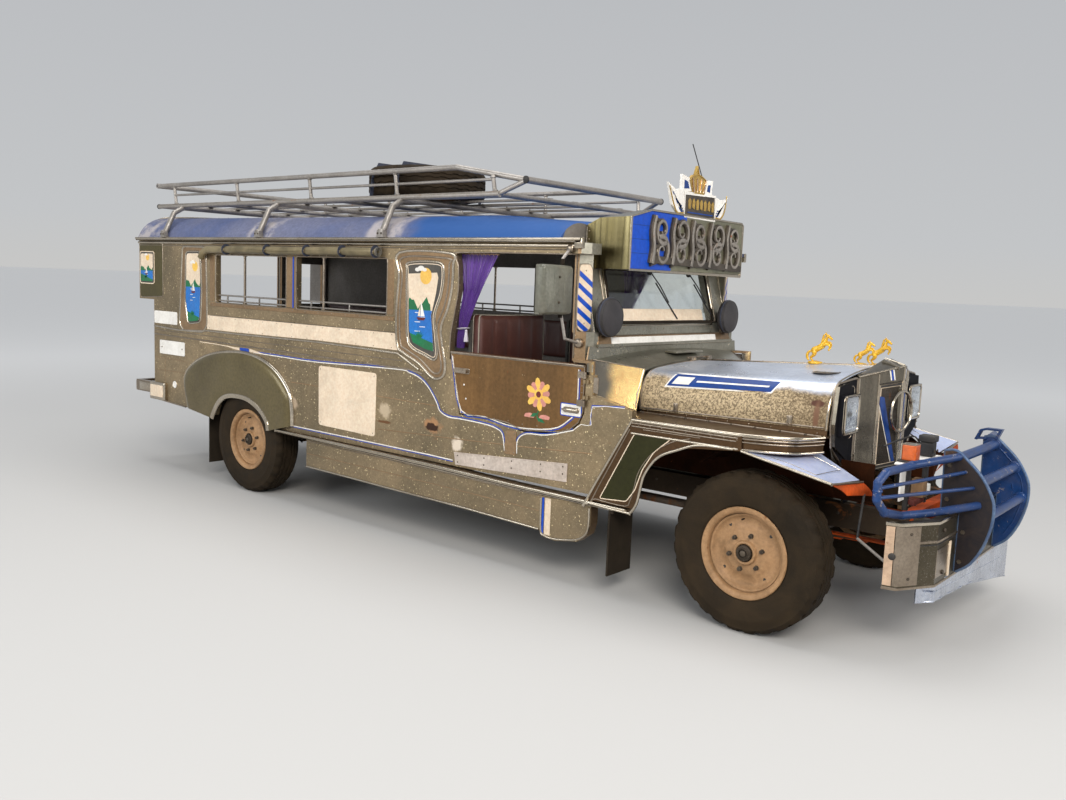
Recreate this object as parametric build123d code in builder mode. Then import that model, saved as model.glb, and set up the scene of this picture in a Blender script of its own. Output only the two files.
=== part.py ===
from build123d import *
import os
import math

os.makedirs("parts", exist_ok=True)

# ---------------------------------------------------------------------------
# Long-wheelbase jeepney: ladder frame, beam axles, sheet-steel body with open
# windows, half doors, open rear doorway, roof rack with the spare wheel.
# Millimetres. +X forward, +Y to the vehicle's left, +Z up, wheels on z = 0.
# Stations along the length are counted from the front axle, forward positive;
# F() moves them to the frame, whose origin is under the middle of the bounding
# box.
# ---------------------------------------------------------------------------
FRONT_AXLE_X = 2330.0          # front axle ahead of the origin
WHEELBASE = 4030.0
REAR = -WHEELBASE              # rear axle station


def F(x):
    return x + FRONT_AXLE_X


# wheels
TYRE_R = 388.0
TYRE_W = 200.0
RIM_R = 223.0                  # flange radius
TRACK_HALF = 770.0             # tyre mid-plane
RIM_FACE = 860.0               # outer rim face
KINGPIN_Y = 625.0
STEER_ARM = 170.0              # arm length, kingpin to tie rod, backwards
TIE_Z = 330.0

# frame
RAIL_Y = 370.0
RAIL_W = 60.0
RAIL_Z0, RAIL_Z1 = 490.0, 610.0
RAIL_FRONT, RAIL_REAR = 620.0, -5350.0
FLOOR_Z0, FLOOR_Z1 = 620.0, 645.0

# body
BODY_Y = 875.0                 # outer face of the body sides
WALL = 40.0                    # whole wall, skin and ribs
BELT_Z = 1150.0                # joint between lower side and window frame
EAVE_Z = 1834.0                # underside of the gutter
SILL_Z = 1378.0
WINDOW_TOP = 1725.0
BODY_REAR_TOP = -5540.0
BODY_REAR_LOW = -5313.0
SIDE_LOW_Z = 520.0
DOOR_GAP = 7.0
DOOR_FRONT, DOOR_BACK = -958.0, -1945.0
HINGE_X, HINGE_Y = -948.0, 890.0           # door hinge line
GUTTER_Y = 905.0

# hood
HOOD_REAR, HOOD_FRONT = -785.0, 258.0
HOOD_HALF = 600.0
HOOD_T = 8.0
HOOD_HINGE_X, HOOD_HINGE_Z = -789.0, 1226.0

# fenders
FENDER_OUT = 905.0
DECK_Z = 955.0
SHEET = 8.0

# sign box over the windscreen
SIGN_FRONT, SIGN_REAR = -890.0, -1150.0
SIGN_Z0, SIGN_Z1 = 1706.0, 2010.0

# rack
RACK_LOW_Z = 2118.0
RACK_TOP_Z = 2275.0
RACK_Y = 750.0

SIDES = (("left", 1), ("right", -1))


def slab(x0, x1, y0, y1, z0, z1, mode=Mode.ADD):
    """Box between stations x0..x1 and the given y and z limits."""
    with Locations((F((x0 + x1) / 2), (y0 + y1) / 2, (z0 + z1) / 2)):
        Box(abs(x1 - x0), abs(y1 - y0), abs(z1 - z0), mode=mode)


def rod(p, q, r, mode=Mode.ADD):
    """Round bar from p to q, both given as (station, y, z)."""
    a = Vector(F(p[0]), p[1], p[2])
    b = Vector(F(q[0]), q[1], q[2])
    d = b - a
    with Locations(Location(Plane(origin=a, z_dir=d))):
        Cylinder(r, d.length, align=(Align.CENTER, Align.CENTER, Align.MIN), mode=mode)


def bent_bar(points, r):
    """Round bar through (station, y, z) corners with rounded bends."""
    v = [Vector(F(p[0]), p[1], p[2]) for p in points]
    with BuildLine() as path:
        Polyline(v)
    with BuildSketch(Plane(origin=v[0], z_dir=v[1] - v[0])) as section:
        Circle(r)
    sweep(section.sketch, path=path.line, transition=Transition.ROUND)


def side_plate(points, y0, y1, mode=Mode.ADD):
    """Plate with an outline of (station, z) corners between y0 and y1."""
    lo, hi = min(y0, y1), max(y0, y1)
    with BuildSketch(Plane.XZ.offset(-lo)) as outline:
        with BuildLine():
            Polyline([(F(x), z) for x, z in points], close=True)
        make_face()
    extrude(outline.sketch, amount=-(hi - lo), mode=mode)


def plan_plate(points, z0, z1, mode=Mode.ADD):
    """Plate with an outline of (station, y) corners between z0 and z1."""
    with BuildSketch(Plane.XY.offset(z0)) as outline:
        with BuildLine():
            Polyline([(F(x), y) for x, y in points], close=True)
        make_face()
    extrude(outline.sketch, amount=z1 - z0, mode=mode)


def front_plate(points, x0, x1, mode=Mode.ADD):
    """Plate with an outline of (y, z) corners between stations x0 and x1."""
    lo, hi = min(x0, x1), max(x0, x1)
    with BuildSketch(Plane.YZ.offset(F(lo))) as outline:
        with BuildLine():
            Polyline([(y, z) for y, z in points], close=True)
        make_face()
    extrude(outline.sketch, amount=hi - lo, mode=mode)


def save(piece, name):
    piece.part.label = name
    export_step(piece.part, f"parts/{name}.step")


# ---------------------------------------------------------------------------
# Ladder frame: two box rails with cross members, spring hangers, front horns
# ---------------------------------------------------------------------------
CROSS_X = [560, -1240, -1900, -2560, -3400, -4700, -5290]
HANGER_X = [-560, 560, REAR - 640, REAR + 640]     # spring ends

with BuildPart() as chassis_frame:
    for s in (1, -1):
        slab(RAIL_REAR, RAIL_FRONT, s * (RAIL_Y - RAIL_W / 2), s * (RAIL_Y + RAIL_W / 2), RAIL_Z0, RAIL_Z1)
        for hx in HANGER_X:
            slab(hx - 22, hx + 22, s * (RAIL_Y - 35), s * (RAIL_Y + 35), 455, RAIL_Z0 + 5)
    for cx in CROSS_X:
        slab(cx - 30, cx + 30, -RAIL_Y, RAIL_Y, RAIL_Z0 + 20, RAIL_Z1 - 10)
save(chassis_frame, "chassis_frame")

# outriggers that carry the running boards and the body sills
with BuildPart() as outriggers:
    for ox in (-1080, -1800, -2600, -3350, -5040):
        for s in (1, -1):
            slab(ox - 20, ox + 20, s * (RAIL_Y + RAIL_W / 2), s * 828, RAIL_Z0 + 60, RAIL_Z1)
save(outriggers, "outriggers")

# ---------------------------------------------------------------------------
# Leaf springs: stepped packs from the hangers, one solid per corner
# ---------------------------------------------------------------------------
# leaf table: half length, bottom z, top z
LEAVES = [(582, 447, 455), (430, 439, 447), (300, 431, 439), (180, 423, 431)]
with BuildPart() as leaf_springs:
    for s in (1, -1):
        for axle, k in ((0, 0.96), (REAR, 1.135)):
            for half, z0, z1 in LEAVES:
                slab(axle - half * k, axle + half * k, s * (RAIL_Y - 30), s * (RAIL_Y + 30), z0, z1)
save(leaf_springs, "leaf_springs")

# ---------------------------------------------------------------------------
# Front axle: dropped I-beam with kingpin bosses
# ---------------------------------------------------------------------------
with BuildPart() as front_axle:
    slab(-35, 35, -420, 420, 352, 368)
    slab(-35, 35, -420, 420, 406, 423)
    slab(-10, 10, -420, 420, 360, 415)
    for s in (1, -1):
        slab(-35, 35, s * 410, s * 600, 358, 418)
        rod((0, s * KINGPIN_Y, 352), (0, s * KINGPIN_Y, 424), 27)
    for s in (1, -1):
        rod((0, s * KINGPIN_Y, 340), (0, s * KINGPIN_Y, 436), 12.05, mode=Mode.SUBTRACT)
save(front_axle, "front_axle")

# knuckles: yoke over and under the boss, kingpin, spindle, backing plate, arm
for side, s in SIDES:
    with BuildPart() as knuckle:
        rod((0, s * KINGPIN_Y, 322), (0, s * KINGPIN_Y, 454), 12)
        rod((0, s * KINGPIN_Y, 322), (0, s * KINGPIN_Y, 346), 24)
        rod((0, s * KINGPIN_Y, 430), (0, s * KINGPIN_Y, 454), 24)
        slab(-20, 20, s * (KINGPIN_Y), s * 676, 322, 346)
        slab(-20, 20, s * (KINGPIN_Y), s * 676, 430, 454)
        slab(-32, 32, s * 658, s * 676, 322, 454)
        rod((0, s * 676, TYRE_R), (0, s * 684, TYRE_R), 150)
        rod((0, s * 684, TYRE_R), (0, s * 850, TYRE_R), 22)
        # steering arm, straight back to the tie rod's eye
        slab(-STEER_ARM, 0, s * (KINGPIN_Y - 15), s * (KINGPIN_Y + 15), 322, 338)
        rod((-STEER_ARM, s * KINGPIN_Y, 322), (-STEER_ARM, s * KINGPIN_Y, 338), 20)
        if s < 0:
            # pin that carries the tie rod
            rod((-STEER_ARM, s * KINGPIN_Y, 282), (-STEER_ARM, s * KINGPIN_Y, 330), 9)
    save(knuckle, f"{side}_knuckle")

# tie rod: eye on the right arm's pin, open slot-sized eye at the left arm
with BuildPart() as tie_rod:
    rod((-STEER_ARM, -KINGPIN_Y + 18, 298), (-STEER_ARM, KINGPIN_Y - 18, 298), 13)
    for s in (1, -1):
        rod((-STEER_ARM, s * KINGPIN_Y, 284), (-STEER_ARM, s * KINGPIN_Y, 312), 22)
    rod((-STEER_ARM, -KINGPIN_Y, 270), (-STEER_ARM, -KINGPIN_Y, 330), 9.05, mode=Mode.SUBTRACT)
save(tie_rod, "tie_rod")

# ---------------------------------------------------------------------------
# Rear axle with differential, backing plates and the propeller shaft
# ---------------------------------------------------------------------------
with BuildPart() as rear_axle:
    rod((REAR, -676, TYRE_R), (REAR, 676, TYRE_R), 34)
    with Locations((F(REAR), 0, TYRE_R)):
        Sphere(135)
    for s in (1, -1):
        rod((REAR, s * 676, TYRE_R), (REAR, s * 684, TYRE_R), 150)
        rod((REAR, s * 684, TYRE_R), (REAR, s * 850, TYRE_R), 22)
    rod((REAR, 0, TYRE_R), (REAR + 260, 0, 400), 55)
    rod((REAR + 200, 0, 398), (-1186, 0, 465), 34)
save(rear_axle, "rear_axle")

# ---------------------------------------------------------------------------
# Wheels: rim with dished disc and drum, tyre as a separate ring
# ---------------------------------------------------------------------------
# rim profile, columns: distance from the hub axis, distance from mid-plane
RIM_SECTION = [
    (152, -70), (152, 10), (60, 16), (60, 62), (30, 66), (30, 84), (62, 84), (78, 74), (92, 44),
    (150, 40), (178, 52), (196, 52), (200, 78), (223, 84), (223, 90), (200, 90), (193, 84),
    (192, 62), (168, 62), (150, 54), (96, 58), (80, 86), (62, 94), (24, 94), (24, 4), (143, 2),
    (143, -70),
]
# tyre profile, same columns: one closed ring with a crowned tread
TYRE_SECTION = [
    (224.5, -80), (240, -94), (300, -100), (345, -97), (374, -84), (388, -60), (388, 60), (374, 84),
    (345, 97), (300, 100), (240, 94), (224.5, 80), (206, 74), (206, -74),
]


def ring(section, cx, cy, cz, s):
    """Revolve a (radius, offset) section about an axle line along Y."""
    with BuildSketch(Plane.YZ.offset(F(cx))) as profile:
        with BuildLine():
            Polyline([(cy + s * off, cz + rad) for rad, off in section], close=True)
        make_face()
    revolve(profile.sketch, axis=Axis((F(cx), 0, cz), (0, 1, 0)))


BARREL = [(196, -84), (223, -84), (223, -90), (190, -90), (190, 60), (196, 60)]

for end, ax in (("front", 0), ("rear", REAR)):
    for side, s in SIDES:
        with BuildPart() as rim:
            ring(RIM_SECTION, ax, s * TRACK_HALF, TYRE_R, s)
            ring(BARREL, ax, s * TRACK_HALF, TYRE_R, s)
            # six wheel nuts round the hub
            with Locations(Location(Plane(origin=(F(ax), s * (TRACK_HALF + 50), TYRE_R), z_dir=(0, s, 0)))):
                with PolarLocations(111, 6):
                    Cylinder(13, 22, align=(Align.CENTER, Align.CENTER, Align.MIN))
        save(rim, f"{side}_{end}_rim")
        with BuildPart() as tyre:
            ring(TYRE_SECTION, ax, s * TRACK_HALF, TYRE_R, s)
        save(tyre, f"{side}_{end}_tyre")

# spare wheel, lying flat on the rack
SPARE_X, SPARE_Y, SPARE_Z = -2750.0, -325.0, RACK_LOW_Z + 16 + TYRE_W / 2
with BuildPart() as spare_wheel:
    with BuildSketch(Plane.XZ.offset(-SPARE_Y)):
        with BuildLine():
            Polyline([(F(SPARE_X) + rad, SPARE_Z + off) for rad, off in TYRE_SECTION], close=True)
        make_face()
    revolve(axis=Axis((F(SPARE_X), SPARE_Y, 0), (0, 0, 1)))
    with BuildSketch(Plane.XZ.offset(-SPARE_Y)):
        with BuildLine():
            Polyline([(F(SPARE_X) + rad, SPARE_Z + off) for rad, off in
                      [(90, 44), (150, 40), (178, 50), (196, 50), (200, -84), (208, -88), (208, 88),
                       (190, 88), (188, 60), (150, 54), (90, 56)]], close=True)
        make_face()
    revolve(axis=Axis((F(SPARE_X), SPARE_Y, 0), (0, 0, 1)))
save(spare_wheel, "spare_wheel")

# ---------------------------------------------------------------------------
# Engine with gearbox as plain blocks, exhaust and fuel tank
# ---------------------------------------------------------------------------
with BuildPart() as engine_block:
    slab(-620, 170, -240, 240, 520, 1060)
    slab(-1180, -620, -130, 130, 440, 700)
save(engine_block, "engine_block")

with BuildPart() as exhaust:
    bent_bar([(-560, -241, 640), (-560, -300, 640), (-560, -300, 425), (-2310, -300, 425)], 24)
    rod((-2300, -300, 420), (-3050, -300, 420), 80)
    rod((-3050, -300, 425), (-3180, -300, 425), 24)
save(exhaust, "exhaust")

with BuildPart() as fuel_tank:
    slab(-3260, -2660, 440, 790, 330, 540)
    fillet(fuel_tank.edges().filter_by(Axis.X), 40)
    for bx in (-3180, -2760):
        slab(bx - 15, bx + 15, 430, 800, 320, 550)
save(fuel_tank, "fuel_tank")

# ---------------------------------------------------------------------------
# Floor with tubs over the rear wheels
# ---------------------------------------------------------------------------
TUB_HALF = 440.0
with BuildPart() as floor_pan:
    slab(-5282, -1001, -830, 830, FLOOR_Z0, FLOOR_Z1)
    for s in (1, -1):
        slab(REAR - TUB_HALF, REAR + TUB_HALF, s * 640, s * 830, FLOOR_Z0, 850)
        slab(REAR - TUB_HALF + 8, REAR + TUB_HALF - 8, s * 648, s * 840, 500, 842, mode=Mode.SUBTRACT)
    # tunnel over the gearbox
    slab(-1190, -1001, -140, 140, 612, 715)
    slab(-1190, -990, -132, 132, 590, 707, mode=Mode.SUBTRACT)
save(floor_pan, "floor")

# ---------------------------------------------------------------------------
# Body sides. The door outline is shared by the door and its opening.
# ---------------------------------------------------------------------------
DOOR_OUTLINE = [(DOOR_FRONT, 1198), (DOOR_FRONT, 950), (-985, 890), (-1040, 845), (-1110, 822),
                (-1335, 800), (-1390, 802), (-1486, 826), (-1560, 832), (-1856, 838), (DOOR_BACK, 1198)]
# the opening carries the two upright edges on past the belt
DOOR_OPENING = [(DOOR_FRONT, 1260)] + DOOR_OUTLINE[1:-1] + [(DOOR_BACK - 15.3, 1260)]
ARCH_R = 432.0

for side, s in SIDES:
    yo, yi = s * BODY_Y, s * (BODY_Y - WALL)
    # lower side: sill, scuttle side, wheel arch cut, tail
    with BuildPart() as lower_side:
        side_plate([(-862, SIDE_LOW_Z), (-652, 915), (-652, 992), (-905, 1045), (-905, BELT_Z),
                    (BODY_REAR_LOW, BELT_Z), (BODY_REAR_LOW, 552), (-4600, 530), (-4400, SIDE_LOW_Z)], yi, yo)
        with BuildSketch(Plane.XZ) as opening:
            with BuildLine():
                Polyline([(F(x), z) for x, z in DOOR_OPENING], close=True)
            make_face()
            offset(amount=DOOR_GAP, kind=Kind.INTERSECTION)
        extrude(amount=1200, both=True, mode=Mode.SUBTRACT)
        rod((REAR, s * 700, TYRE_R), (REAR, s * 1000, TYRE_R), ARCH_R, mode=Mode.SUBTRACT)
        slab(REAR - ARCH_R, REAR + ARCH_R, s * 700, s * 1000, 300, TYRE_R, mode=Mode.SUBTRACT)
        # fixed halves of the door hinges
        for hz in (1020, 1104):
            rod((HINGE_X, s * HINGE_Y, hz), (HINGE_X, s * HINGE_Y, hz + 20), 9)
            slab(HINGE_X, -925, s * (BODY_Y - 5), s * 888, hz, hz + 20)
    save(lower_side, f"{side}_lower_side")

    # window frame: front pillar panel, two windows, tail panel, cant rail
    with BuildPart() as window_frame:
        side_plate([(-1041, EAVE_Z), (BODY_REAR_TOP, EAVE_Z), (BODY_REAR_TOP, 1362),
                    (BODY_REAR_LOW, 1362), (BODY_REAR_LOW, BELT_Z), (-1955, BELT_Z),
                    (-1952, 1300), (-1925, 1430), (-1900, 1560), (-1905, 1700), (-1925, 1775),
                    (-1041, 1775)], yi, yo)
        for x0, x1 in ((-4414, -3492), (-3432, -2519)):
            slab(x0, x1, s * 800, s * 900, SILL_Z, WINDOW_TOP, mode=Mode.SUBTRACT)
    save(window_frame, f"{side}_window_frame")

# rear wall with the open doorway and two rear windows
with BuildPart() as rear_wall:
    front_plate([(-834, 552), (834, 552), (834, EAVE_Z - 2), (-834, EAVE_Z - 2)], BODY_REAR_LOW, BODY_REAR_LOW + 30)
    slab(BODY_REAR_LOW - 10, BODY_REAR_LOW + 60, -330, 330, FLOOR_Z1, 1760, mode=Mode.SUBTRACT)
    slab(BODY_REAR_LOW - 10, BODY_REAR_LOW + 60, -330, 330, 500, FLOOR_Z1, mode=Mode.SUBTRACT)
    for s in (1, -1):
        slab(BODY_REAR_LOW - 10, BODY_REAR_LOW + 60, s * 420, s * 780, 1340, 1700, mode=Mode.SUBTRACT)
        slab(BODY_REAR_LOW - 10, BODY_REAR_LOW + 60, s * 320, s * 412, 500, FLOOR_Z0, mode=Mode.SUBTRACT)
        # grab poles beside the doorway
        rod((BODY_REAR_LOW - 60, s * 360, 668), (BODY_REAR_LOW - 60, s * 360, 1780), 14)
        for gz in (684, 1760):
            rod((BODY_REAR_LOW - 60, s * 360, gz), (BODY_REAR_LOW + 10, s * 360, gz), 12)
save(rear_wall, "rear_wall")

# ---------------------------------------------------------------------------
# Roof: crowned shell with steep shoulders and a rain gutter on both sides
# ---------------------------------------------------------------------------
# stations: x, height at |y| = 650, height on the centre line
ROOF_SECTIONS = [(-5540, 2022, 2052), (-2022, 1995, 2030), (-1155, 1938, 1975)]


def roof_section(z650, zc, drop):
    edge = 884 - drop
    q = drop
    with BuildLine() as outline:
        Line((-edge, EAVE_Z + 1), (-edge, 1856))
        ThreePointArc((-edge, 1856), (-(812 - q * 0.7), 1946 - q * 0.7 + (z650 - 1995) * 0.5), (-650, z650 - q))
        ThreePointArc((-650, z650 - q), (0, zc - q), (650, z650 - q))
        ThreePointArc((650, z650 - q), ((812 - q * 0.7), 1946 - q * 0.7 + (z650 - 1995) * 0.5), (edge, 1856))
        Line((edge, 1856), (edge, EAVE_Z + 1))
        Line((edge, EAVE_Z + 1), (-edge, EAVE_Z + 1))
    make_face(outline.edges())


with BuildPart() as roof:
    for x, z650, zc in ROOF_SECTIONS:
        with BuildSketch(Plane.YZ.offset(F(x))):
            roof_section(z650, zc, 0)
    loft(ruled=True)
    with BuildPart(mode=Mode.PRIVATE) as roof_inner:
        for x, z650, zc in ROOF_SECTIONS:
            xx = x - 1 if x == -5540 else x
            with BuildSketch(Plane.YZ.offset(F(xx + (30 if x == -5540 else (-30 if x == -1155 else 0))))):
                roof_section(z650, zc, 30)
        loft(ruled=True)
    add(roof_inner.part, mode=Mode.SUBTRACT)
    for s in (1, -1):
        slab(BODY_REAR_TOP, -1002, s * 872, s * GUTTER_Y, EAVE_Z + 1, EAVE_Z + 22)
save(roof, "roof")

# ---------------------------------------------------------------------------
# Cowl: firewall, scuttle shell, dashboard, windscreen frame and front pillars
# ---------------------------------------------------------------------------
# scuttle stations: x, half width low, half width high, shoulder z, crown z, low z
SCUTTLE = [(-1000, 808, 770, 1222, 1262, 962), (-793, 628, 562, 1178, 1214, 962)]


def scuttle_section(low, high, zs, zc, z0, t):
    with BuildLine() as outline:
        Polyline([(-low + t, z0 - (t * 2)), (-high + t, zs - t)])
        ThreePointArc((-high + t, zs - t), (0, zc - t), (high - t, zs - t))
        Polyline([(high - t, zs - t), (low - t, z0 - (t * 2)), (-low + t, z0 - (t * 2))])
    make_face(outline.edges())


with BuildPart() as cowl:
    for x, low, high, zs, zc, z0 in SCUTTLE:
        with BuildSketch(Plane.YZ.offset(F(x))):
            scuttle_section(low, high, zs, zc, z0, 0)
    loft(ruled=True)
    with BuildPart(mode=Mode.PRIVATE) as scuttle_inner:
        for x, low, high, zs, zc, z0 in SCUTTLE:
            with BuildSketch(Plane.YZ.offset(F(x + (8 if x < -900 else 1)))):
                scuttle_section(low, high, zs, zc, z0, 8)
        loft(ruled=True)
    add(scuttle_inner.part, mode=Mode.SUBTRACT)
    # firewall down to the floor, with the gearbox tunnel cut
    front_plate([(-828, 650), (828, 650), (828, 1150), (800, 1290), (-800, 1290), (-828, 1150)], -1000, -992)
    slab(-1010, -980, -142, 142, 600, 717, mode=Mode.SUBTRACT)
    # dashboard
    side_plate([(-1000, 1100), (-1000, 1285), (-1060, 1285), (-1095, 1250), (-1085, 1100)], -755, 755)
    # windscreen frame, leaning slightly back
    side_plate([(-995, 1262), (-1040, 1262), (-1183, 1833), (-1138, 1833)], -730, 730)
    front_plate([(-560, 1412), (560, 1412), (548, 1712), (-548, 1712)], -1180, -980, mode=Mode.SUBTRACT)
    # corner shelf, corner posts set in from the body side, and the block under the gutter
    for s in (1, -1):
        plan_plate([(-905, s * BODY_Y), (-1040, s * BODY_Y), (-1040, s * 770), (-995, s * 770), (-985, s * 800),
                    (-930, s * 845), (-905, s * 862)], 1208, 1222)
        plan_plate([(-1104, s * 802), (-1018, s * 802), (-995, s * 758), (-995, s * 722), (-1104, s * 722)], 1208, 1366)
        plan_plate([(-1112, s * 802), (-1082, s * 802), (-1050, s * 722), (-1112, s * 722)], 1360, 1833)
        plan_plate([(-1040, s * BODY_Y), (-1040, s * 800), (-1112, s * 800), (-1112, s * 722), (-1000, s * 722),
                    (-1000, s * 806), (-1018, s * BODY_Y)], 1776, 1833)
        plan_plate([(-905, s * BODY_Y), (-949, s * BODY_Y), (-949, s * 830), (-930, s * 845), (-905, s * 862)],
                   BELT_Z + 1, 1210)
    # the sign box takes the place of the header
    plan_plate([(-880, -620), (-880, 620), (-1160, 672), (-1160, -672)], 1703, 1900, mode=Mode.SUBTRACT)
    # drip edge below the windscreen
    slab(-1000, -975, -735, 735, 1288, 1302)
save(cowl, "cowl")

with BuildPart() as windshield:
    side_plate([(-1075.5, 1401), (-1089, 1401), (-1164, 1701), (-1150.5, 1701)], -570, 570)
save(windshield, "windshield")

# steering column with its bracket under the dashboard
COL_TOP = (-1300.0, 400.0, 1215.0)
COL_DIR = (-0.70, 0.0, 0.714)
with BuildPart() as steering_column:
    rod((-1022, 400, 931), (-1276, 400, 1190), 22)
    slab(-1076, -1060, 372, 428, 975, 1100)
save(steering_column, "steering_column")

with BuildPart() as steering_wheel:
    with Locations(Location(Plane(origin=(F(COL_TOP[0]), COL_TOP[1], COL_TOP[2]), z_dir=COL_DIR))):
        Torus(190, 13)
        Cylinder(42, 30)
        with PolarLocations(0, 3):
            Box(190, 20, 10, align=(Align.MIN, Align.CENTER, Align.CENTER))
save(steering_wheel, "steering_wheel")

# ---------------------------------------------------------------------------
# Hood: one lid with sides, hinged at its rear edge
# ---------------------------------------------------------------------------
# hood stations: x, low half width, low z, shoulder half width, shoulder z, crown z
HOOD = [(HOOD_REAR, 608, 968, 560, 1172, 1208), (HOOD_FRONT, 600, 985, 548, 1196, 1262)]


def hood_section(low, z0, sh, zs, zc, t):
    with BuildLine() as outline:
        Polyline([(-low + t, z0 - t * 3), (-low + t + 4, z0 + 90), (-sh + t, zs - t)])
        ThreePointArc((-sh + t, zs - t), (-sh * 0.5, zc - t - (zc - zs) * 0.22), (0, zc - t))
        ThreePointArc((0, zc - t), (sh * 0.5, zc - t - (zc - zs) * 0.22), (sh - t, zs - t))
        Polyline([(sh - t, zs - t), (low - t - 4, z0 + 90), (low - t, z0 - t * 3), (-low + t, z0 - t * 3)])
    make_face(outline.edges())


with BuildPart() as hood:
    for x, low, z0, sh, zs, zc in HOOD:
        with BuildSketch(Plane.YZ.offset(F(x))):
            hood_section(low, z0, sh, zs, zc, 0)
    loft(ruled=True)
    with BuildPart(mode=Mode.PRIVATE) as hood_inner:
        for x, low, z0, sh, zs, zc in HOOD:
            with BuildSketch(Plane.YZ.offset(F(x + (-1 if x < 0 else 1)))):
                hood_section(low, z0, sh, zs, zc, HOOD_T)
        loft(ruled=True)
    add(hood_inner.part, mode=Mode.SUBTRACT)
    # hinge barrel above the rear edge, on two straps
    rod((HOOD_HINGE_X, -130, HOOD_HINGE_Z), (HOOD_HINGE_X, 130, HOOD_HINGE_Z), 6)
    for y in (-90, 90):
        slab(-786, -766, y - 20, y + 20, 1202, HOOD_HINGE_Z + 4)
save(hood, "hood")

# ---------------------------------------------------------------------------
# Grille shell: flat lamp panels each side of a V-prow grille, lamp housings
# ---------------------------------------------------------------------------
with BuildPart() as grille_shell:
    # lamp panels and back plate
    front_plate([(-250, 736), (250, 736), (560, 905), (578, 1012), (552, 1189), (300, 1216), (0, 1262),
                 (-300, 1216), (-552, 1189), (-578, 1012), (-560, 905)], 266, 284)
    # prow: plan wedge between the lamp panels
    plan_plate([(284, -345), (378, 0), (284, 345)], 760, 1240)
    plan_plate([(280, -331), (360, 0), (280, 331)], 790, 1210, mode=Mode.SUBTRACT)
    # grille face inside the frame
    plan_plate([(282, -333), (364, 0), (282, 333), (282, 319), (350, 0), (282, -319)], 785, 1215)
    # peaked cap over the prow
    side_plate([(266, 1240), (298, 1301), (380, 1270), (380, 1255), (300, 1235)], -60, 60)
    # square lamp housings
    for s in (1, -1):
        slab(284, 306, s * 345, s * 545, 955, 1145)
        slab(292, 310, s * 360, s * 530, 970, 1130, mode=Mode.SUBTRACT)
    # stays down to the frame
        slab(270, 282, s * 340, s * 400, RAIL_Z1, 830)
save(grille_shell, "grille_shell")

# ---------------------------------------------------------------------------
# Front fenders: flat deck bounded by the bead, band, rear skirt, flared wing
# ---------------------------------------------------------------------------
# bead line in plan: station, half width
BEAD = [(-628, 905), (-240, 905), (-10, 893), (165, 815), (228, 725), (262, 640)]
REAR_SKIRT = [(-628, DECK_Z), (-880, 500), (-590, 500), (-570, 603), (-540, 695),
              (-464, 792), (-348, 844), (-271, 857), (-20, 880), (-20, DECK_Z)]
# wing quads: outer edge and inner edge points, columns station, half width, z
WING_OUT = [(-20, 905, 884), (200, 905, 842), (421, 905, 800)]
WING_IN = [(-20, 720, 886), (225, 610, 884), (440, 600, 772)]

with BuildPart() as front_fenders:
    for s in (1, -1):
        outer = [(x, s * y) for x, y in BEAD]
        inner_edge = [(262, s * 450), (-786, s * 450), (-786, s * 831), (-646, s * 831)]
        # deck
        plan_plate(outer + inner_edge, DECK_Z - SHEET, DECK_Z)
        # band under the bead, following it
        ring_pts = outer + [(262 - 8, s * 628), (221, s * 719), (159, s * 808), (-12, s * 885), (-240, s * 897), (-628, s * 897)]
        plan_plate(ring_pts, 884, DECK_Z)
        # rear skirt
        side_plate(REAR_SKIRT, s * (FENDER_OUT - SHEET), s * FENDER_OUT)
        # slanting closing plate from the skirt in to the body side
        side_plate([(-628, DECK_Z), (-880, 500), (-872, 500), (-620, DECK_Z - 4)], s * 876, s * FENDER_OUT)
        # splash panel beside the frame
        slab(-786, 262, s * 442, s * 450, 640, DECK_Z)
        slab(240, 440, s * 442, s * 450, 640, 832)
        # apron between splash panel and wing
        front_plate([(s * 450, 660), (s * 590, 772), (s * 590, 764), (s * 450, 652)], 262, 440)
    with BuildPart(mode=Mode.PRIVATE) as wing:
        for (xo, yo, zo), (xi, yi, zi) in zip(WING_OUT, WING_IN):
            pl = Plane(origin=(F(xo), 0, 0), x_dir=(0, 1, 0), z_dir=(1, 0, 0))
            with BuildSketch(pl):
                with BuildLine():
                    Polyline([(yo, zo), (yi - 20, zi), (yi - 20, zi - SHEET), (yo, zo - SHEET)], close=True)
                make_face()
        loft(ruled=True)
    add(wing.part)
    add(mirror(wing.part, about=Plane.XZ))
save(front_fenders, "front_fenders")

# ---------------------------------------------------------------------------
# Rear fenders: shallow pressed covers over the wheel arch
# ---------------------------------------------------------------------------
REAR_FENDER = [(-4786, 545), (-4836, 764), (-4719, 886), (-4469, 981), (-4139, 1024), (-3870, 1005),
               (-3655, 926), (-3509, 802), (-3470, 690), (-3462, 560)]
REAR_ARCH = [(-3690, 480), (-3715, 560), (-3803, 642), (-3956, 705), (-4120, 716), (-4254, 694), (-4350, 634),
             (-4422, 520), (-4440, 480)]
with BuildPart() as rear_fenders:
    for s in (1, -1):
        side_plate(REAR_FENDER, s * BODY_Y, s * 912)
        with BuildSketch(Plane.XZ) as pocket:
            with BuildLine():
                Polyline([(F(x), z) for x, z in REAR_FENDER], close=True)
            make_face()
            offset(amount=-SHEET, kind=Kind.INTERSECTION)
        extrude(amount=-s * (912 - SHEET), mode=Mode.SUBTRACT)
    side_plate([(-4440, 400), (-3690, 400)] + REAR_ARCH, -1000, 1000, mode=Mode.SUBTRACT)
save(rear_fenders, "rear_fenders")

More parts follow.
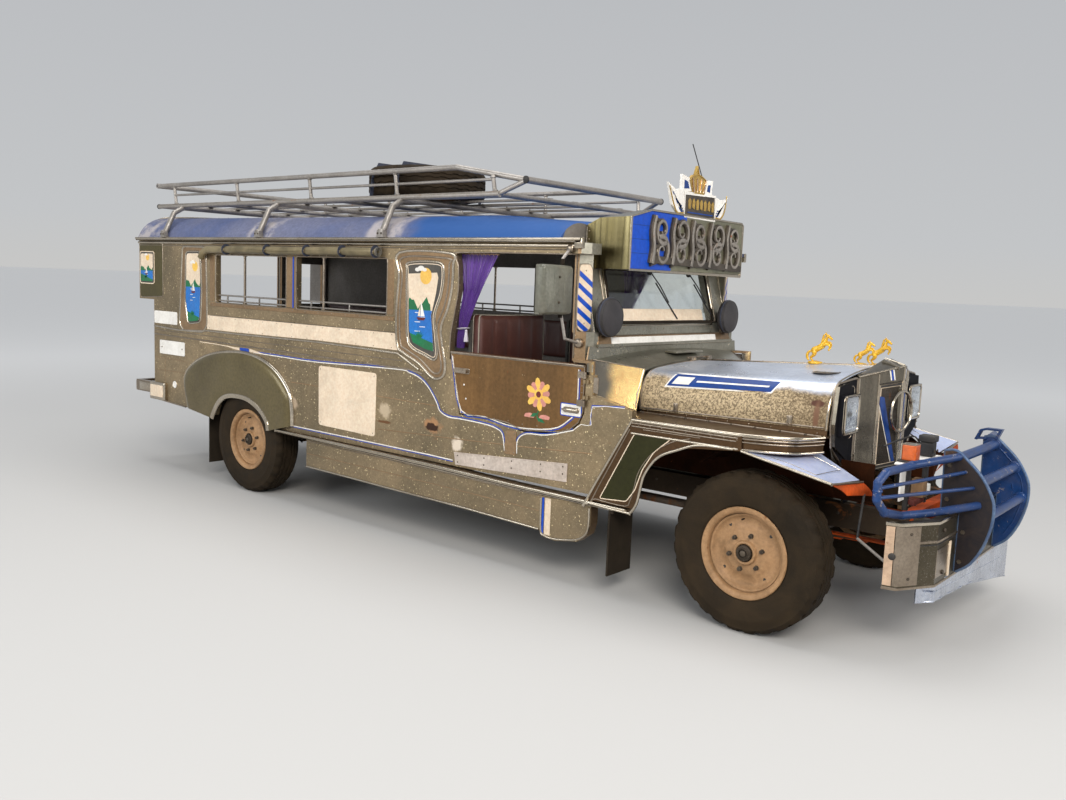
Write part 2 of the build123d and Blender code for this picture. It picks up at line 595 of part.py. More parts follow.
# ---------------------------------------------------------------------------
# Running boards with side lockers below the doors
# ---------------------------------------------------------------------------
with BuildPart() as running_boards:
    for s in (1, -1):
        side_plate([(-640, 468), (-640, 488), (-1420, 496), (-2069, 510), (-3600, 518), (-3634, 518),
                    (-3634, 502), (-2069, 482), (-1420, 472)], s * 828, s * 905)
        # skirt panel below the board
        side_plate([(-3300, 499), (-2069, 486), (-1420, 476), (-1215, 474), (-1215, 268), (-3300, 300)], s * 862, s * 880)
        side_plate([(-876, 460), (-1223, 460), (-1218, 262), (-1190, 232), (-1110, 226), (-960, 252), (-895, 300),
                    (-876, 360)], s * 815, s * 880)
        slab(-1080 - 20, -1080 + 20, s * 780, s * 860, 450, 480)
save(running_boards, "running_boards")

with BuildPart() as mud_flaps:
    for s in (1, -1):
        slab(-748, -738, s * 690, s * 902, 115, 467)
        slab(REAR - 560, REAR - 550, s * 640, s * 829, 130, 619)
        slab(-738, -720, s * 690, s * 902, 450, 467)
save(mud_flaps, "mud_flaps")

# ---------------------------------------------------------------------------
# Front bumper with swept ends and the lip below it, brackets to the frame
# ---------------------------------------------------------------------------
with BuildPart() as front_bumper:
    # face: end returns, swept ends, straight middle
    plan_plate([(628, -776), (686, -764), (790, -585), (796, 0), (790, 585), (686, 764), (628, 776), (628, 766),
                (680, 754), (780, 580), (785, 0), (780, -580), (680, -754), (628, -766)], 352, 645)
    for z in (352, 633):
        plan_plate([(628, -776), (686, -764), (790, -585), (796, 0), (790, 585), (686, 764), (628, 776),
                    (628, 726), (652, 722), (742, 566), (746, 0), (742, -566), (652, -722), (628, -726)], z, z + 12)
    # torn lip hanging below, deeper towards the left end
    plan_plate([(742, -668), (791, -560), (791, 672), (783, 672), (783, -556), (735, -664)], 130, 362)
    front_plate([(-720, 100), (-720, 284), (-660, 284), (-120, 256), (700, 130), (700, 100)], 700, 800,
                mode=Mode.SUBTRACT)
    for s in (1, -1):
        slab(RAIL_FRONT, 786, s * (RAIL_Y - 26), s * (RAIL_Y + 26), 500, 600)
save(front_bumper, "front_bumper")

# ---------------------------------------------------------------------------
# Bull guard: two profiled plates, cross tubes and side loops
# ---------------------------------------------------------------------------
GUARD_PROFILE = [(712, 925), (761, 930), (820, 884), (880, 823), (925, 746), (940, 689), (936, 604), (908, 503),
                 (862, 419), (805, 372), (797, 372), (797, 647), (716, 647)]
# side loop, columns: station, half width, z
GUARD_LOOP = [(775, 320, 903), (665, 620, 884), (630, 840, 876), (618, 900, 836), (619, 900, 762),
              (636, 842, 702), (657, 700, 668), (727, 500, 662), (877, 320, 695)]
with BuildPart() as bull_guard:
    for s in (1, -1):
        side_plate(GUARD_PROFILE, s * 314, s * 326)
        loop = [(x, s * y, z) for x, y, z in GUARD_LOOP]
        bent_bar(loop, 18)
        rod((812, s * 320, 838), (622, s * 890, 812), 8)
        rod((850, s * 320, 770), (622, s * 890, 770), 8)
    for x, z in ((767, 893), (866, 790), (905, 640)):
        rod((x, -320, z), (x, 320, z), 23)
    # flat handle on the left plate
    side_plate([(668, 910), (690, 962), (720, 972), (798, 972), (776, 918), (764, 924), (780, 962), (724, 962),
                (699, 954), (680, 907)], 300, 340)
    side_plate([(668, 910), (726, 915), (722, 925), (671, 920)], 300, 340)
save(bull_guard, "bull_guard")

# rear bumper with corner returns and the entrance step
TOW_X, TOW_R = -5580.0, 11.0
with BuildPart() as rear_bumper:
    slab(-5600, -5560, -880, 880, 600, 690)
    for s in (1, -1):
        slab(-5600, -5330, s * 880, s * 850, 600, 690)
        slab(-5565, RAIL_REAR, s * (RAIL_Y - 26), s * (RAIL_Y + 26), 600, 650)
    slab(-5560, -5352, -420, 420, 600, 622)
    slab(-5560, -5380, -340, 340, 410, 430)
    # towing pin hole down through the bar
    rod((TOW_X, 0, 590), (TOW_X, 0, 700), TOW_R, mode=Mode.SUBTRACT)
    for s in (1, -1):
        slab(-5560, -5380, s * 330, s * 342, 410, 610)
save(rear_bumper, "rear_bumper")

# ---------------------------------------------------------------------------
# Sign box with the crest on top
# ---------------------------------------------------------------------------
# front face, columns: y, z
SIGN_FACE = [(-618, SIGN_Z0), (618, SIGN_Z0), (618, 2016), (600, 2030), (-430, 2032), (-618, 1986)]
with BuildPart() as destination_sign:
    front_plate([(-664, SIGN_Z0), (664, SIGN_Z0), (664, 2040), (-664, 2040)], SIGN_REAR, SIGN_FRONT)
    # sides narrow towards the front
    for s in (1, -1):
        plan_plate([(SIGN_REAR - 10, s * 665.8), (SIGN_REAR - 10, s * 760), (SIGN_FRONT + 10, s * 760),
                    (SIGN_FRONT + 10, s * 616.2)], SIGN_Z0 - 10, 2060, mode=Mode.SUBTRACT)
    # outline of the front face carried back
    front_plate([(-700, 2060), (700, 2060), (700, 1980), (618, 2016), (600, 2030), (-430, 2032), (-618, 1986),
                 (-700, 1966)], SIGN_REAR - 10, SIGN_FRONT + 10, mode=Mode.SUBTRACT)
    # the top falls towards the rear
    side_plate([(SIGN_FRONT - 60, 2040), (SIGN_REAR - 10, 1932), (SIGN_REAR - 10, 2100), (SIGN_FRONT - 60, 2100)],
               -700, 700, mode=Mode.SUBTRACT)
    # crest standing on the front edge; columns are y, z
    for outline in (
        [(-96, 2020), (262, 2020), (255, 2168), (-100, 2160)],
        [(-14, 2155), (-57, 2232), (-20, 2262), (10, 2270), (31, 2320), (52, 2274), (90, 2268), (139, 2250), (122, 2158)],
        [(-132, 2150), (-132, 2258), (-50, 2244), (-10, 2160), (-10, 2150)],
        [(116, 2150), (135, 2246), (217, 2256), (207, 2150)],
        [(-90, 2040), (-150, 2030), (-222, 2078), (-272, 2200), (-190, 2165), (-124, 2180), (-90, 2120)],
        [(250, 2040), (310, 2030), (352, 2066), (392, 2160), (330, 2150), (270, 2160), (250, 2120)],
    ):
        front_plate(outline, -905, -891)
    # whip aerial behind the crest
    rod((-925, 330, 2010), (-985, 120, 2460), 3)
save(destination_sign, "destination_sign")

# ---------------------------------------------------------------------------
# Mirrors on bent arms and the round covered lamps beside the windscreen
# ---------------------------------------------------------------------------
with BuildPart() as mirrors:
    # right head turned out; left head folded back along the body
    bent_bar([(-1060, -808, 1305), (-1072, -915, 1330), (-1085, -945, 1480), (-1085, -945, 1745), (-1084, -884, 1800)], 8)
    slab(-1099, -1071, -1140, -893, 1458, 1710)
    bent_bar([(-1060, 808, 1305), (-1085, 872, 1340), (-1166, 898, 1480), (-1166, 898, 1745), (-1084, 884, 1800)], 8)
    slab(-1296, -1152, 886, 910, 1458, 1710)
    for s in (1, -1):
        rod((-1060, s * 802, 1305), (-1060, s * 815, 1305), 24)
        rod((-1084, s * BODY_Y, 1800), (-1084, s * (BODY_Y + 14), 1800), 20)
        rod((-1034.5, s * 655, 1447), (-990, s * 655, 1447), 26)
        rod((-994, s * 655, 1447), (-962, s * 655, 1447), 100)
save(mirrors, "mirrors")

# ---------------------------------------------------------------------------
# Roof rack: hoops off the gutter, slats, two rails and posts
# ---------------------------------------------------------------------------
HOOPS_X = [-5098, -3836, -2543]
POSTS_X = [-5200, -4330, -3460, -2590, -1760]
with BuildPart() as roof_rack:
    for hx in HOOPS_X:
        for s in (1, -1):
            slab(hx - 30, hx + 30, s * 889, s * 919, EAVE_Z + 22.5, EAVE_Z + 60)
        bent_bar([(hx, -904, EAVE_Z + 42), (hx, -818, 2050), (hx, -732, RACK_LOW_Z - 18), (hx, 732, RACK_LOW_Z - 18),
                  (hx, 818, 2050), (hx, 904, EAVE_Z + 42)], 20)
    for y in (-500, -250, 0, 250, 500):
        slab(-5440, -1740, y - 20, y + 20, RACK_LOW_Z, RACK_LOW_Z + 14)
    for x in (-5440, -4560, -3200, -1740):
        rod((x, -740, RACK_LOW_Z - 6), (x, 740, RACK_LOW_Z - 6), 16)
    for s in (1, -1):
        rod((-5458, s * 740, RACK_LOW_Z - 6), (-1722, s * 740, RACK_LOW_Z - 6), 18)
        # upper rail, running forward and then down to the deck corner
        bent_bar([(-5443, s * RACK_Y, RACK_TOP_Z), (-2060, s * RACK_Y, RACK_TOP_Z), (-1560, s * 690, 2190)], 17)
        rod((-1560, s * 690, 2190), (-1740, s * 735, RACK_LOW_Z - 6), 15)
        for px in POSTS_X:
            rod((px, s * 738, RACK_LOW_Z - 6), (px - 12, s * RACK_Y, RACK_TOP_Z if px < -2000 else 2224), 12)
    rod((-5443, -RACK_Y - 16, RACK_TOP_Z), (-5443, RACK_Y + 16, RACK_TOP_Z), 20)
    rod((-1560, -704, 2190), (-1560, 704, 2190), 20)
save(roof_rack, "roof_rack")

# ---------------------------------------------------------------------------
# Half doors, hinged at their front edges
# ---------------------------------------------------------------------------
for side, s in SIDES:
    with BuildPart() as door:
        side_plate(DOOR_OUTLINE, s * (BODY_Y - WALL), s * BODY_Y)
        # rolled top rail and outside handle
        slab(DOOR_FRONT, DOOR_BACK, s * (BODY_Y - 40), s * (BODY_Y + 3), 1184, 1198)
        slab(-1900, -1800, s * BODY_Y, s * (BODY_Y + 22), 1080, 1100)
        # hinge barrels with their straps
        for hz in (980, 1130):
            rod((HINGE_X, s * HINGE_Y, hz), (HINGE_X, s * HINGE_Y, hz + 34), 9)
            slab(-1000, -956, s * (BODY_Y - 5), s * 884, hz, hz + 34)
            slab(-960, HINGE_X, s * 881, s * 888, hz, hz + 34)
    save(door, f"{side}_door")

# ---------------------------------------------------------------------------
# Seats: steel frames, and the cushions as plain solids
# ---------------------------------------------------------------------------
BENCH_X0, BENCH_X1 = -5230.0, -2060.0
with BuildPart() as seat_frames:
    for s in (1, -1):
        # side benches
        slab(BENCH_X0, BENCH_X1, s * 500, s * 830, 900, 930)
        for bx in (-5200, -4520, -3540, -2800, -2090):
            slab(bx - 20, bx + 20, s * 505, s * 540, FLOOR_Z1, 905)
        # front seat pedestals
        slab(-1840, -1400, s * 170, s * 770, FLOOR_Z1, 900)
        slab(-1832, -1408, s * 178, s * 762, FLOOR_Z1 - 1, 892, mode=Mode.SUBTRACT)
        slab(-1905, -1885, s * 170, s * 770, 880, 1380)
        slab(-1905, -1840, s * 170, s * 770, 880, 900)
save(seat_frames, "seat_frames")

with BuildPart() as seat_cushions:
    for s in (1, -1):
        slab(BENCH_X0 + 5, BENCH_X1 - 5, s * 495, s * 828, 930, 1010)
        slab(BENCH_X0 + 5, BENCH_X1 - 5, s * 796, s * 833, 1060, 1340)
        slab(-1838, -1390, s * 165, s * 775, 900, 1010)
        slab(-1885, -1800, s * 165, s * 775, 1020, 1420)
    fillet(seat_cushions.edges().filter_by(Axis.X), 12)
save(seat_cushions, "seat_cushions")

# ---------------------------------------------------------------------------
# Curtains: tied drapes at the rear of the cab openings and the rolled rain
# curtains above the side windows
# ---------------------------------------------------------------------------
with BuildPart() as curtains:
    for s in (1, -1):
        side_plate([(-1932, 1764), (-1650, 1764), (-1800, 1500), (-1880, 1330), (-1900, 1215), (-1950, 1215),
                    (-1930, 1430), (-1898, 1560)], s * 800, s * 828)
        bent_bar([(-2560, s * 912, 1768), (-4500, s * 912, 1768), (-4560, s * 914, 1700)], 32)
save(curtains, "curtains")

print("done")
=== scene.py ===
import math
import random

import bpy
import bmesh
from mathutils import Matrix, Vector


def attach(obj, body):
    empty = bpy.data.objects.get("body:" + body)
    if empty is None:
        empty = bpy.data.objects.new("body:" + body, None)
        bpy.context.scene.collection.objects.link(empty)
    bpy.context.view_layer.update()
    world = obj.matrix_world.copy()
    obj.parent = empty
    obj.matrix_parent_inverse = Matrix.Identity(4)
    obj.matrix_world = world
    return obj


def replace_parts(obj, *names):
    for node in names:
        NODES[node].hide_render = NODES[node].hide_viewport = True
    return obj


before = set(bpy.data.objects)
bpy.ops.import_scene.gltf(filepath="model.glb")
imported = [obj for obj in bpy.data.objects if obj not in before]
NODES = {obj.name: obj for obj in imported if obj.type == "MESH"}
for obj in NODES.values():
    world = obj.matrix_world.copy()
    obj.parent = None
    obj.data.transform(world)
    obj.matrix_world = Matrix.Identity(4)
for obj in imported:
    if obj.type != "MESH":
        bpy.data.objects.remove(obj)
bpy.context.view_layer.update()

# Millimetres below are counted as in the CAD source: x from the front axle,
# forward positive, y to the vehicle's left, z up from the ground.
FRONT_AXLE = 2330.0
REAR = -4030.0
SIDES = (("left", 1), ("right", -1))


def P(p):
    return Vector(((p[0] + FRONT_AXLE) / 1000.0, p[1] / 1000.0, p[2] / 1000.0))


# ---------------------------------------------------------------------------
# Camera: at the photograph's angle
# ---------------------------------------------------------------------------
def camera():
    yaw, pitch, roll = (math.radians(a) for a in (39.5788, 7.0067, -2.2477))
    back = Vector((math.sin(yaw) * math.cos(pitch), -math.cos(yaw) * math.cos(pitch), math.sin(pitch)))
    zc = -back
    right = zc.cross(Vector((0, 0, 1))).normalized()
    down = zc.cross(right)
    r2 = math.cos(roll) * right + math.sin(roll) * down
    d2 = -math.sin(roll) * right + math.cos(roll) * down
    data = bpy.data.cameras.new("camera")
    data.sensor_width = 36.0
    data.lens = 960.19 / 1066 * 36
    cam = bpy.data.objects.new("camera", data)
    bpy.context.scene.collection.objects.link(cam)
    m = Matrix((r2, -d2, back)).transposed().to_4x4()
    m.translation = Vector((4.35527, -4.9035, 1.61981))
    cam.matrix_world = m
    bpy.context.scene.camera = cam


camera()


# ---------------------------------------------------------------------------
# Materials
# ---------------------------------------------------------------------------
class Paint:
    """A node material on the Principled shader, fed by object coordinates."""

    def __init__(self, name):
        self.m = bpy.data.materials.new(name)
        self.m.use_nodes = True
        self.t = self.m.node_tree
        self.t.nodes.clear()
        out = self.t.nodes.new("ShaderNodeOutputMaterial")
        self.b = self.t.nodes.new("ShaderNodeBsdfPrincipled")
        self.t.links.new(self.b.outputs[0], out.inputs[0])
        self.co = self.t.nodes.new("ShaderNodeTexCoord").outputs["Object"]
        self.xyz = None

    def put(self, where, value):
        if isinstance(value, bpy.types.NodeSocket):
            self.t.links.new(value, where)
        elif isinstance(value, (tuple, list)):
            where.default_value = (*value, 1.0) if len(value) == 3 and len(where.default_value) == 4 else value
        else:
            where.default_value = value

    def set(self, **kw):
        for k, v in kw.items():
            self.put(self.b.inputs[k.replace("_", " ")], v)
        return self

    def axis(self, i):
        if self.xyz is None:
            n = self.t.nodes.new("ShaderNodeSeparateXYZ")
            self.t.links.new(self.co, n.inputs[0])
            self.xyz = n.outputs
        return self.xyz[i]

    def stretch(self, sx, sy, sz):
        n = self.t.nodes.new("ShaderNodeMapping")
        self.t.links.new(self.co, n.inputs[0])
        n.inputs["Scale"].default_value = (sx, sy, sz)
        return n.outputs[0]

    def noise(self, scale, detail=3.0, rough=0.55, dist=0.0, co=None):
        n = self.t.nodes.new("ShaderNodeTexNoise")
        self.t.links.new(co or self.co, n.inputs["Vector"])
        n.inputs["Scale"].default_value = scale
        n.inputs["Detail"].default_value = detail
        n.inputs["Roughness"].default_value = rough
        n.inputs["Distortion"].default_value = dist
        return n.outputs["Fac"]

    def cells(self, scale, co=None):
        n = self.t.nodes.new("ShaderNodeTexVoronoi")
        self.t.links.new(co or self.co, n.inputs["Vector"])
        n.inputs["Scale"].default_value = scale
        return n.outputs["Distance"], n.outputs["Color"]

    def ramp(self, fac, stops):
        n = self.t.nodes.new("ShaderNodeValToRGB")
        self.t.links.new(fac, n.inputs[0])
        e = n.color_ramp.elements
        while len(e) < len(stops):
            e.new(0.5)
        for el, (pos, col) in zip(e, stops):
            el.position = pos
            el.color = (col, col, col, 1) if isinstance(col, (int, float)) else (*col, 1)
        return n.outputs[0]

    def mix(self, fac, a, b, blend="MIX"):
        n = self.t.nodes.new("ShaderNodeMix")
        n.data_type = "RGBA"
        n.blend_type = blend
        self.put(n.inputs[0], fac)
        self.put(n.inputs[6], a if not isinstance(a, (int, float)) else (a, a, a))
        self.put(n.inputs[7], b if not isinstance(b, (int, float)) else (b, b, b))
        return n.outputs[2]

    def math(self, op, a, b=0.0, c=0.0, clamp=False):
        n = self.t.nodes.new("ShaderNodeMath")
        n.operation = op
        n.use_clamp = clamp
        for i, v in enumerate((a, b, c)):
            self.put(n.inputs[i], v)
        return n.outputs[0]

    def step(self, value, low, high):
        n = self.t.nodes.new("ShaderNodeMapRange")
        n.interpolation_type = "SMOOTHSTEP"
        self.put(n.inputs["Value"], value)
        n.inputs["From Min"].default_value = low
        n.inputs["From Max"].default_value = high
        return n.outputs[0]

    def spot(self, x, z, rx, rz, soft=0.35, wobble=0.5, scale=9.0, y=None, ry=1.0):
        """Mask of a blotch round (x, z), or (x, y, z), in millimetres, with a ragged edge."""
        dx = self.math("MULTIPLY", self.math("SUBTRACT", self.axis(0), (x + FRONT_AXLE) / 1000), 1000 / rx)
        dz = self.math("MULTIPLY", self.math("SUBTRACT", self.axis(2), z / 1000), 1000 / rz)
        d = self.math("ADD", self.math("POWER", dx, 2.0), self.math("POWER", dz, 2.0))
        if y is not None:
            dy = self.math("MULTIPLY", self.math("SUBTRACT", self.axis(1), y / 1000), 1000 / ry)
            d = self.math("ADD", d, self.math("POWER", dy, 2.0))
        d = self.math("SQRT", d)
        d = self.math("ADD", d, self.math("MULTIPLY", self.math("SUBTRACT", self.noise(scale, 4), 0.5), wobble * 2))
        return self.step(d, 1.0 + soft / 2, 1.0 - soft / 2)

    def bump(self, height, strength=0.3, distance=0.002, after=None):
        n = self.t.nodes.new("ShaderNodeBump")
        self.put(n.inputs["Height"], height)
        n.inputs["Strength"].default_value = strength
        n.inputs["Distance"].default_value = distance
        if after is not None:
            self.t.links.new(after, n.inputs["Normal"])
        self.t.links.new(n.outputs[0], self.b.inputs["Normal"])
        return n.outputs[0]


RUST = ((0.10, 0.035, 0.012), (0.30, 0.11, 0.035))


def coat(name, c1, c2, metallic=0.0, rough=(0.3, 0.5), big=2.2, fine=60.0, rust=0.0, grime=0.25,
         grime_color=(0.13, 0.105, 0.075), dust=0.0, bump=0.25, dents=0.0, clear=0.0, streak=None, extra=None,
         scratches=0.0, spec=0.22):
    """General surface: two tones, fine mottling, grime, rust, road dust low down, dents."""
    p = Paint(name)
    col = p.mix(p.ramp(p.noise(big, 4, 0.6, 0.4), [(0.32, 0.0), (0.68, 1.0)]), c1, c2)
    fine_n = p.noise(fine, 3, 0.6)
    col = p.mix(0.35, col, p.ramp(fine_n, [(0.25, 0.25), (0.75, 0.8)]), "OVERLAY")
    ro = p.math("ADD", p.math("MULTIPLY", p.noise(big * 4.5, 5, 0.65), rough[1] - rough[0]), rough[0])
    me = None
    if streak:
        n = p.noise(streak, 4, 0.7, co=p.stretch(1.0, 1.0, 0.06))
        col = p.mix(0.4, col, p.ramp(n, [(0.3, 0.3), (0.7, 0.75)]), "OVERLAY")
    if scratches:
        n = p.ramp(p.noise(140, 2, 0.5, 1.5, co=p.stretch(0.25, 1.0, 1.0)), [(0.63, 0.0), (0.67, 1.0)])
        col = p.mix(p.math("MULTIPLY", n, scratches), col, (0.65, 0.62, 0.55))
    if grime:
        g = p.math("MULTIPLY", p.ramp(p.noise(5.5, 6, 0.7, 0.8), [(0.42, 0.0), (0.72, 1.0)]), grime)
        col = p.mix(g, col, grime_color)
        ro = p.math("ADD", ro, p.math("MULTIPLY", g, 0.35))
    if dust:
        d = p.math("MULTIPLY", p.step(p.math("ADD", p.axis(2), p.math("MULTIPLY", p.noise(7, 5), 0.35)), 0.95, 0.35), dust)
        col = p.mix(d, col, (0.27, 0.21, 0.145))
        ro = p.math("ADD", ro, p.math("MULTIPLY", d, 0.4))
    me = metallic
    if rust:
        r = p.ramp(p.noise(7.5, 8, 0.68, 0.6), [(0.70 - rust * 0.25, 0.0), (0.76 - rust * 0.22, 1.0)])
        col = p.mix(r, col, p.mix(p.noise(30, 5), RUST[0], RUST[1]))
        ro = p.mix(r, ro, 0.85)
        if metallic:
            me = p.math("MULTIPLY", p.math("SUBTRACT", 1.0, r), metallic)
    if extra:
        col, ro, me = extra(p, col, ro, me)
    p.set(Base_Color=col, Roughness=ro, Metallic=me, Specular_IOR_Level=spec)
    if clear:
        p.set(Coat_Weight=clear, Coat_Roughness=0.12)
    n = p.bump(fine_n, bump, 0.0006)
    if dents:
        p.bump(p.noise(3.2, 2, 0.4), dents, 0.012, after=n)
    return p.m


def specks(scale, share, radius, color):
    """Pale specks: one dot in a share of the cells."""
    def put(p, col, ro, me):
        d, c = p.cells(scale)
        pick = p.step(p.noise(scale * 0.9, 1, 0.5), 1 - share - 0.03, 1 - share + 0.03)
        dot = p.math("MULTIPLY", p.step(d, radius, radius * 0.55), pick)
        return p.mix(dot, col, color), p.math("ADD", ro, p.math("MULTIPLY", dot, 0.25)), me
    return put


def side_marks(p, col, ro, me):
    """Body panels: pale specks all over, then repairs and rust on the right side, with a rust hole whose dark centre is
    painted shade.
    """
    col, ro, _ = specks(58, 0.45, 0.27, (0.80, 0.66, 0.40))(p, col, ro, me)
    d2, _ = p.cells(140)
    fine = p.math("MULTIPLY", p.step(d2, 0.30, 0.16), p.step(p.noise(70, 1), 0.50, 0.6))
    col = p.mix(p.math("MULTIPLY", fine, 0.7), col, (0.60, 0.50, 0.31))
    right = p.step(p.axis(1), -0.5, -0.6)
    for x, z, rx, rz, c, hard, wob in ((-2516, 778, 52, 38, (0.50, 0.40, 0.28), 0.75, 0.9), (-3466, 715, 44, 40, (0.46, 0.35, 0.25), 0.6, 0.9),
                                       (-1868, 650, 38, 40, (0.68, 0.58, 0.47), 0.9, 0.8), (-2516, 706, 60, 9, (0.13, 0.06, 0.025), 1.0, 0.5),
                                       (-2084, 731, 74, 40, (0.36, 0.19, 0.09), 0.9, 0.9)):
        m = p.math("MULTIPLY", p.spot(x, z, rx, rz, 0.7, wob, 21), right)
        col = p.mix(p.math("MULTIPLY", m, hard), col, c)
        ro = p.math("ADD", ro, p.math("MULTIPLY", m, 0.3))
        me = p.math("MULTIPLY", me, p.math("SUBTRACT", 1.0, p.math("MULTIPLY", m, 0.85)))
    # rust hole: its near-black centre is painted shade of the opening
    hole = p.math("MULTIPLY", p.spot(-2084, 731, 50, 24, 0.3, 0.9, 26), right)
    col = p.mix(hole, col, (0.04, 0.018, 0.010))
    return col, ro, me


def hood_sky_top_and_blotches(p, col, ro, me):
    """Hood: blue-grey on top, a painted sky reflection on the steel; tan blotches on shoulder and sides; a rust hole on
    the right, its dark centre painted shade.
    """
    fore = p.math("MULTIPLY", p.step(p.axis(0), 2.15, 2.58), 0.045)
    n = p.ramp(p.math("SUBTRACT", p.noise(90, 5, 0.62, 0.5), fore), [(0.44, 0.0), (0.57, 1.0)])
    tan = p.mix(n, (0.17, 0.125, 0.075), (0.50, 0.385, 0.235))
    d, _ = p.cells(150)
    tan = p.mix(p.math("MULTIPLY", p.step(d, 0.34, 0.2), 0.8), tan, (0.70, 0.56, 0.34))
    # above this height line the hood keeps its base colour, the painted sky reflection
    low = p.step(p.math("ADD", p.axis(2), p.math("MULTIPLY", p.noise(9, 4), 0.06)), 1.208, 1.168)
    tan = p.mix(p.math("MULTIPLY", p.step(p.axis(0), 2.20, 2.62), 0.5), tan, (0.10, 0.06, 0.025))
    col = p.mix(low, col, tan)
    ro = p.mix(low, ro, 0.5)
    me = p.math("SUBTRACT", me, p.math("MULTIPLY", low, 0.45))
    # first spot: a rust hole, rusty rim with its dark centre painted shade; second: a rust run below it
    for m, c in ((p.spot(192, 1103, 34, 15, 0.5, 0.35, 25, y=-600, ry=200), (0.075, 0.03, 0.018)),
                 (p.spot(198, 1050, 14, 62, 1.0, 0.5, 20, y=-600, ry=200), (0.16, 0.08, 0.045))):
        col = p.mix(m, col, c)
        me = p.math("MULTIPLY", me, p.math("SUBTRACT", 1.0, m))
    return col, ro, me


def roof_patches(p, col, ro, me):
    edge = p.math("ADD", p.axis(0), p.math("MULTIPLY", p.math("SUBTRACT", p.noise(3.5, 4), 0.5), 0.35))
    def band(a, b, soft=0.05):
        return p.math("MULTIPLY", p.step(edge, (a + FRONT_AXLE) / 1000 - soft, (a + FRONT_AXLE) / 1000 + soft),
                      p.step(edge, (b + FRONT_AXLE) / 1000 + soft, (b + FRONT_AXLE) / 1000 - soft))
    azure = band(-2330, -1130, 0.11)
    col = p.mix(p.math("MULTIPLY", azure, 0.95), col, (0.025, 0.082, 0.25))
    for a, b in ((-2720, -2420), (-3960, -3700), (-5560, -5230)):
        m = p.math("MULTIPLY", band(a, b, 0.05), p.ramp(p.noise(6, 5, 0.7), [(0.40, 0.0), (0.56, 0.9)]))
        col = p.mix(m, col, (0.36, 0.33, 0.33))
    return col, ro, me


def guard_wear(p, col, ro, me):
    """Blue bars; the right plate is rusty brown on its outer face."""
    y = p.axis(1)
    plate = p.math("MULTIPLY", p.step(y, -0.3285, -0.3265), p.step(y, -0.3125, -0.3145))
    brown = p.mix(p.ramp(p.noise(14, 7, 0.7, 1.2), [(0.35, 0.0), (0.65, 1.0)]), (0.010, 0.009, 0.013), (0.026, 0.018, 0.016))
    upper = p.step(p.math("ADD", p.axis(2), p.math("MULTIPLY", p.noise(5, 4), 0.3)), 1.00, 1.16)
    patch = p.math("MULTIPLY", p.ramp(p.noise(9, 5, 0.7, 0.8), [(0.44, 0.0), (0.58, 1.0)]), upper)
    brown = p.mix(patch, brown, (0.20, 0.105, 0.055))
    col = p.mix(plate, col, brown)
    chips = p.ramp(p.noise(26, 6, 0.75), [(0.615, 0.0), (0.64, 1.0)])
    chips = p.math("MULTIPLY", chips, p.math("SUBTRACT", 1.0, plate))
    col = p.mix(chips, col, p.mix(p.noise(40, 2), (0.22, 0.28, 0.34), (0.20, 0.095, 0.045)))
    ro = p.math("ADD", p.math("MULTIPLY", plate, 0.25), ro)
    return col, ro, me


def tyre_dirt(p, col, ro, me):
    return col, ro, me


def gold_fade(p, col, ro, me):
    """The warm patch lies next to the hood and fades to grey steel behind it."""
    m = p.step(p.math("ADD", p.axis(0), p.math("MULTIPLY", p.noise(7, 3), 0.05)), (-915 + FRONT_AXLE) / 1000, (-862 + FRONT_AXLE) / 1000)
    return p.mix(m, (0.165, 0.150, 0.125), col), ro, me


def sign_painted_reflection_bands(p, col, ro, me):
    """Sign faces: broad upright light and dark bands, painted reflections as polished sheet shows them."""
    n = p.noise(5.5, 3, 0.6, 0.5, co=p.stretch(1.0, 1.0, 0.05))
    col = p.mix(p.ramp(n, [(0.36, 0.0), (0.47, 0.55), (0.52, 0.1), (0.60, 1.0)]), col, (0.26, 0.22, 0.11))
    m = p.noise(17, 3, 0.6, 0.3, co=p.stretch(1.0, 1.0, 0.04))
    return p.mix(0.5, col, p.ramp(m, [(0.3, 0.22), (0.7, 0.8)]), "OVERLAY"), ro, me


def door_marks(p, col, ro, me):
    """Doors: faint specks and a rusty, lifting top edge."""
    col, ro, me = specks(44, 0.25, 0.3, (0.62, 0.50, 0.32))(p, col, ro, me)
    edge = p.step(p.math("ADD", p.axis(2), p.math("MULTIPLY", p.noise(11, 5, 0.7), 0.10)), 1.232, 1.262)
    col = p.mix(edge, col, p.mix(p.noise(35, 4), (0.09, 0.032, 0.012), (0.26, 0.10, 0.035)))
    return col, p.math("ADD", ro, p.math("MULTIPLY", edge, 0.3)), p.math("MULTIPLY", me, p.math("SUBTRACT", 1.0, edge))


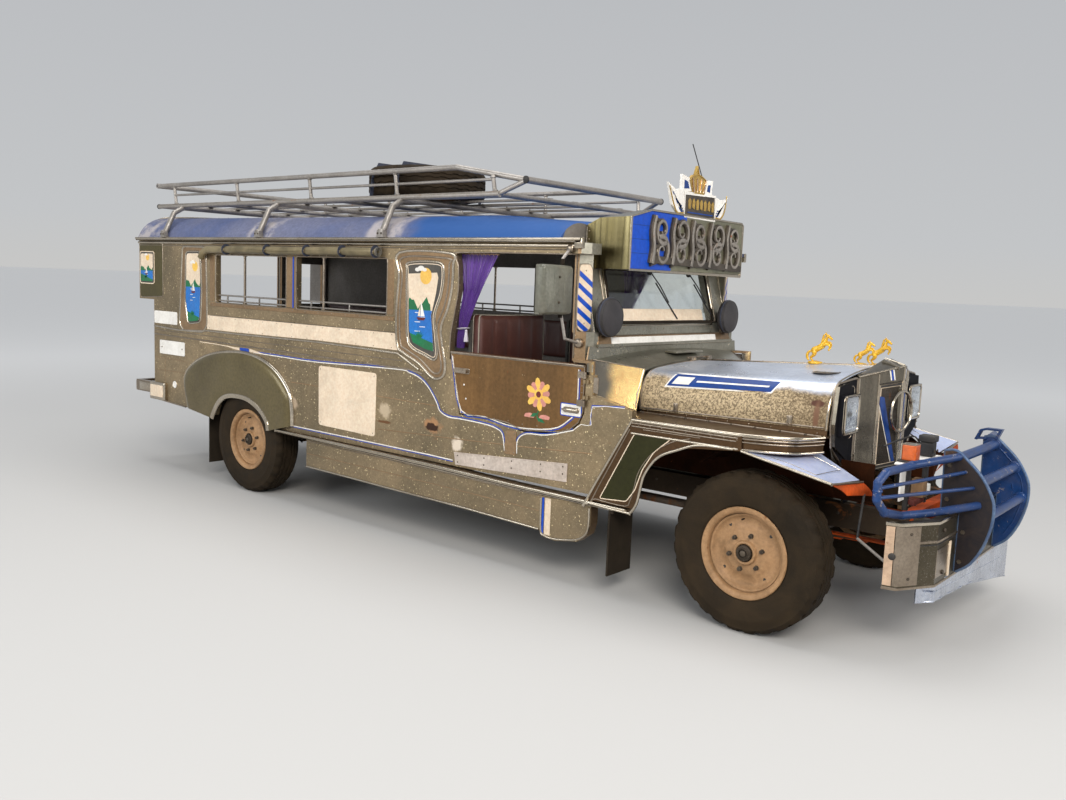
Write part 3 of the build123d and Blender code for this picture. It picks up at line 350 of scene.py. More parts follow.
MAT = {
    "body": coat("body_stainless", (0.345, 0.256, 0.150), (0.170, 0.134, 0.082), 0.72, (0.30, 0.48), 1.6, 60, 0.10, 0.3,
                 dust=0.15, bump=0.15, dents=0.22, extra=side_marks),
    "door": coat("door_stainless", (0.195, 0.105, 0.040), (0.130, 0.072, 0.030), 0.62, (0.34, 0.52), 1.8, 60, 0.12, 0.3,
                 grime_color=(0.10, 0.06, 0.03), dust=0.05, bump=0.15, dents=0.25, streak=14, extra=door_marks),
    "plain_steel": coat("plain_stainless", (0.36, 0.235, 0.130), (0.24, 0.155, 0.085), 0.82, (0.24, 0.42), 2.5, 70, 0.08, 0.3,
                        dust=0.15, dents=0.12),
    "chrome": coat("bright_trim", (0.54, 0.48, 0.39), (0.42, 0.36, 0.28), 1.0, (0.10, 0.26), 3.0, 80, 0.0, 0.2,
                   grime_color=(0.16, 0.12, 0.075), bump=0.06),
    "worn_chrome": coat("worn_trim", (0.36, 0.30, 0.235), (0.235, 0.19, 0.145), 0.95, (0.18, 0.38), 4.0, 80, 0.15, 0.3,
                        grime_color=(0.10, 0.07, 0.045), dust=0.08, bump=0.15),
    # sign steel: dark base with painted reflection bands
    "sign_steel": coat("sign_steel", (0.085, 0.066, 0.024), (0.050, 0.039, 0.014), 0.95, (0.13, 0.26), 1.2, 50, 0.0, 0.1,
                       grime_color=(0.06, 0.05, 0.025), bump=0.05, dents=0.1, extra=sign_painted_reflection_bands),
    "olive": coat("olive_paint", (0.016, 0.016, 0.003), (0.025, 0.024, 0.006), 0.0, (0.4, 0.56), 2.0, 60, 0.0, 0.1,
                  grime_color=(0.035, 0.03, 0.015), bump=0.05, spec=0.15),
    "tail_olive": coat("tail_olive_paint", (0.070, 0.057, 0.016), (0.050, 0.041, 0.012), 0.2, (0.3, 0.45), 2.0, 60, 0.05, 0.2,
                       grime_color=(0.10, 0.075, 0.04), bump=0.08, clear=0.1),
    "rear_fender": coat("rear_fender_paint", (0.125, 0.098, 0.042), (0.085, 0.066, 0.028), 0.4, (0.22, 0.4), 2.0, 60, 0.05,
                        0.2, dust=0.1, bump=0.06, clear=0.2, dents=0.1),
    # wing tops: steel with a painted sky reflection, a blue cast on the faces that look up
    "steel_blue": coat("blue_tinted_steel", (0.66, 0.74, 1.0), (0.48, 0.54, 0.78), 0.5, (0.24, 0.4), 2.6, 70, 0.04, 0.15,
                       bump=0.08, dents=0.2, scratches=0.35),
    "fender_steel": coat("fender_steel", (0.105, 0.060, 0.030), (0.070, 0.040, 0.021), 0.8, (0.22, 0.38), 2.2, 70, 0.06, 0.2,
                         grime_color=(0.07, 0.045, 0.025), dust=0.04, bump=0.1, dents=0.15, extra=specks(60, 0.2, 0.28, (0.50, 0.36, 0.19))),
    "roof": coat("roof_paint", (0.066, 0.090, 0.190), (0.140, 0.148, 0.215), 0.1, (0.5, 0.7), 1.3, 50, 0.08, 0.25,
                 grime_color=(0.14, 0.13, 0.16), bump=0.12, dents=0.3, extra=roof_patches, spec=0.08),
    # hood: the blue-grey base colour is a painted sky reflection on the top; the flanks are reworked below the shoulder
    "hood": coat("hood_metal", (0.68, 0.73, 0.84), (0.54, 0.58, 0.67), 0.75, (0.2, 0.36), 2.0, 60, 0.05, 0.2, bump=0.1,
                 dents=0.12, extra=hood_sky_top_and_blotches),
    "cowl": coat("cowl_steel", (0.245, 0.235, 0.190), (0.330, 0.310, 0.250), 0.8, (0.2, 0.36), 2.0, 60, 0.06, 0.25, bump=0.1, dents=0.1),
    "gold_steel": coat("golden_steel", (0.84, 0.58, 0.25), (0.60, 0.38, 0.15), 0.95, (0.16, 0.3), 3.0, 60, 0.05, 0.15, bump=0.1,
                       extra=gold_fade),
    "grille": coat("grille_dark", (0.020, 0.020, 0.022), (0.040, 0.038, 0.038), 0.4, (0.3, 0.5), 3.0, 80, 0.05, 0.3, bump=0.15),
    # lamp panels: near-black, a painted dark reflection standing in for polished steel
    "lamp_panel": coat("lamp_panel_paint", (0.005, 0.005, 0.007), (0.009, 0.009, 0.011), 0.0, (0.5, 0.7), 3.0, 80, 0.0, 0.2,
                       grime_color=(0.02, 0.017, 0.014), bump=0.08, spec=0.05),
    "column": coat("column_steel", (0.205, 0.180, 0.140), (0.120, 0.105, 0.082), 0.9, (0.16, 0.3), 2.5, 60, 0.05, 0.25, bump=0.08,
                   dents=0.25, streak=12),
    "frame": coat("chassis_paint", (0.020, 0.014, 0.010), (0.040, 0.026, 0.016), 0.0, (0.5, 0.75), 3.0, 60, 0.45, 0.4,
                  grime_color=(0.05, 0.035, 0.022), dust=0.08, bump=0.4, spec=0.1),
    "orange": coat("rust_primer", (0.66, 0.085, 0.004), (0.13, 0.025, 0.005), 0.0, (0.55, 0.8), 3.6, 50, 0.2, 0.5,
                   grime_color=(0.02, 0.008, 0.004), bump=0.4),
    "grease": coat("greasy_iron", (0.022, 0.017, 0.013), (0.050, 0.038, 0.028), 0.3, (0.4, 0.68), 8.0, 60, 0.25, 0.4,
                   grime_color=(0.05, 0.035, 0.022), dust=0.06, bump=0.5, spec=0.15),
    "rim": coat("rim_paint", (0.375, 0.220, 0.110), (0.27, 0.155, 0.075), 0.0, (0.35, 0.6), 6.0, 60, 0.25, 0.5,
                grime_color=(0.08, 0.045, 0.02), bump=0.2),
    "nut": coat("wheel_nut_iron", (0.055, 0.045, 0.036), (0.10, 0.08, 0.06), 0.5, (0.4, 0.65), 20, 90, 0.35, 0.4, bump=0.3),
    "blue_bar": coat("guard_paint", (0.008, 0.042, 0.155), (0.006, 0.026, 0.095), 0.1, (0.26, 0.45), 3.0, 70, 0.10, 0.25,
                     bump=0.15, clear=0.1, extra=guard_wear),
    "bumper": coat("bumper_metal", (0.052, 0.043, 0.028), (0.080, 0.068, 0.046), 0.7, (0.24, 0.46), 3.0, 60, 0.12, 0.25,
                   grime_color=(0.06, 0.045, 0.03), dust=0.04, bump=0.15, dents=0.3, scratches=0.2),
    "guard_edge": coat("guard_edge_worn", (0.10, 0.16, 0.26), (0.05, 0.085, 0.17), 0.2, (0.3, 0.5), 9.0, 90, 0.25, 0.25, bump=0.2),
    # wheel arches: near-black, a painted shade over the rust-orange inner wings
    "arch": coat("wheel_arch_underseal", (0.012, 0.004, 0.0015), (0.040, 0.011, 0.003), 0.0, (0.6, 0.85), 4.0, 60, 0.1, 0.35,
                 grime_color=(0.010, 0.006, 0.003), bump=0.4, spec=0.06),
    "peach": coat("peach_paint", (0.56, 0.39, 0.27), (0.45, 0.31, 0.21), 0.1, (0.4, 0.6), 8, 60, 0.25, 0.4, bump=0.25),
    "tin": coat("torn_tin", (0.60, 0.65, 0.76), (0.42, 0.45, 0.52), 0.95, (0.14, 0.32), 6.0, 60, 0.10, 0.3, bump=0.2, dents=0.9),
    "cream": coat("cream_board_paint", (0.74, 0.60, 0.45), (0.66, 0.53, 0.39), 0.0, (0.35, 0.55), 3.0, 60, 0.06, 0.22,
                  dust=0.08, bump=0.06),
    "white": coat("white_paint", (0.78, 0.75, 0.70), (0.70, 0.67, 0.62), 0.0, (0.35, 0.55), 4.0, 60, 0.05, 0.22, bump=0.06),
    "blue": coat("sign_blue_paint", (0.0015, 0.062, 0.44), (0.0015, 0.048, 0.36), 0.0, (0.3, 0.46), 2.5, 60, 0.0, 0.1, bump=0.05,
                 clear=0.1),
    "navy": coat("navy_paint", (0.004, 0.030, 0.15), (0.006, 0.042, 0.20), 0.0, (0.3, 0.5), 3.0, 60, 0.0, 0.15, bump=0.05, clear=0.1),
    "pale": coat("sign_pale_paint", (0.235, 0.225, 0.150), (0.150, 0.145, 0.100), 0.6, (0.22, 0.4), 2.5, 60, 0.0, 0.2, bump=0.05,
                 clear=0.1),
    "relief": coat("relief_dark", (0.040, 0.034, 0.028), (0.11, 0.09, 0.07), 0.6, (0.22, 0.45), 5.0, 60, 0.05, 0.3, bump=0.2),
    "gold": coat("gold_paint", (0.46, 0.31, 0.085), (0.34, 0.21, 0.05), 0.45, (0.3, 0.5), 8.0, 90, 0.05, 0.3, bump=0.15),
    "horse": coat("horse_gilt", (0.74, 0.43, 0.022), (0.58, 0.32, 0.02), 0.25, (0.24, 0.42), 12, 90, 0.0, 0.3,
                  grime_color=(0.25, 0.13, 0.02), bump=0.1, clear=0.4),
    "green": coat("leaf_green_paint", (0.010, 0.16, 0.060), (0.016, 0.11, 0.045), 0.0, (0.3, 0.5), 6, 60, 0.0, 0.15, bump=0.05),
    "sea": coat("sea_blue_paint", (0.015, 0.16, 0.48), (0.02, 0.12, 0.40), 0.0, (0.3, 0.5), 6, 60, 0.0, 0.15, bump=0.05),
    "sun": coat("warm_yellow_paint", (0.80, 0.50, 0.10), (0.70, 0.40, 0.08), 0.0, (0.3, 0.5), 6, 60, 0.0, 0.15, bump=0.05),
    "pink": coat("faded_pink_paint", (0.58, 0.25, 0.20), (0.50, 0.21, 0.17), 0.0, (0.3, 0.5), 6, 60, 0.0, 0.2, bump=0.05),
    "grey_panel": coat("dark_grey_paint", (0.055, 0.052, 0.048), (0.085, 0.08, 0.07), 0.2, (0.25, 0.45), 4, 60, 0.0, 0.25, bump=0.06),
    "mirror_back": coat("mirror_back_paint", (0.115, 0.115, 0.092), (0.155, 0.152, 0.122), 0.2, (0.28, 0.46), 4, 60, 0.06, 0.3,
                        bump=0.08, clear=0.1, streak=10),
    "lamp_cover": coat("lamp_cover_vinyl", (0.028, 0.026, 0.028), (0.046, 0.042, 0.044), 0.0, (0.45, 0.62), 8, 180, 0.0, 0.2,
                       grime_color=(0.06, 0.05, 0.045), bump=0.3),
    "rubber": coat("rubber", (0.012, 0.009, 0.006), (0.022, 0.016, 0.011), 0.0, (0.6, 0.8), 6, 120, 0.0, 0.25,
                   grime_color=(0.035, 0.025, 0.016), dust=0.04, bump=0.3, spec=0.1),
    "black": coat("black_plastic", (0.018, 0.018, 0.019), (0.032, 0.032, 0.034), 0.0, (0.32, 0.55), 6, 120, 0.0, 0.3, bump=0.15),
    "tube": coat("rack_tube", (0.255, 0.235, 0.215), (0.36, 0.33, 0.30), 0.7, (0.28, 0.5), 3.0, 70, 0.20, 0.35, bump=0.2),
    "slat": coat("rack_slat", (0.30, 0.27, 0.235), (0.20, 0.18, 0.16), 0.5, (0.4, 0.6), 3.0, 70, 0.35, 0.4, bump=0.25),
    "floor": coat("floor_steel", (0.19, 0.18, 0.165), (0.26, 0.245, 0.22), 0.6, (0.35, 0.6), 3.0, 70, 0.25, 0.45, bump=0.3),
    "inner": coat("inner_lining", (0.17, 0.155, 0.14), (0.24, 0.22, 0.20), 0.3, (0.4, 0.6), 2.0, 60, 0.08, 0.3, bump=0.1),
    "engine": coat("engine_iron", (0.075, 0.085, 0.075), (0.12, 0.115, 0.10), 0.3, (0.4, 0.7), 5.0, 60, 0.3, 0.5, bump=0.4),
    "exhaust": coat("exhaust_steel", (0.16, 0.12, 0.09), (0.10, 0.07, 0.05), 0.5, (0.5, 0.75), 5.0, 60, 0.6, 0.4, bump=0.4),
    "tank": coat("tank_paint", (0.06, 0.06, 0.058), (0.10, 0.095, 0.085), 0.3, (0.35, 0.6), 3.0, 60, 0.2, 0.4, dust=0.4, bump=0.2),
    "seat_frame": coat("seat_frame_paint", (0.10, 0.10, 0.095), (0.15, 0.145, 0.13), 0.3, (0.35, 0.55), 4, 70, 0.2, 0.3, bump=0.2),
    "wood": coat("wood_block", (0.30, 0.175, 0.085), (0.21, 0.12, 0.06), 0.0, (0.5, 0.7), 10, 60, 0.0, 0.35, bump=0.4, streak=60),
    "maroon": coat("maroon_paint", (0.14, 0.022, 0.018), (0.09, 0.018, 0.015), 0.0, (0.3, 0.5), 8, 60, 0.1, 0.3, bump=0.15),
    "step": coat("step_plate", (0.58, 0.50, 0.44), (0.47, 0.39, 0.33), 0.25, (0.4, 0.6), 5, 60, 0.28, 0.35, bump=0.2, dents=0.2),
    "brass": coat("copper_trim", (0.56, 0.34, 0.20), (0.68, 0.55, 0.42), 0.95, (0.16, 0.3), 5, 70, 0.08, 0.2, bump=0.08),
}


def glass(name, tint, rough=0.03, alpha_dirt=0.1):
    p = Paint(name)
    dirt = p.ramp(p.noise(9, 6, 0.7, 0.5), [(0.45, 0.0), (0.75, 1.0)])
    p.set(Base_Color=p.mix(p.math("MULTIPLY", dirt, alpha_dirt), tint, (0.55, 0.52, 0.45)),
          Roughness=p.math("ADD", p.math("MULTIPLY", dirt, 0.22), rough), IOR=1.45, Transmission_Weight=1.0)
    p.bump(p.noise(30, 3), 0.02, 0.001)
    return p.m


MAT["windscreen"] = glass("windscreen_glass", (0.86, 0.92, 0.90), 0.02, 0.25)
MAT["lens"] = glass("lamp_lens", (0.93, 0.95, 0.96), 0.03, 0.25)
MAT["amber"] = coat("amber_lens", (0.62, 0.12, 0.018), (0.50, 0.09, 0.015), 0.0, (0.2, 0.35), 9, 60, 0.0, 0.25, bump=0.1, clear=0.6)
MAT["red_lens"] = coat("red_lens", (0.42, 0.015, 0.012), (0.34, 0.012, 0.01), 0.0, (0.14, 0.3), 9, 60, 0.0, 0.2, bump=0.1, clear=0.7)
MAT["reflector"] = coat("lamp_reflector", (0.84, 0.88, 0.95), (0.72, 0.77, 0.86), 0.55, (0.12, 0.28), 9, 60, 0.0, 0.15, bump=0.05)


def tyre_paint():
    p = Paint("tyre_rubber")
    n = p.noise(5, 5, 0.65, 0.5)
    dusty = p.ramp(n, [(0.35, 0.15), (0.68, 0.95)])
    col = p.mix(dusty, (0.013, 0.0095, 0.006), (0.034, 0.023, 0.013))
    d, _ = p.cells(160)
    col = p.mix(p.math("MULTIPLY", p.step(d, 0.25, 0.1), 0.3), col, (0.07, 0.05, 0.03))
    p.set(Base_Color=col, Roughness=p.ramp(n, [(0.3, 0.62), (0.7, 0.9)]), Metallic=0.0, Specular_IOR_Level=0.1)
    a = p.bump(p.noise(220, 3, 0.6), 0.35, 0.0008)
    p.bump(p.noise(12, 4, 0.6), 0.2, 0.003, after=a)
    return p.m


MAT["tyre"] = tyre_paint()


def vinyl(name, c1, c2, rough=0.42):
    p = Paint(name)
    d, _ = p.cells(420)
    n = p.noise(5, 5, 0.6, 0.3)
    col = p.mix(p.ramp(n, [(0.35, 0.0), (0.7, 1.0)]), c1, c2)
    col = p.mix(p.math("MULTIPLY", p.step(d, 0.55, 0.7), 0.35), col, (c1[0] * 0.4, c1[1] * 0.4, c1[2] * 0.4))
    p.set(Base_Color=col, Roughness=p.ramp(p.noise(11, 4), [(0.3, rough - 0.08), (0.7, rough + 0.16)]),
          Coat_Weight=0.12, Coat_Roughness=0.3)
    a = p.bump(d, 0.25, 0.0006)
    p.bump(p.noise(18, 3), 0.18, 0.003, after=a)
    return p.m


def cloth(name, c1, c2, sheen=0.5, rough=0.55, weave=700.0, satin=0.0, gold=0.0):
    p = Paint(name)
    w1 = p.t.nodes.new("ShaderNodeTexWave")
    p.t.links.new(p.stretch(1, 1, 1), w1.inputs["Vector"])
    w1.bands_direction = "X"
    w1.inputs["Scale"].default_value = weave / 6
    w2 = p.t.nodes.new("ShaderNodeTexWave")
    p.t.links.new(p.stretch(1, 1, 1), w2.inputs["Vector"])
    w2.bands_direction = "Z"
    w2.inputs["Scale"].default_value = weave / 6
    weave_h = p.math("ADD", w1.outputs["Fac"], w2.outputs["Fac"])
    n = p.noise(6, 5, 0.6, 0.4)
    col = p.mix(p.ramp(n, [(0.32, 0.0), (0.7, 1.0)]), c1, c2)
    col = p.mix(0.25, col, p.ramp(weave_h, [(0.2, 0.35), (0.9, 0.75)]), "OVERLAY")
    p.set(Base_Color=col, Roughness=p.ramp(p.noise(25, 4), [(0.3, rough - 0.08), (0.7, rough + 0.1)]),
          Metallic=gold, Sheen_Weight=sheen, Sheen_Roughness=0.4)
    a = p.bump(weave_h, 0.25, 0.0004)
    p.bump(p.noise(16, 4, 0.6), 0.25, 0.003, after=a)
    return p.m


MAT["vinyl"] = vinyl("seat_vinyl", (0.085, 0.030, 0.024), (0.12, 0.045, 0.034))
MAT["piping"] = vinyl("seat_piping", (0.36, 0.32, 0.26), (0.30, 0.26, 0.21), 0.45)
MAT["satin"] = cloth("purple_satin", (0.105, 0.035, 0.26), (0.055, 0.018, 0.15), 0.6, 0.34)
MAT["tassel"] = cloth("silver_fringe", (0.60, 0.57, 0.60), (0.42, 0.39, 0.44), 0.4, 0.4)
MAT["canvas"] = cloth("rolled_canvas", (0.095, 0.075, 0.035), (0.24, 0.19, 0.10), 0.1, 0.36, 500, gold=0.35)
MAT["canvas_end"] = cloth("canvas_grey_end", (0.36, 0.355, 0.33), (0.26, 0.25, 0.235), 0.1, 0.4, 500, gold=0.35)
MAT["strap"] = cloth("strap_webbing", (0.018, 0.024, 0.045), (0.03, 0.036, 0.06), 0.3, 0.6, 900)


# ---------------------------------------------------------------------------
# Mesh building
# ---------------------------------------------------------------------------
def rounded(points, r, n=4):
    """Closed outline with its corners rounded by r."""
    out, k = [], len(points)
    for i in range(k):
        a, b, c = Vector(points[i - 1]), Vector(points[i]), Vector(points[(i + 1) % k])
        u, w = (a - b), (c - b)
        rr = min(r, u.length * 0.48, w.length * 0.48)
        u, w = b + u.normalized() * rr, b + w.normalized() * rr
        for j in range(n + 1):
            t = j / n
            out.append(tuple(u * (1 - t) ** 2 + b * 2 * t * (1 - t) + w * t * t))
    return out


def curve(points, n=6, closed=False):
    """Smooth line through the points (Catmull-Rom)."""
    pts = [Vector(p) for p in points]
    if closed:
        pts = [pts[-1]] + pts + pts[:2]
    else:
        pts = [pts[0] * 2 - pts[1]] + pts + [pts[-1] * 2 - pts[-2]]
    out = []
    for i in range(1, len(pts) - 2):
        p0, p1, p2, p3 = pts[i - 1:i + 3]
        for j in range(n):
            t = j / n
            out.append(tuple(0.5 * ((2 * p1) + (p2 - p0) * t + (2 * p0 - 5 * p1 + 4 * p2 - p3) * t * t
                                    + (3 * p1 - p0 - 3 * p2 + p3) * t ** 3)))
    if not closed:
        out.append(tuple(pts[-2]))
    return out


def inset(points, d):
    """Closed 2-D outline moved inwards by d."""
    k, out = len(points), []
    area = sum(points[i][0] * points[(i + 1) % k][1] - points[(i + 1) % k][0] * points[i][1] for i in range(k))
    sgn = 1 if area > 0 else -1
    for i in range(k):
        a, b, c = Vector(points[i - 1]), Vector(points[i]), Vector(points[(i + 1) % k])
        u, w = (b - a), (c - b)
        u = u.normalized() if u.length > 1e-6 else w.normalized()
        w = w.normalized() if w.length > 1e-6 else u
        n = Vector((-(u.y + w.y), u.x + w.x))
        n = n.normalized() if n.length > 1e-6 else Vector((-u.y, u.x))
        c2 = max(0.45, n.dot(Vector((-u.y, u.x))))
        out.append(tuple(b + n * sgn * d / c2))
    return out


class Piece:
    """Collects shapes in millimetres, then becomes one mesh object on a body."""

    def __init__(self, name, body="root", slot=None):
        self.name, self.body, self.slot = name, body, slot
        self.v, self.f, self.mi, self.mats = [], [], [], []

    def add(self, verts, faces, mat):
        mat = MAT[mat]
        if mat not in self.mats:
            self.mats.append(mat)
        i, k = self.mats.index(mat), len(self.v)
        self.v.extend(tuple(p) for p in verts)
        self.f.extend(tuple(k + j for j in f) for f in faces)
        self.mi.extend([i] * len(faces))

    def sweep(self, path, section, mat, closed=False, up=None, caps=True):
        """Section points (u, w) carried along the path; w points along up where it is given."""
        pts = [Vector(p) for p in path]
        n = len(pts)
        tang = []
        for i in range(n):
            a = pts[i - 1] if (i or closed) else pts[0]
            b = pts[(i + 1) % n] if (i < n - 1 or closed) else pts[-1]
            tang.append((b - a).normalized())
        if up is None:
            t = tang[0]
            ref = Vector((0, 0, 1)) if abs(t.z) < 0.9 else Vector((1, 0, 0))
            side = t.cross(ref).normalized()
        verts, ups = [], Vector(up) if up is not None else None
        for i, (p, t) in enumerate(zip(pts, tang)):
            if ups is None:
                side = (side - t * side.dot(t)).normalized()
                w = side.cross(t)
                u = side
                stretch = 1.0
            else:
                w = ups
                u = t.cross(w).normalized()
                stretch = 1.0
                if 0 < i < n - 1 or closed:
                    e = (pts[(i + 1) % n] - p).normalized()
                    stretch = 1 / max(0.6, e.cross(w).normalized().dot(u))
            for a, b in section:
                verts.append(p + u * a * stretch + w * b)
        m, faces = len(section), []
        for i in range(n if closed else n - 1):
            j = (i + 1) % n
            for k in range(m):
                l = (k + 1) % m
                faces.append((i * m + k, i * m + l, j * m + l, j * m + k))
        if caps and not closed:
            faces.append(tuple(range(m - 1, -1, -1)))
            faces.append(tuple((n - 1) * m + k for k in range(m)))
        self.add(verts, faces, mat)

    def tube(self, path, r, mat, seg=10, closed=False):
        self.sweep(path, [(r * math.cos(2 * math.pi * k / seg), r * math.sin(2 * math.pi * k / seg)) for k in range(seg)],
                   mat, closed)

    def taper(self, path, radii, mat, seg=10, squash=1.0):
        """Limb: ellipses along a path, closed with rounded ends."""
        pts = [Vector(p) for p in path]
        n, verts, side = len(pts), [], None
        for i, p in enumerate(pts):
            t = (pts[min(i + 1, n - 1)] - pts[max(i - 1, 0)]).normalized()
            if side is None:
                ref = Vector((0, 1, 0)) if abs(t.y) < 0.9 else Vector((1, 0, 0))
                side = ref
            side = (side - t * side.dot(t)).normalized()
            w = side.cross(t)
            for k in range(seg):
                a = 2 * math.pi * k / seg
                verts.append(p + side * radii[i] * squash * math.cos(a) + w * radii[i] * math.sin(a))
        faces = [(i * seg + k, i * seg + (k + 1) % seg, (i + 1) * seg + (k + 1) % seg, (i + 1) * seg + k)
                 for i in range(n - 1) for k in range(seg)]
        faces += [tuple(range(seg - 1, -1, -1)), tuple((n - 1) * seg + k for k in range(seg))]
        self.add(verts, faces, mat)

    def bead(self, path, w, h, up, mat, closed=False, seg=6, flat=False):
        """Half-round moulding, or flat strip, of width w and height h lying on a surface whose normal is up."""
        if flat:
            sec = [(-w / 2, -0.4), (w / 2, -0.4), (w / 2, h * 0.7), (w / 2 - min(h * 0.3, w * 0.2), h), (-w / 2 + min(h * 0.3, w * 0.2), h),
                   (-w / 2, h * 0.7)]
        else:
            sec = [(w / 2 * math.cos(math.pi * k / seg), h * math.sin(math.pi * k / seg) - 0.6) for k in range(seg + 1)]
        self.sweep(path, sec, mat, closed, up=up)

    def plate(self, outline, at, mat, axis=1, s=1, t=2.0, edge=0.0, back=None):
        """Flat panel with a chamfered rim. Outline in the two other axes; it rises from at to at + s * t."""
        def lift(pts, h):
            if axis == 1:
                return [(x, at + s * h, z) for x, z in pts]
            if axis == 0:
                return [(at + s * h, y, z) for y, z in pts]
            return [(x, y, at + s * h) for x, y in pts]
        k = len(outline)
        e = edge or min(t * 0.4, 1.5)
        rings = [lift(outline, -0.5 if back is None else back), lift(outline, t - e), lift(inset(outline, e), t)]
        verts = [p for r in rings for p in r]
        faces = []
        for i in range(2):
            for j in range(k):
                l = (j + 1) % k
                faces.append((i * k + j, i * k + l, (i + 1) * k + l, (i + 1) * k + j))
        faces.append(tuple(2 * k + j for j in range(k)))
        faces.append(tuple(range(k - 1, -1, -1)))
        self.add(verts, faces, mat)

    def block(self, x0, x1, y0, y1, z0, z1, mat, b=3.0, seg=2, turn=None):
        bm = bmesh.new()
        bmesh.ops.create_cube(bm, size=1.0)
        c = Vector(((x0 + x1) / 2, (y0 + y1) / 2, (z0 + z1) / 2))
        d = (abs(x1 - x0), abs(y1 - y0), abs(z1 - z0))
        for v in bm.verts:
            v.co = Vector((v.co.x * d[0], v.co.y * d[1], v.co.z * d[2]))
        b = min(b, min(d) * 0.45)
        bmesh.ops.bevel(bm, geom=list(bm.edges), offset=b, segments=seg, affect="EDGES", profile=0.6)
        bm.verts.ensure_lookup_table()
        for v in bm.verts:
            if turn is not None:
                v.co = turn @ v.co
            v.co += c
        idx = {v: i for i, v in enumerate(bm.verts)}
        self.add([v.co.copy() for v in bm.verts], [tuple(idx[v] for v in f.verts) for f in bm.faces], mat)
        bm.free()

    def lathe(self, profile, centre, axis, mat, seg=32, closed=False, ripple=None):
        """Profile (radius, along) turned about an axis through centre."""
        a = Vector(axis).normalized()
        ref = Vector((0, 0, 1)) if abs(a.z) < 0.9 else Vector((1, 0, 0))
        u = a.cross(ref).normalized()
        w = a.cross(u)
        c, verts, faces, m = Vector(centre), [], [], len(profile)
        for k in range(seg):
            ang = 2 * math.pi * k / seg
            d = u * math.cos(ang) + w * math.sin(ang)
            for j, (r, h) in enumerate(profile):
                if ripple:
                    r, h = ripple(k, j, r, h)
                verts.append(c + d * r + a * h)
        for k in range(seg):
            l = (k + 1) % seg
            for j in range(m if closed else m - 1):
                n = (j + 1) % m
                faces.append((k * m + j, l * m + j, l * m + n, k * m + n))
        if not closed:
            if profile[0][0] > 0.01:
                faces.append(tuple(k * m for k in range(seg)))
            if profile[-1][0] > 0.01:
                faces.append(tuple(k * m + m - 1 for k in range(seg - 1, -1, -1)))
        self.add(verts, faces, mat)

    def rivet(self, p, n, r=5.0, mat="worn_chrome", h=None):
        h = h or r * 0.55
        self.lathe([(r, -0.5), (r, h * 0.25), (r * 0.75, h * 0.75), (r * 0.35, h), (0.001, h)], p, n, mat, 8)

    def bolt(self, p, n, r=9.0, mat="nut", h=8.0):
        self.lathe([(r * 1.25, -1), (r * 1.25, 1.5), (r, 1.5), (r, h - 1.5), (r * 0.85, h), (0.001, h)], p, n, mat, 6)

    def grid(self, fn, nu, nv, mat, thick=0.0):
        """Sheet from fn(u, v), with a thickness along its normals if one is given."""
        pts = [[Vector(fn(i / nu, j / nv)) for j in range(nv + 1)] for i in range(nu + 1)]
        w = nv + 1
        faces = [(i * w + j, (i + 1) * w + j, (i + 1) * w + j + 1, i * w + j + 1) for i in range(nu) for j in range(nv)]
        flat = [p for r in pts for p in r]
        if thick:
            k, nrm = len(flat), []
            for i in range(nu + 1):
                for j in range(nv + 1):
                    du = pts[min(i + 1, nu)][j] - pts[max(i - 1, 0)][j]
                    dv = pts[i][min(j + 1, nv)] - pts[i][max(j - 1, 0)]
                    n = du.cross(dv)
                    nrm.append(n.normalized() if n.length > 1e-9 else Vector((0, 0, 1)))
            flat = flat + [p - n * thick for p, n in zip(flat, nrm)]
            faces += [tuple(k + i for i in reversed(f)) for f in faces]
            rim = [(i, 0) for i in range(nu)] + [(nu, j) for j in range(nv)] + [(i, nv) for i in range(nu, 0, -1)] + \
                  [(0, j) for j in range(nv, 0, -1)]
            for a, b in zip(rim, rim[1:] + rim[:1]):
                p, q = a[0] * w + a[1], b[0] * w + b[1]
                faces.append((p, k + p, k + q, q))
        self.add(flat, faces, mat)

    def done(self, angle=38.0, weld=False):
        me = bpy.data.meshes.new(self.name)
        me.from_pydata([P(p) for p in self.v], [], self.f)
        for m in self.mats:
            me.materials.append(m)
        me.polygons.foreach_set("material_index", self.mi)
        bm = bmesh.new()
        bm.from_mesh(me)
        if weld:
            bmesh.ops.remove_doubles(bm, verts=bm.verts, dist=1e-6)
        bmesh.ops.recalc_face_normals(bm, faces=bm.faces)
        bm.to_mesh(me)
        bm.free()
        me.shade_smooth()
        me.set_sharp_from_angle(angle=math.radians(angle))
        o = bpy.data.objects.new(self.name, me)
        bpy.context.scene.collection.objects.link(o)
        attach(o, self.body)
        return o


def mm(c):
    return c.x * 1000 - FRONT_AXLE, c.y * 1000, c.z * 1000


def dress(node, mat, rules=()):
    """A CAD node keeps its shape; faces take the finish of the first rule that fits them."""
    o = NODES[node]
    me = o.data
    me.materials.clear()
    names = [mat] + [r[0] for r in rules]
    for n in names:
        me.materials.append(MAT[n])
    rot = o.matrix_world.to_3x3()
    for p in me.polygons:
        p.material_index = 0
        if rules:
            x, y, z = mm(o.matrix_world @ p.center)
            n = rot @ p.normal
            for i, (_, test) in enumerate(rules):
                if test(x, y, z, n):
                    p.material_index = i + 1
                    break


def clip(poly, a, b, c):
    """Part of a 2-D outline where a * u + b * v <= c."""
    out = []
    for i, p in enumerate(poly):
        q = poly[(i + 1) % len(poly)]
        dp, dq = a * p[0] + b * p[1] - c, a * q[0] + b * q[1] - c
        if dp <= 0:
            out.append(p)
        if dp * dq < 0:
            t = dp / (dp - dq)
            out.append((p[0] + (q[0] - p[0]) * t, p[1] + (q[1] - p[1]) * t))
    return out


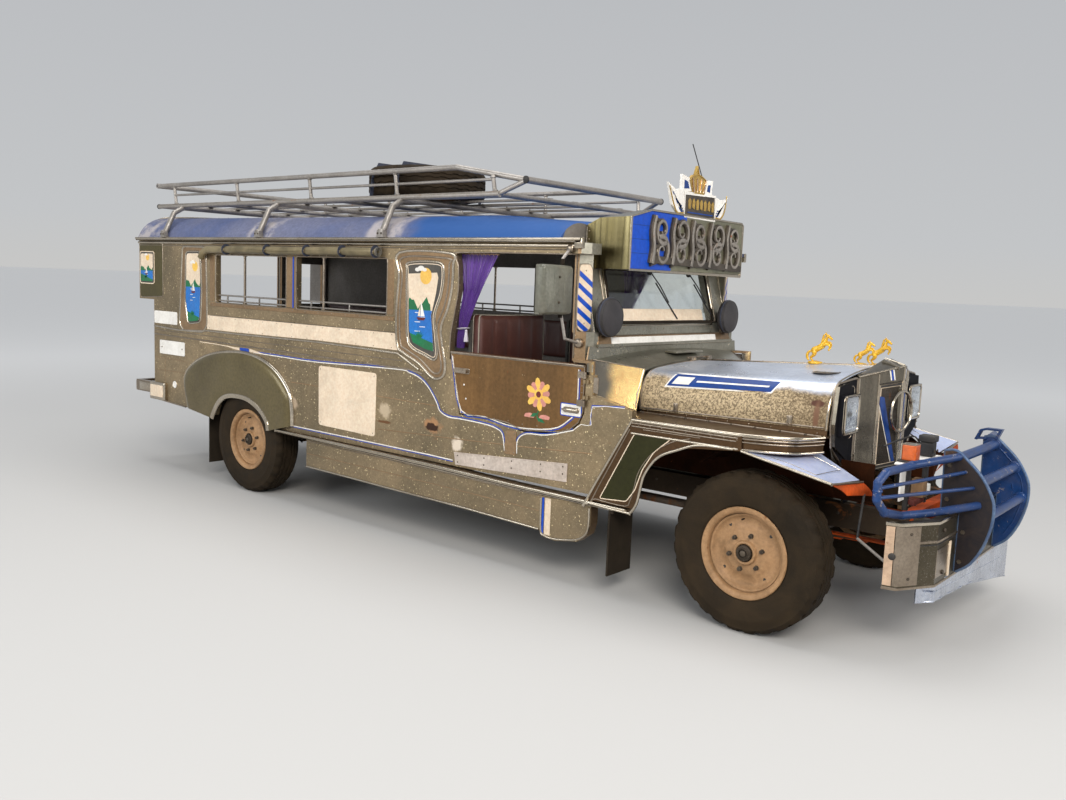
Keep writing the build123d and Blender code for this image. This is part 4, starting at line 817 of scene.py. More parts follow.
def shift(path, d):
    """Open 2-D line moved sideways by d, to the left of its direction."""
    out = []
    for i, p in enumerate(path):
        p = Vector(p)
        a = Vector(path[max(i - 1, 0)])
        b = Vector(path[min(i + 1, len(path) - 1)])
        t = (b - a).normalized()
        out.append(tuple(p + Vector((-t.y, t.x)) * d))
    return out


def disc_outline(cx, cz, r, n=24, sq=1.0):
    return [(cx + r * math.cos(2 * math.pi * k / n), cz + r * sq * math.sin(2 * math.pi * k / n)) for k in range(n)]


def on_side(path, y):
    return [(x, y, z) for x, z in path]


# ---------------------------------------------------------------------------
# CAD nodes with their finishes
# ---------------------------------------------------------------------------
dress("chassis_frame", "frame", [("orange", lambda x, y, z, n: x > 255)])
dress("leaf_springs", "grease", [("orange", lambda x, y, z, n: x > 120)])
for k in ("front_axle", "left_knuckle", "right_knuckle", "tie_rod", "rear_axle"):
    dress(k, "grease")
dress("engine_block", "engine")
dress("exhaust", "exhaust")
dress("fuel_tank", "tank")
dress("floor", "floor")
for side, s in SIDES:
    dress(side + "_lower_side", "body", [("inner", lambda x, y, z, n: abs(y) < 862 and abs(n.y) > 0.7)])
    dress(side + "_window_frame", "body", [("inner", lambda x, y, z, n: abs(y) < 862 and abs(n.y) > 0.7)])
    dress(side + "_door", "door", [("inner", lambda x, y, z, n: abs(y) < 862 and abs(n.y) > 0.7),
                                   ("worn_chrome", lambda x, y, z, n: abs(y) > 875.5)])
dress("rear_wall", "plain_steel", [("inner", lambda x, y, z, n: n.x > 0.7)])
dress("roof", "roof", [("chrome", lambda x, y, z, n: abs(y) > 880 and z < 1858),
                       ("inner", lambda x, y, z, n: n.z < -0.1 or (abs(y) < 850 and z < 1990 and n.z < 0.1))])
dress("cowl", "cowl", [("gold_steel", lambda x, y, z, n: x > -990 and abs(y) > 560 and z < 1205 and n.x > -0.5 and abs(n.y) > 0.2),
                       ("black", lambda x, y, z, n: x < -1001 and z < 1290 and abs(y) < 756),
                       ("cowl", lambda x, y, z, n: z > 1222 and n.x > 0.3 and abs(y) > 700),
                       ("plain_steel", lambda x, y, z, n: abs(y) > 765 and z > 1149),
                       ("inner", lambda x, y, z, n: n.x < -0.7)])
dress("windshield", "windscreen")
dress("steering_column", "black")
dress("steering_wheel", "black")
# the lamp panels take the near-black painted reflection
dress("grille_shell", "column", [("lamp_panel", lambda x, y, z, n: x < 286 and n.x > 0.5 and abs(y) > 262),
                                 ("grille", lambda x, y, z, n: n.x > 0.5 and 785 < z < 1230 and abs(y) < 262 and x < 356),
                                 ("lamp_panel", lambda x, y, z, n: x > 283 and abs(y) > 340)])
dress("front_fenders", "fender_steel", [
    ("orange", lambda x, y, z, n: n.z < -0.5 and x > 60 and abs(y) > 560),
    # inner wings, undersides and arch faces get the near-black painted shade
    ("arch", lambda x, y, z, n: abs(y) < 452 or (x > 255 and z < 775) or n.z < -0.5 or (abs(n.y) > 0.7 and n.y * y < 0)),
    # faces of the wings that look up take the steel with the painted sky reflection
    ("steel_blue", lambda x, y, z, n: x > -21 and n.z > 0.5 and z < 890),
])
dress("running_boards", "plain_steel", [("body", lambda x, y, z, n: abs(y) > 860 and z < 459),
                                        ("chrome", lambda x, y, z, n: abs(y) > 903)])
dress("mud_flaps", "rubber")
dress("front_bumper", "bumper", [("tin", lambda x, y, z, n: z < 350 and x > 700 and abs(y) < 700 and n.z < 0.9 and z < 345),
                                 ("peach", lambda x, y, z, n: x < 640 and abs(y) > 770)])
dress("bull_guard", "blue_bar")
dress("rear_bumper", "worn_chrome", [("slat", lambda x, y, z, n: n.z > 0.7 and z < 625)])
dress("destination_sign", "sign_steel", [
    ("gold", lambda x, y, z, n: z > 2033 and x > -910 and 2160 < z < 2400 and -60 < y < 140),
    ("white", lambda x, y, z, n: z > 2033 and x > -910),
    ("black", lambda x, y, z, n: z > 2033 and x < -910),
    ("pale", lambda x, y, z, n: n.x > 0.7 and x > -892)])
dress("mirrors", "tube", [("mirror_back", lambda x, y, z, n: 1457 < z < 1711 and ((y < -892 and -1100.5 < x < -1070.5) or (y > 885 and x < -1151.5))),
                          ("lamp_cover", lambda x, y, z, n: abs(y) < 760 and z < 1560)])
dress("roof_rack", "tube", [("slat", lambda x, y, z, n: 2117 < z < 2133 and abs(abs(y) - 250 * round(abs(y) / 250)) < 21 and abs(n.x) < 0.1)])
dress("seat_frames", "seat_frame")


# ---------------------------------------------------------------------------
# Wheels
# ---------------------------------------------------------------------------
HALF_TREAD = [(206, 0), (206, 74), (224, 82), (230, 91), (238, 95), (246, 96), (252, 99), (285, 102), (312, 102.5), (318, 104),
              (324, 102.5), (345, 98.5), (358, 95), (364, 95.5), (372, 89), (379, 82), (386, 72), (388, 66), (388, 50),
              (380, 48.5), (380, 42.5), (388, 41), (388, 24), (380, 22.5), (380, 16.5), (388, 15), (388, 0)]
TYRE_RING = [(r, -h) for r, h in HALF_TREAD] + [(r, h) for r, h in reversed(HALF_TREAD[:-1])][:-1]


def tread(k, j, r, h):
    a = abs(h)
    if r > 368 and a > 49:
        if k % 6 in (0, 1):
            r -= 8 * min(1.0, (r - 366) / 14)
    elif r > 379 and 10 < a < 60:
        h += 3.0 if (k // 3) % 2 else -3.0
    elif 250 < r < 300:
        r += 0.0
    return r, h


RIM_RING = [(196, -80), (222, -84), (223, -90), (190, -90), (190, 44), (186, 46), (170, 38), (150, 33), (120, 38), (100, 47),
            (60, 50), (44, 54), (42, 66), (44, 76), (50, 79), (55, 77), (58, 70), (61, 62), (70, 58.5), (98, 59), (106, 56),
            (118, 48), (134, 42), (150, 41), (162, 43), (170, 48), (176, 57), (181, 62), (186.5, 62.5), (187.5, 57), (190.5, 57),
            (191, 72), (192.5, 79), (196, 85), (203, 89.5), (212, 92), (219, 92), (223, 88), (222.5, 83), (206, 79), (198, 74)]


def pressed(k, j, r, h):
    if 96 < r < 152 and h > 40:
        h += 5.5 * max(0.0, math.cos(6 * 2 * math.pi * k / 72 + 0.5)) * (1 - abs(r - 126) / 32 if abs(r - 126) < 32 else 0)
    return r, h


def wheel(tag, ax, s, body):
    c = (ax, s * 770.0, 388.0)
    a = (0, s, 0)
    t = Piece(tag + "_tyre_tread", body, "tyre")
    t.lathe(TYRE_RING, c, a, "tyre", 168, True, tread)
    o = t.done(42)
    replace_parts(o, tag + "_tyre")
    p = Piece(tag + "_rim_pressed", body, "rim_cream")
    p.lathe(RIM_RING, c, a, "rim", 72, True, pressed)
    # brake drum behind the disc
    p.lathe([(45, 40), (142, 34), (150, 26), (152, 8), (155, 4), (155, -2), (152, -6), (152, -66), (146, -70), (143, -66), (143, 20),
             (45, 24)], c, a, "grease", 48, True)
    for k in range(6):
        ang = math.radians(60 * k + 14)
        q = (c[0] + 87 * math.cos(ang), c[1] + s * 57.5, c[2] + 87 * math.sin(ang))
        p.bolt(q, a, 10.5, "nut", 19)
        p.lathe([(4.6, 0), (4.6, 24), (3.4, 26), (0.001, 26)], q, a, "nut", 10)
    # hub with its flange, cap and castle nut
    p.lathe([(23, 30), (39.5, 34), (39.5, 74), (38, 84), (34, 87), (27, 88), (25, 92), (22, 92.5), (22, 60), (23, 40)], c, a, "grease", 36, True)
    p.lathe([(24, 60), (24, 84), (0.001, 84)], c, a, "grease", 24)
    p.lathe([(15, 83), (15, 92), (12, 94), (0.001, 94)], c, a, "nut", 8)
    for k in range(6):
        ang = math.radians(60 * k + 44)
        p.bolt((c[0] + 30.5 * math.cos(ang), c[1] + s * 86.5, c[2] + 30.5 * math.sin(ang)), a, 3.6, "nut", 5)
    # valve through the disc and small pressed holes
    ang = math.radians(100)
    q = (c[0] + 158 * math.cos(ang), c[1] + s * 42, c[2] + 158 * math.sin(ang))
    p.lathe([(4, 0), (4, 22), (3, 26), (0.001, 26)], q, a, "rubber", 10)
    for k in range(4):
        ang = math.radians(90 * k + 40)
        q = (c[0] + 150 * math.cos(ang), c[1] + s * 40.5, c[2] + 150 * math.sin(ang))
        p.lathe([(8, 0.4), (8, 1.2), (6, 1.4), (0.001, 0.6)], q, a, "black", 14)
    o = p.done(40)
    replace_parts(o, tag + "_rim")


for end, ax in (("front", 0.0), ("rear", REAR)):
    for side, s in SIDES:
        wheel(f"{side}_{end}", ax, s, f"{side}_{end}_wheel")

# spare wheel flat on the rack, outer side up
spare = Piece("spare_wheel_flat", "root", "tyre")
SC = (-2750.0, -325.0, 2118.0 + 16 + 100)
spare.lathe([(r, h * 0.955) for r, h in TYRE_RING], SC, (0, 0, 1), "tyre", 168, True, tread)
spare.lathe([(r, h) for r, h in RIM_RING], SC, (0, 0, 1), "rim", 72, True, pressed)
for k in range(6):
    ang = math.radians(60 * k + 5)
    spare.lathe([(9, 0.4), (9, 1.4), (6.5, 1.6), (0.001, 0.8)], (SC[0] + 87 * math.cos(ang), SC[1] + 87 * math.sin(ang), SC[2] + 58.6),
                (0, 0, 1), "black", 14)
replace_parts(spare.done(42), "spare_wheel")


# ---------------------------------------------------------------------------
# Hood: rounded shoulders, centre trim, panel edges, ornaments
# ---------------------------------------------------------------------------
def hood_at(x):
    t = (x + 785.0) / 1043.0
    return [a + (b - a) * t for a, b in zip((608, 968, 560, 1172, 1208), (600, 985, 548, 1196, 1262))]


def hood_half(x):
    """Right-hand half of the hood's section, from the low edge to the crown: (y, z) pairs."""
    low, z0, sh, zs, zc = hood_at(x)
    pts = [(low, z0), (low + 0.5, z0 + 26), (low - 1.5, z0 + 60)]
    a, b = Vector((low - 4, z0 + 90)), Vector((sh, zs))
    p0 = a + (b - a) * 0.34
    def crown(y):
        q = abs(y) / sh
        return zc - (zc - zs) * (0.10 * q + 0.90 * q ** 2.1)
    p2 = Vector((sh - 92, crown(sh - 92)))
    pts += [tuple(a), tuple(a + (p0 - a) * 0.5)]
    for j in range(9):
        t = j / 8
        pts.append(tuple(p0 * (1 - t) ** 2 + b * 2 * t * (1 - t) + p2 * t * t))
    for k in range(1, 9):
        y = (sh - 92) * (1 - k / 8)
        pts.append((y, crown(y)))
    return pts


def hood_top(x, y):
    low, z0, sh, zs, zc = hood_at(x)
    q = abs(y) / sh
    return zc - (zc - zs) * (0.10 * q + 0.90 * q ** 2.1)


def hood_side(x, z):
    """Half width of the hood's flank at height z."""
    pts = hood_half(x)
    for (y0, z0), (y1, z1) in zip(pts, pts[1:]):
        if z0 <= z <= z1:
            return y0 + (y1 - y0) * (z - z0) / (z1 - z0)
    return pts[-1][0]


hood = Piece("hood_skin", "hood_lid", "hood_steel")
N_SEC = 2 * len(hood_half(0)) - 2
STATIONS = [-785, -779, -700, -560, -420, -280, -140, 0, 120, 200, 238, 252, 258]


def hood_skin(u, v):
    x = STATIONS[round(u * (len(STATIONS) - 1))]
    half = hood_half(x)
    full = [(-y, z) for y, z in half] + [(y, z) for y, z in reversed(half[:-1])]
    y, z = full[round(v * (len(full) - 1))]
    # rolled front and rear edges
    e = max(0.0, 1 - (258 - x) / 20.0)
    pull = 6.0 * e * e
    y = y - math.copysign(pull, y) if abs(y) > 1 else y
    z -= pull * (1.0 if abs(y) < 540 else 0.4)
    # slight dents of the flanks
    if abs(y) > 540:
        y += math.sin(x / 97.0) * math.sin(z / 41.0) * 1.6
    else:
        z += math.sin(x / 150.0 + 1.0) * math.sin(y / 120.0) * 1.2
    return x, y, z


hood.grid(hood_skin, len(STATIONS) - 1, N_SEC, "hood", 7.0)
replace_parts(hood.done(50), "hood")

trim = Piece("hood_trim", "hood_lid", "polished_steel")
for dy, w, h, m in ((0, 30, 7, "brass"), (-19, 8, 5, "chrome"), (19, 8, 5, "chrome")):
    trim.bead([(x, dy, hood_top(x, dy)) for x in range(-765, 236, 50)], w, h, (0, 0, 1), m)
for k in range(9):
    x = -740 + k * 118
    trim.rivet((x, 0, hood_top(x, 0) + 6.5), (0, 0, 1), 4.5, "chrome")
# rolled bead along the front and rear edges
for x, r in ((250, 5.0), (-778, 4.0)):
    half = hood_half(x)
    path = [(x, -y, z) for y, z in half] + [(x, y, z) for y, z in reversed(half[:-1])]
    trim.tube([(a, b * (0.992 if x > 0 else 1.002), c - (4 if x > 0 else 0)) for a, b, c in path], r, "chrome" if x > 0 else "worn_chrome", 8)
# low edge flange
for side, s in SIDES:
    trim.bead([(x, s * (hood_at(x)[0] + 0.5), hood_at(x)[1] + 9) for x in range(-780, 255, 60)], 9, 4, (0, s, 0), "worn_chrome")
    # hold-down catches
    for x in (-560, 70):
        z = hood_at(x)[1] + 34
        y = s * (hood_side(x, z) + 0.5)
        trim.block(x - 14, x + 14, y - 3, y + 7 * s, z - 30, z + 18, "worn_chrome", 3)
        trim.tube([(x - 8, y + s * 8, z + 14), (x - 8, y + s * 9, z - 20), (x + 8, y + s * 9, z - 20), (x + 8, y + s * 8, z + 14)], 2.4,
                  "chrome", 8)
trim.done()

# blank strip decal on the upper flank, following the shoulder
decal = Piece("hood_strip", "hood_lid")
for side, s in SIDES:
    def on_flank(out, x, f):
        zt = 1176 + (x + 624) * 0.038
        zb = 1104 + (x + 624) * 0.043
        z = zb + (min(zt, hood_at(x)[3] - 4) - zb) * f
        return x, s * (hood_side(x, z) + out), z
    for out, a, b, f0, f1, m in ((0.9, -632, -28, -0.05, 1.04, "white"), (1.7, -622, -38, 0.06, 0.94, "navy"), (2.4, -600, -500, 0.22, 0.78, "white"),
                                 (2.4, -470, -70, 0.44, 0.56, "white")):
        def cell(u, v, out=out, a=a, b=b, f0=f0, f1=f1):
            f = f0 + (f1 - f0) * v
            return on_flank(out, a + (b - a) * u + 34 * (f - 0.5), f)
        decal.grid(cell, 24, 6, m, 0.8)
decal.done(60)


def horse(name, x, y, z, k, turn=0.0):
    """Small rearing horse of moulded gilt, facing forward, on an oval foot."""
    p = Piece(name, "hood_lid", "polished_steel")
    ca, sa = math.cos(turn), math.sin(turn)

    def at(q):
        u, v, w = q[0] * k, q[1] * k, q[2] * k
        return (x + u * ca - v * sa, y + u * sa + v * ca, z + w)

    def limb(path, radii, squash=1.0, n=4):
        pts = curve(path, n)
        m = len(radii) - 1
        rr = []
        for i in range(len(pts)):
            f = i / (len(pts) - 1) * m
            j = min(int(f), m - 1)
            rr.append((radii[j] + (radii[j + 1] - radii[j]) * (f - j)) * k)
        rr[0] *= 0.6
        rr[-1] *= 0.6
        p.taper([at(q) for q in pts], rr, "horse", 12, squash)

    p.lathe([(40 * k, -3 * k), (42 * k, 4 * k), (38 * k, 9 * k), (26 * k, 11 * k), (12 * k, 14 * k), (0.001, 14 * k)], at((-20, 0, 0)), (0, 0, 1),
            "horse", 28)
    limb([(-44, 0, 62), (-30, 0, 74), (-6, 0, 86), (16, 0, 102), (30, 0, 116)], [12, 19, 17, 18, 14], 0.82)          # trunk
    limb([(20, 0, 104), (31, 0, 124), (36, 0, 142), (42, 0, 156)], [17, 14, 10, 8], 0.7)                              # neck
    limb([(34, 0, 160), (48, 0, 157), (62, 0, 148), (74, 0, 139)], [8.5, 10, 7.5, 5.5], 0.75)                          # head
    for v in (-5, 5):
        limb([(36, v, 163), (34, v * 1.2, 172), (32, v * 1.2, 179)], [3.2, 2.6, 1.0], 1.0, 2)                           # ears
    for i in range(7):                                                                                                # mane
        f = i / 6
        limb([(30 - 12 * f, 0, 168 - 56 * f), (20 - 12 * f, 0, 160 - 56 * f), (13 - 12 * f, 0, 148 - 54 * f)], [4.5, 4.5, 1.5], 0.6, 2)
    for v, lift in ((-9, 0), (9, 9)):
        limb([(22, v, 102), (42, v * 1.1, 112 + lift), (60, v * 1.1, 108 + lift), (64, v * 1.1, 92 + lift), (58, v * 1.1, 82 + lift),
              (64, v * 1.1, 76 + lift)], [10, 8.5, 6.5, 4.6, 4, 4.6])                                                  # fore legs
    for v, back in ((-10, 0), (10, 10)):
        limb([(-32, v, 72), (-22 - back, v * 1.15, 54), (-34 - back, v * 1.15, 38), (-44 - back, v * 1.1, 30), (-34 - back, v * 1.1, 16),
              (-26 - back, v * 1.1, 9)], [15, 12, 7.5, 5.2, 4.6, 5.6])                                                  # hind legs
    limb([(-46, 0, 66), (-62, 2, 62), (-72, 3, 44), (-68, 2, 24), (-58, 0, 12)], [5, 7.5, 8.5, 7.5, 3.5], 0.8)           # tail
    return p.done(70, weld=False)


horse("horse_right", -66, 0, hood_top(-66, 0) + 4, 0.93, 0.0)
horse("horse_middle", 140, 100, hood_top(140, 100) + 1, 0.72, 0.03)
horse("horse_left", 165, 250, hood_top(165, 250) + 1, 0.86, -0.04)
oval = Piece("hood_oval_recess", "hood_lid")
oval.lathe([(64, 0.3), (62, 1.2), (54, 1.5), (0.001, 1.0)], (120, -330, hood_top(120, -330) + 0.3), (-0.045, -0.02, 1), "grille", 32)
oval.lathe([(66, 0.2), (68, 2.6), (64, 3.4), (61, 2.4), (60, 0.2)], (120, -330, hood_top(120, -330) + 0.2), (-0.045, -0.02, 1), "worn_chrome", 32, True)
oval.done()


# ---------------------------------------------------------------------------
# Body sides: mouldings, boards, stripes, art panels. Same on both sides.
# ---------------------------------------------------------------------------
BY = 875.0
ART_OUT = [(-2403, 1767), (-1965, 1766), (-1945, 1702), (-1949, 1574), (-1980, 1443), (-2031, 1336), (-2018, 1232), (-1989, 1116),
           (-2001, 1048), (-2057, 1023), (-2114, 1038), (-2213, 1103), (-2343, 1154), (-2409, 1204), (-2422, 1422), (-2404, 1626)]
ART_IN = [(-2312, 1709), (-2064, 1713), (-2016, 1662), (-2029, 1532), (-2080, 1399), (-2066, 1281), (-2053, 1176), (-2080, 1134),
          (-2157, 1155), (-2275, 1193), (-2321, 1265), (-2330, 1480), (-2334, 1655)]
ART_SCENE = [(-2318, 1640), (-2071, 1652), (-2060, 1622), (-2076, 1530), (-2112, 1398), (-2096, 1290), (-2084, 1186), (-2158, 1196),
             (-2262, 1228), (-2298, 1300), (-2306, 1480)]
REAR_OUT = [(-4875, 1787), (-4549, 1784), (-4540, 1500), (-4534, 1200), (-4586, 1143), (-4871, 1137), (-4925, 1196), (-4900, 1500)]
REAR_IN = [(-4828, 1750), (-4618, 1752), (-4602, 1461), (-4621, 1214), (-4798, 1194), (-4839, 1375)]


def seascape(p, outline, y, s, x_mid, z_line, w):
    """Painted scene in an outline: pale sky, sun, hills, sea with a sail boat, green shore."""
    def layer(shape, mat, h):
        if len(shape) > 2:
            p.plate(shape, y, mat, 1, s, h, 0.3, back=h - 1.2)

    def band(shape):
        """Part of the shape inside the outline, whose corners turn one way."""
        out = shape
        k = len(outline)
        area = sum(outline[i][0] * outline[(i + 1) % k][1] - outline[(i + 1) % k][0] * outline[i][1] for i in range(k))
        for i in range(k):
            a, b = Vector(outline[i]), Vector(outline[(i + 1) % k])
            n = Vector((b.y - a.y, -(b.x - a.x))) * (1 if area > 0 else -1)
            out = clip(out, n.x, n.y, n.dot(a))
            if len(out) < 3:
                return []
        return out

    layer(outline, "cream", 7.4)
    xs = [q[0] for q in outline]
    lo, hi = min(xs), max(xs)
    layer(disc_outline(x_mid + w * 0.12, z_line + w * 0.95, w * 0.23), "sun", 7.9)
    for i, (dx, dz, r) in enumerate(((-0.22, 1.25, 0.10), (-0.08, 1.29, 0.13), (0.06, 1.25, 0.09))):
        layer(disc_outline(x_mid + dx * w, z_line + dz * w * 0.9, r * w, 16, 0.55), "white", 8.2 + i * 0.1)
    hills = [(lo, z_line - 4)] + [(lo + (hi - lo) * k / 14, z_line + w * (0.20 + 0.13 * math.sin(k * 0.9) + 0.05 * math.sin(k * 2.3)))
                                  for k in range(15)] + [(hi, z_line - 4)]
    # hills as upright slices, so that each is convex
    for k in range(14):
        (x0, z0), (x1, z1) = hills[k + 1], hills[k + 2]
        layer(band([(x0, z_line - 4), (x1 + 0.01, z_line - 4), (x1 + 0.01, z1), (x0, z0)]), "green", 8.6)
    z_low = min(q[1] for q in outline)
    layer(clip(clip(outline, 0, 1, z_line), 0, -1, -z_low), "sea", 9.0)
    for k in range(5):
        z = z_line - 18 - k * w * 0.13
        x0 = x_mid - w * 0.28 + (k % 2) * w * 0.2
        layer(band([(x0, z), (x0 + w * 0.22, z + 1), (x0 + w * 0.22, z + 5), (x0, z + 4)]), "white", 9.5)
    b = (x_mid - w * 0.03, z_line - w * 0.20)
    layer([(b[0] - w * 0.17, b[1]), (b[0] + w * 0.19, b[1]), (b[0] + w * 0.12, b[1] - w * 0.08), (b[0] - w * 0.12, b[1] - w * 0.08)], "maroon", 9.8)
    layer([(b[0] - w * 0.01, b[1] + w * 0.03), (b[0] + w * 0.15, b[1] + w * 0.03), (b[0] - w * 0.01, b[1] + w * 0.46)], "white", 9.8)
    layer([(b[0] - w * 0.13, b[1] + w * 0.03), (b[0] - w * 0.03, b[1] + w * 0.03), (b[0] - w * 0.03, b[1] + w * 0.36)], "cream", 9.8)
    shore = z_low + w * 0.34
    layer(clip(outline, 0.25, 1, 0.25 * x_mid + shore), "green", 10.2)
    # leaf sprays along the shore
    for k in range(7):
        a = math.radians(40 + 17 * k)
        c = Vector((x_mid - w * 0.1, shore - 12))
        d = Vector((math.cos(a), math.sin(a)))
        n = Vector((-d.y, d.x))
        leaf = [tuple(c), tuple(c + d * w * 0.12 + n * 5), tuple(c + d * w * 0.26), tuple(c + d * w * 0.12 - n * 5)]
        layer(band(leaf), "green", 10.8)


def side_trim(side, s):
    p = Piece(side + "_side_trim", "root", "polished_steel")
    y, up = s * BY, (0, s, 0)

    def bead(path, w, h, mat="chrome", closed=False, flat=False, lift=0.0, n=0):
        path = curve(path, n, closed) if n else path
        p.bead(on_side(path, y + s * lift), w, h, up, mat, closed, flat=flat)

    # belt mouldings
    bead([(-5306, 1150), (-4943, 1136), (-4600, 1150), (-4534, 1157), (-4089, 1157), (-3183, 1164), (-2403, 1149), (-2342, 1122), (-2211, 1064)],
         17, 8)
    bead([(-5306, 1086), (-4168, 1076), (-2291, 1058), (-2180, 1040)], 11, 4.5, "worn_chrome")
    bead([(-5306, 1120), (-4168, 1116), (-2360, 1106)], 6, 2.5, "worn_chrome")
    # art panel frame: outer bead, moulded band, pale line, dark field
    fine = curve(ART_OUT, 5, True)
    p.plate(fine, y, "plain_steel", 1, s, 3.0)
    bead(fine, 20, 10, "chrome", True)
    mid = curve(inset(ART_OUT, 30), 5, True)
    bead(mid, 13, 6.0, "worn_chrome", True, lift=2.6)
    inner = curve(ART_IN, 5, True)
    p.plate(inner, y, "grey_panel", 1, s, 5.6)
    bead(inner, 15, 9.0, "chrome", True, lift=2.6)
    bead(curve(inset(ART_IN, 14), 5, True), 5, 1.4, "cream", True, True, 5.4)
    seascape(p, ART_SCENE, y, s, -2190, 1425, 215)
    # rear art panel
    fine = curve(rounded(REAR_OUT, 30, 3), 1, True)
    p.plate(fine, y, "plain_steel", 1, s, 3.0)
    bead(fine, 17, 9, "chrome", True)
    fine = rounded(REAR_IN, 40, 4)
    p.plate(fine, y, "grey_panel", 1, s, 5.6)
    bead(fine, 13, 8, "chrome", True, lift=2.6)
    seascape(p, rounded(inset(REAR_IN, 16), 26, 3), y, s, -4712, 1480, 165)
    # long blank board
    board = [(-4546, 1274), (-2414, 1272), (-2402, 1167), (-3183, 1175), (-4089, 1168), (-4534, 1168)]
    p.plate(rounded(board, 6, 2), y, "cream", 1, s, 3.2)
    bead([(-4546, 1277), (-2412, 1275)], 5, 4.6, "worn_chrome")
    for k in range(13):
        p.rivet((-4500 + k * 170, y + s * 3, 1262), up, 4.0)
        p.rivet((-4500 + k * 170, y + s * 3, 1180), up, 4.0)
    # painted lines round the big panel, white with blue outside
    loop = [(-3936, 1036), (-3565, 1031), (-3193, 1028), (-2422, 1050), (-2300, 1040), (-2201, 1014), (-2122, 962), (-2052, 880),
            (-2022, 832), (-1946, 806), (-1837, 806), (-1660, 800), (-1573, 788), (-1521, 760), (-1499, 668)]
    line = curve(loop, 4)
    bead(line, 6, 1.4, "white", flat=True)
    bead(shift(line, 9), 5, 1.1, "blue", flat=True)
    low = [(-3495, 640), (-3495, 562), (-2800, 560), (-2080, 556), (-1905, 552)]
    bead(low, 6, 1.4, "white", flat=True)
    bead(shift(low, -8), 4, 1.1, "blue", flat=True)
    bead(curve([(-4638, 1066), (-4400, 1062), (-4200, 1056)], 3), 6, 1.4, "cream", flat=True)
    # crest over the rear fender: cream, blue, cream
    p.plate([(-4290, 1058), (-4112, 1036), (-4112, 1058)], y, "cream", 1, s, 1.6)
    p.plate([(-4108, 1036), (-3988, 1036), (-3996, 1060), (-4100, 1060)], y, "blue", 1, s, 1.6)
    p.plate([(-3984, 1036), (-3806, 1036), (-3984, 1060)], y, "cream", 1, s, 1.6)
    # small panel below the door
    small = curve([(-1408, 665), (-1404, 742), (-1341, 785), (-1199, 797), (-1019, 846)], 4)
    bead(small, 6, 1.4, "white", flat=True)
    bead(shift(small, 8), 4, 1.1, "blue", flat=True)
    bead(curve([(-1019, 846), (-968, 884), (-903, 889), (-901, 985), (-697, 1000)], 2), 4, 1.2, "white", flat=True)
    bead(shift([(-903, 889), (-901, 985), (-697, 1000)], 7), 5, 1.1, "blue", flat=True)
    # bare post under the door
    p.plate([(-1497, 652), (-1414, 652), (-1414, 784), (-1430, 790), (-1480, 790), (-1497, 780)], y, "plain_steel", 1, s, 4.5)
    for z in (668, 776):
        for x in (-1484, -1427):
            p.rivet((x, y + s * 4.2, z), up, 4)
    # pressed seams
    for path in ([(-3486, 866), (-2700, 864), (-2061, 860)], [(-2576, 654), (-1942, 680), (-1500, 702)], [(-1405, 706), (-890, 738)]):
        bead(path, 7, 1.6, "plain_steel")
        bead([(a, b - 5) for a, b in path], 2.5, 0.5, "grease")
    # blank notice panel
    note = rounded([(-3181, 1007), (-2597, 1007), (-2602, 600), (-3174, 607)], 24, 4)
    p.plate(note, y, "cream", 1, s, 2.6)
    for x, z in ((-3160, 986), (-2618, 986), (-3154, 628), (-2622, 620)):
        p.rivet((x, y + s * 2.4, z), up, 4.5)
    # kick plate with its angle edges
    p.plate([(-1892, 602), (-1046, 660), (-1048, 560), (-1880, 530)], y, "step", 1, s, 5.0)
    bead([(-1892, 600), (-1046, 658)], 8, 7, "step")
    for x in (-1860, -1650, -1440, -1230, -1075):
        z = 600 + (x + 1892) * 0.0686
        p.rivet((x, y + s * 4.6, z - 14), up, 5, "nut")
        p.rivet((x, y + s * 4.6, z - 54), up, 5, "nut")
    # window sill strip, pillar, and frames of the openings
    p.plate([(-4490, 1346), (-2446, 1346), (-2446, 1374), (-4490, 1374)], y, "plain_steel", 1, s, 4.0)
    for k in range(15):
        p.rivet((-4460 + k * 141, y + s * 3.8, 1360), up, 4.4)
    p.plate([(-3550, 1380), (-3432, 1380), (-3432, 1726), (-3550, 1726)], y, "plain_steel", 1, s, 3.0)
    for x in (-3546, -3436):
        bead([(x, 1380), (x, 1726)], 9, 7, "worn_chrome")
    bead([(-3466, 1380), (-3466, 1726)], 12, 3.6, "blue", flat=True, lift=2.6)
    for x0, x1 in ((-4414, -3552), (-3432, -2519)):
        frame_line = [(x0 - 6, 1372), (x1 + 6, 1372), (x1 + 6, 1731), (x0 - 6, 1731)]
        bead(rounded(frame_line, 24, 4), 10, 5, "worn_chrome", True)
    for x in (-4470, -2480):
        p.plate(rounded([(x - 28, 1384), (x + 28, 1384), (x + 28, 1724), (x - 28, 1724)], 10, 2), y, "plain_steel", 1, s, 2.2)
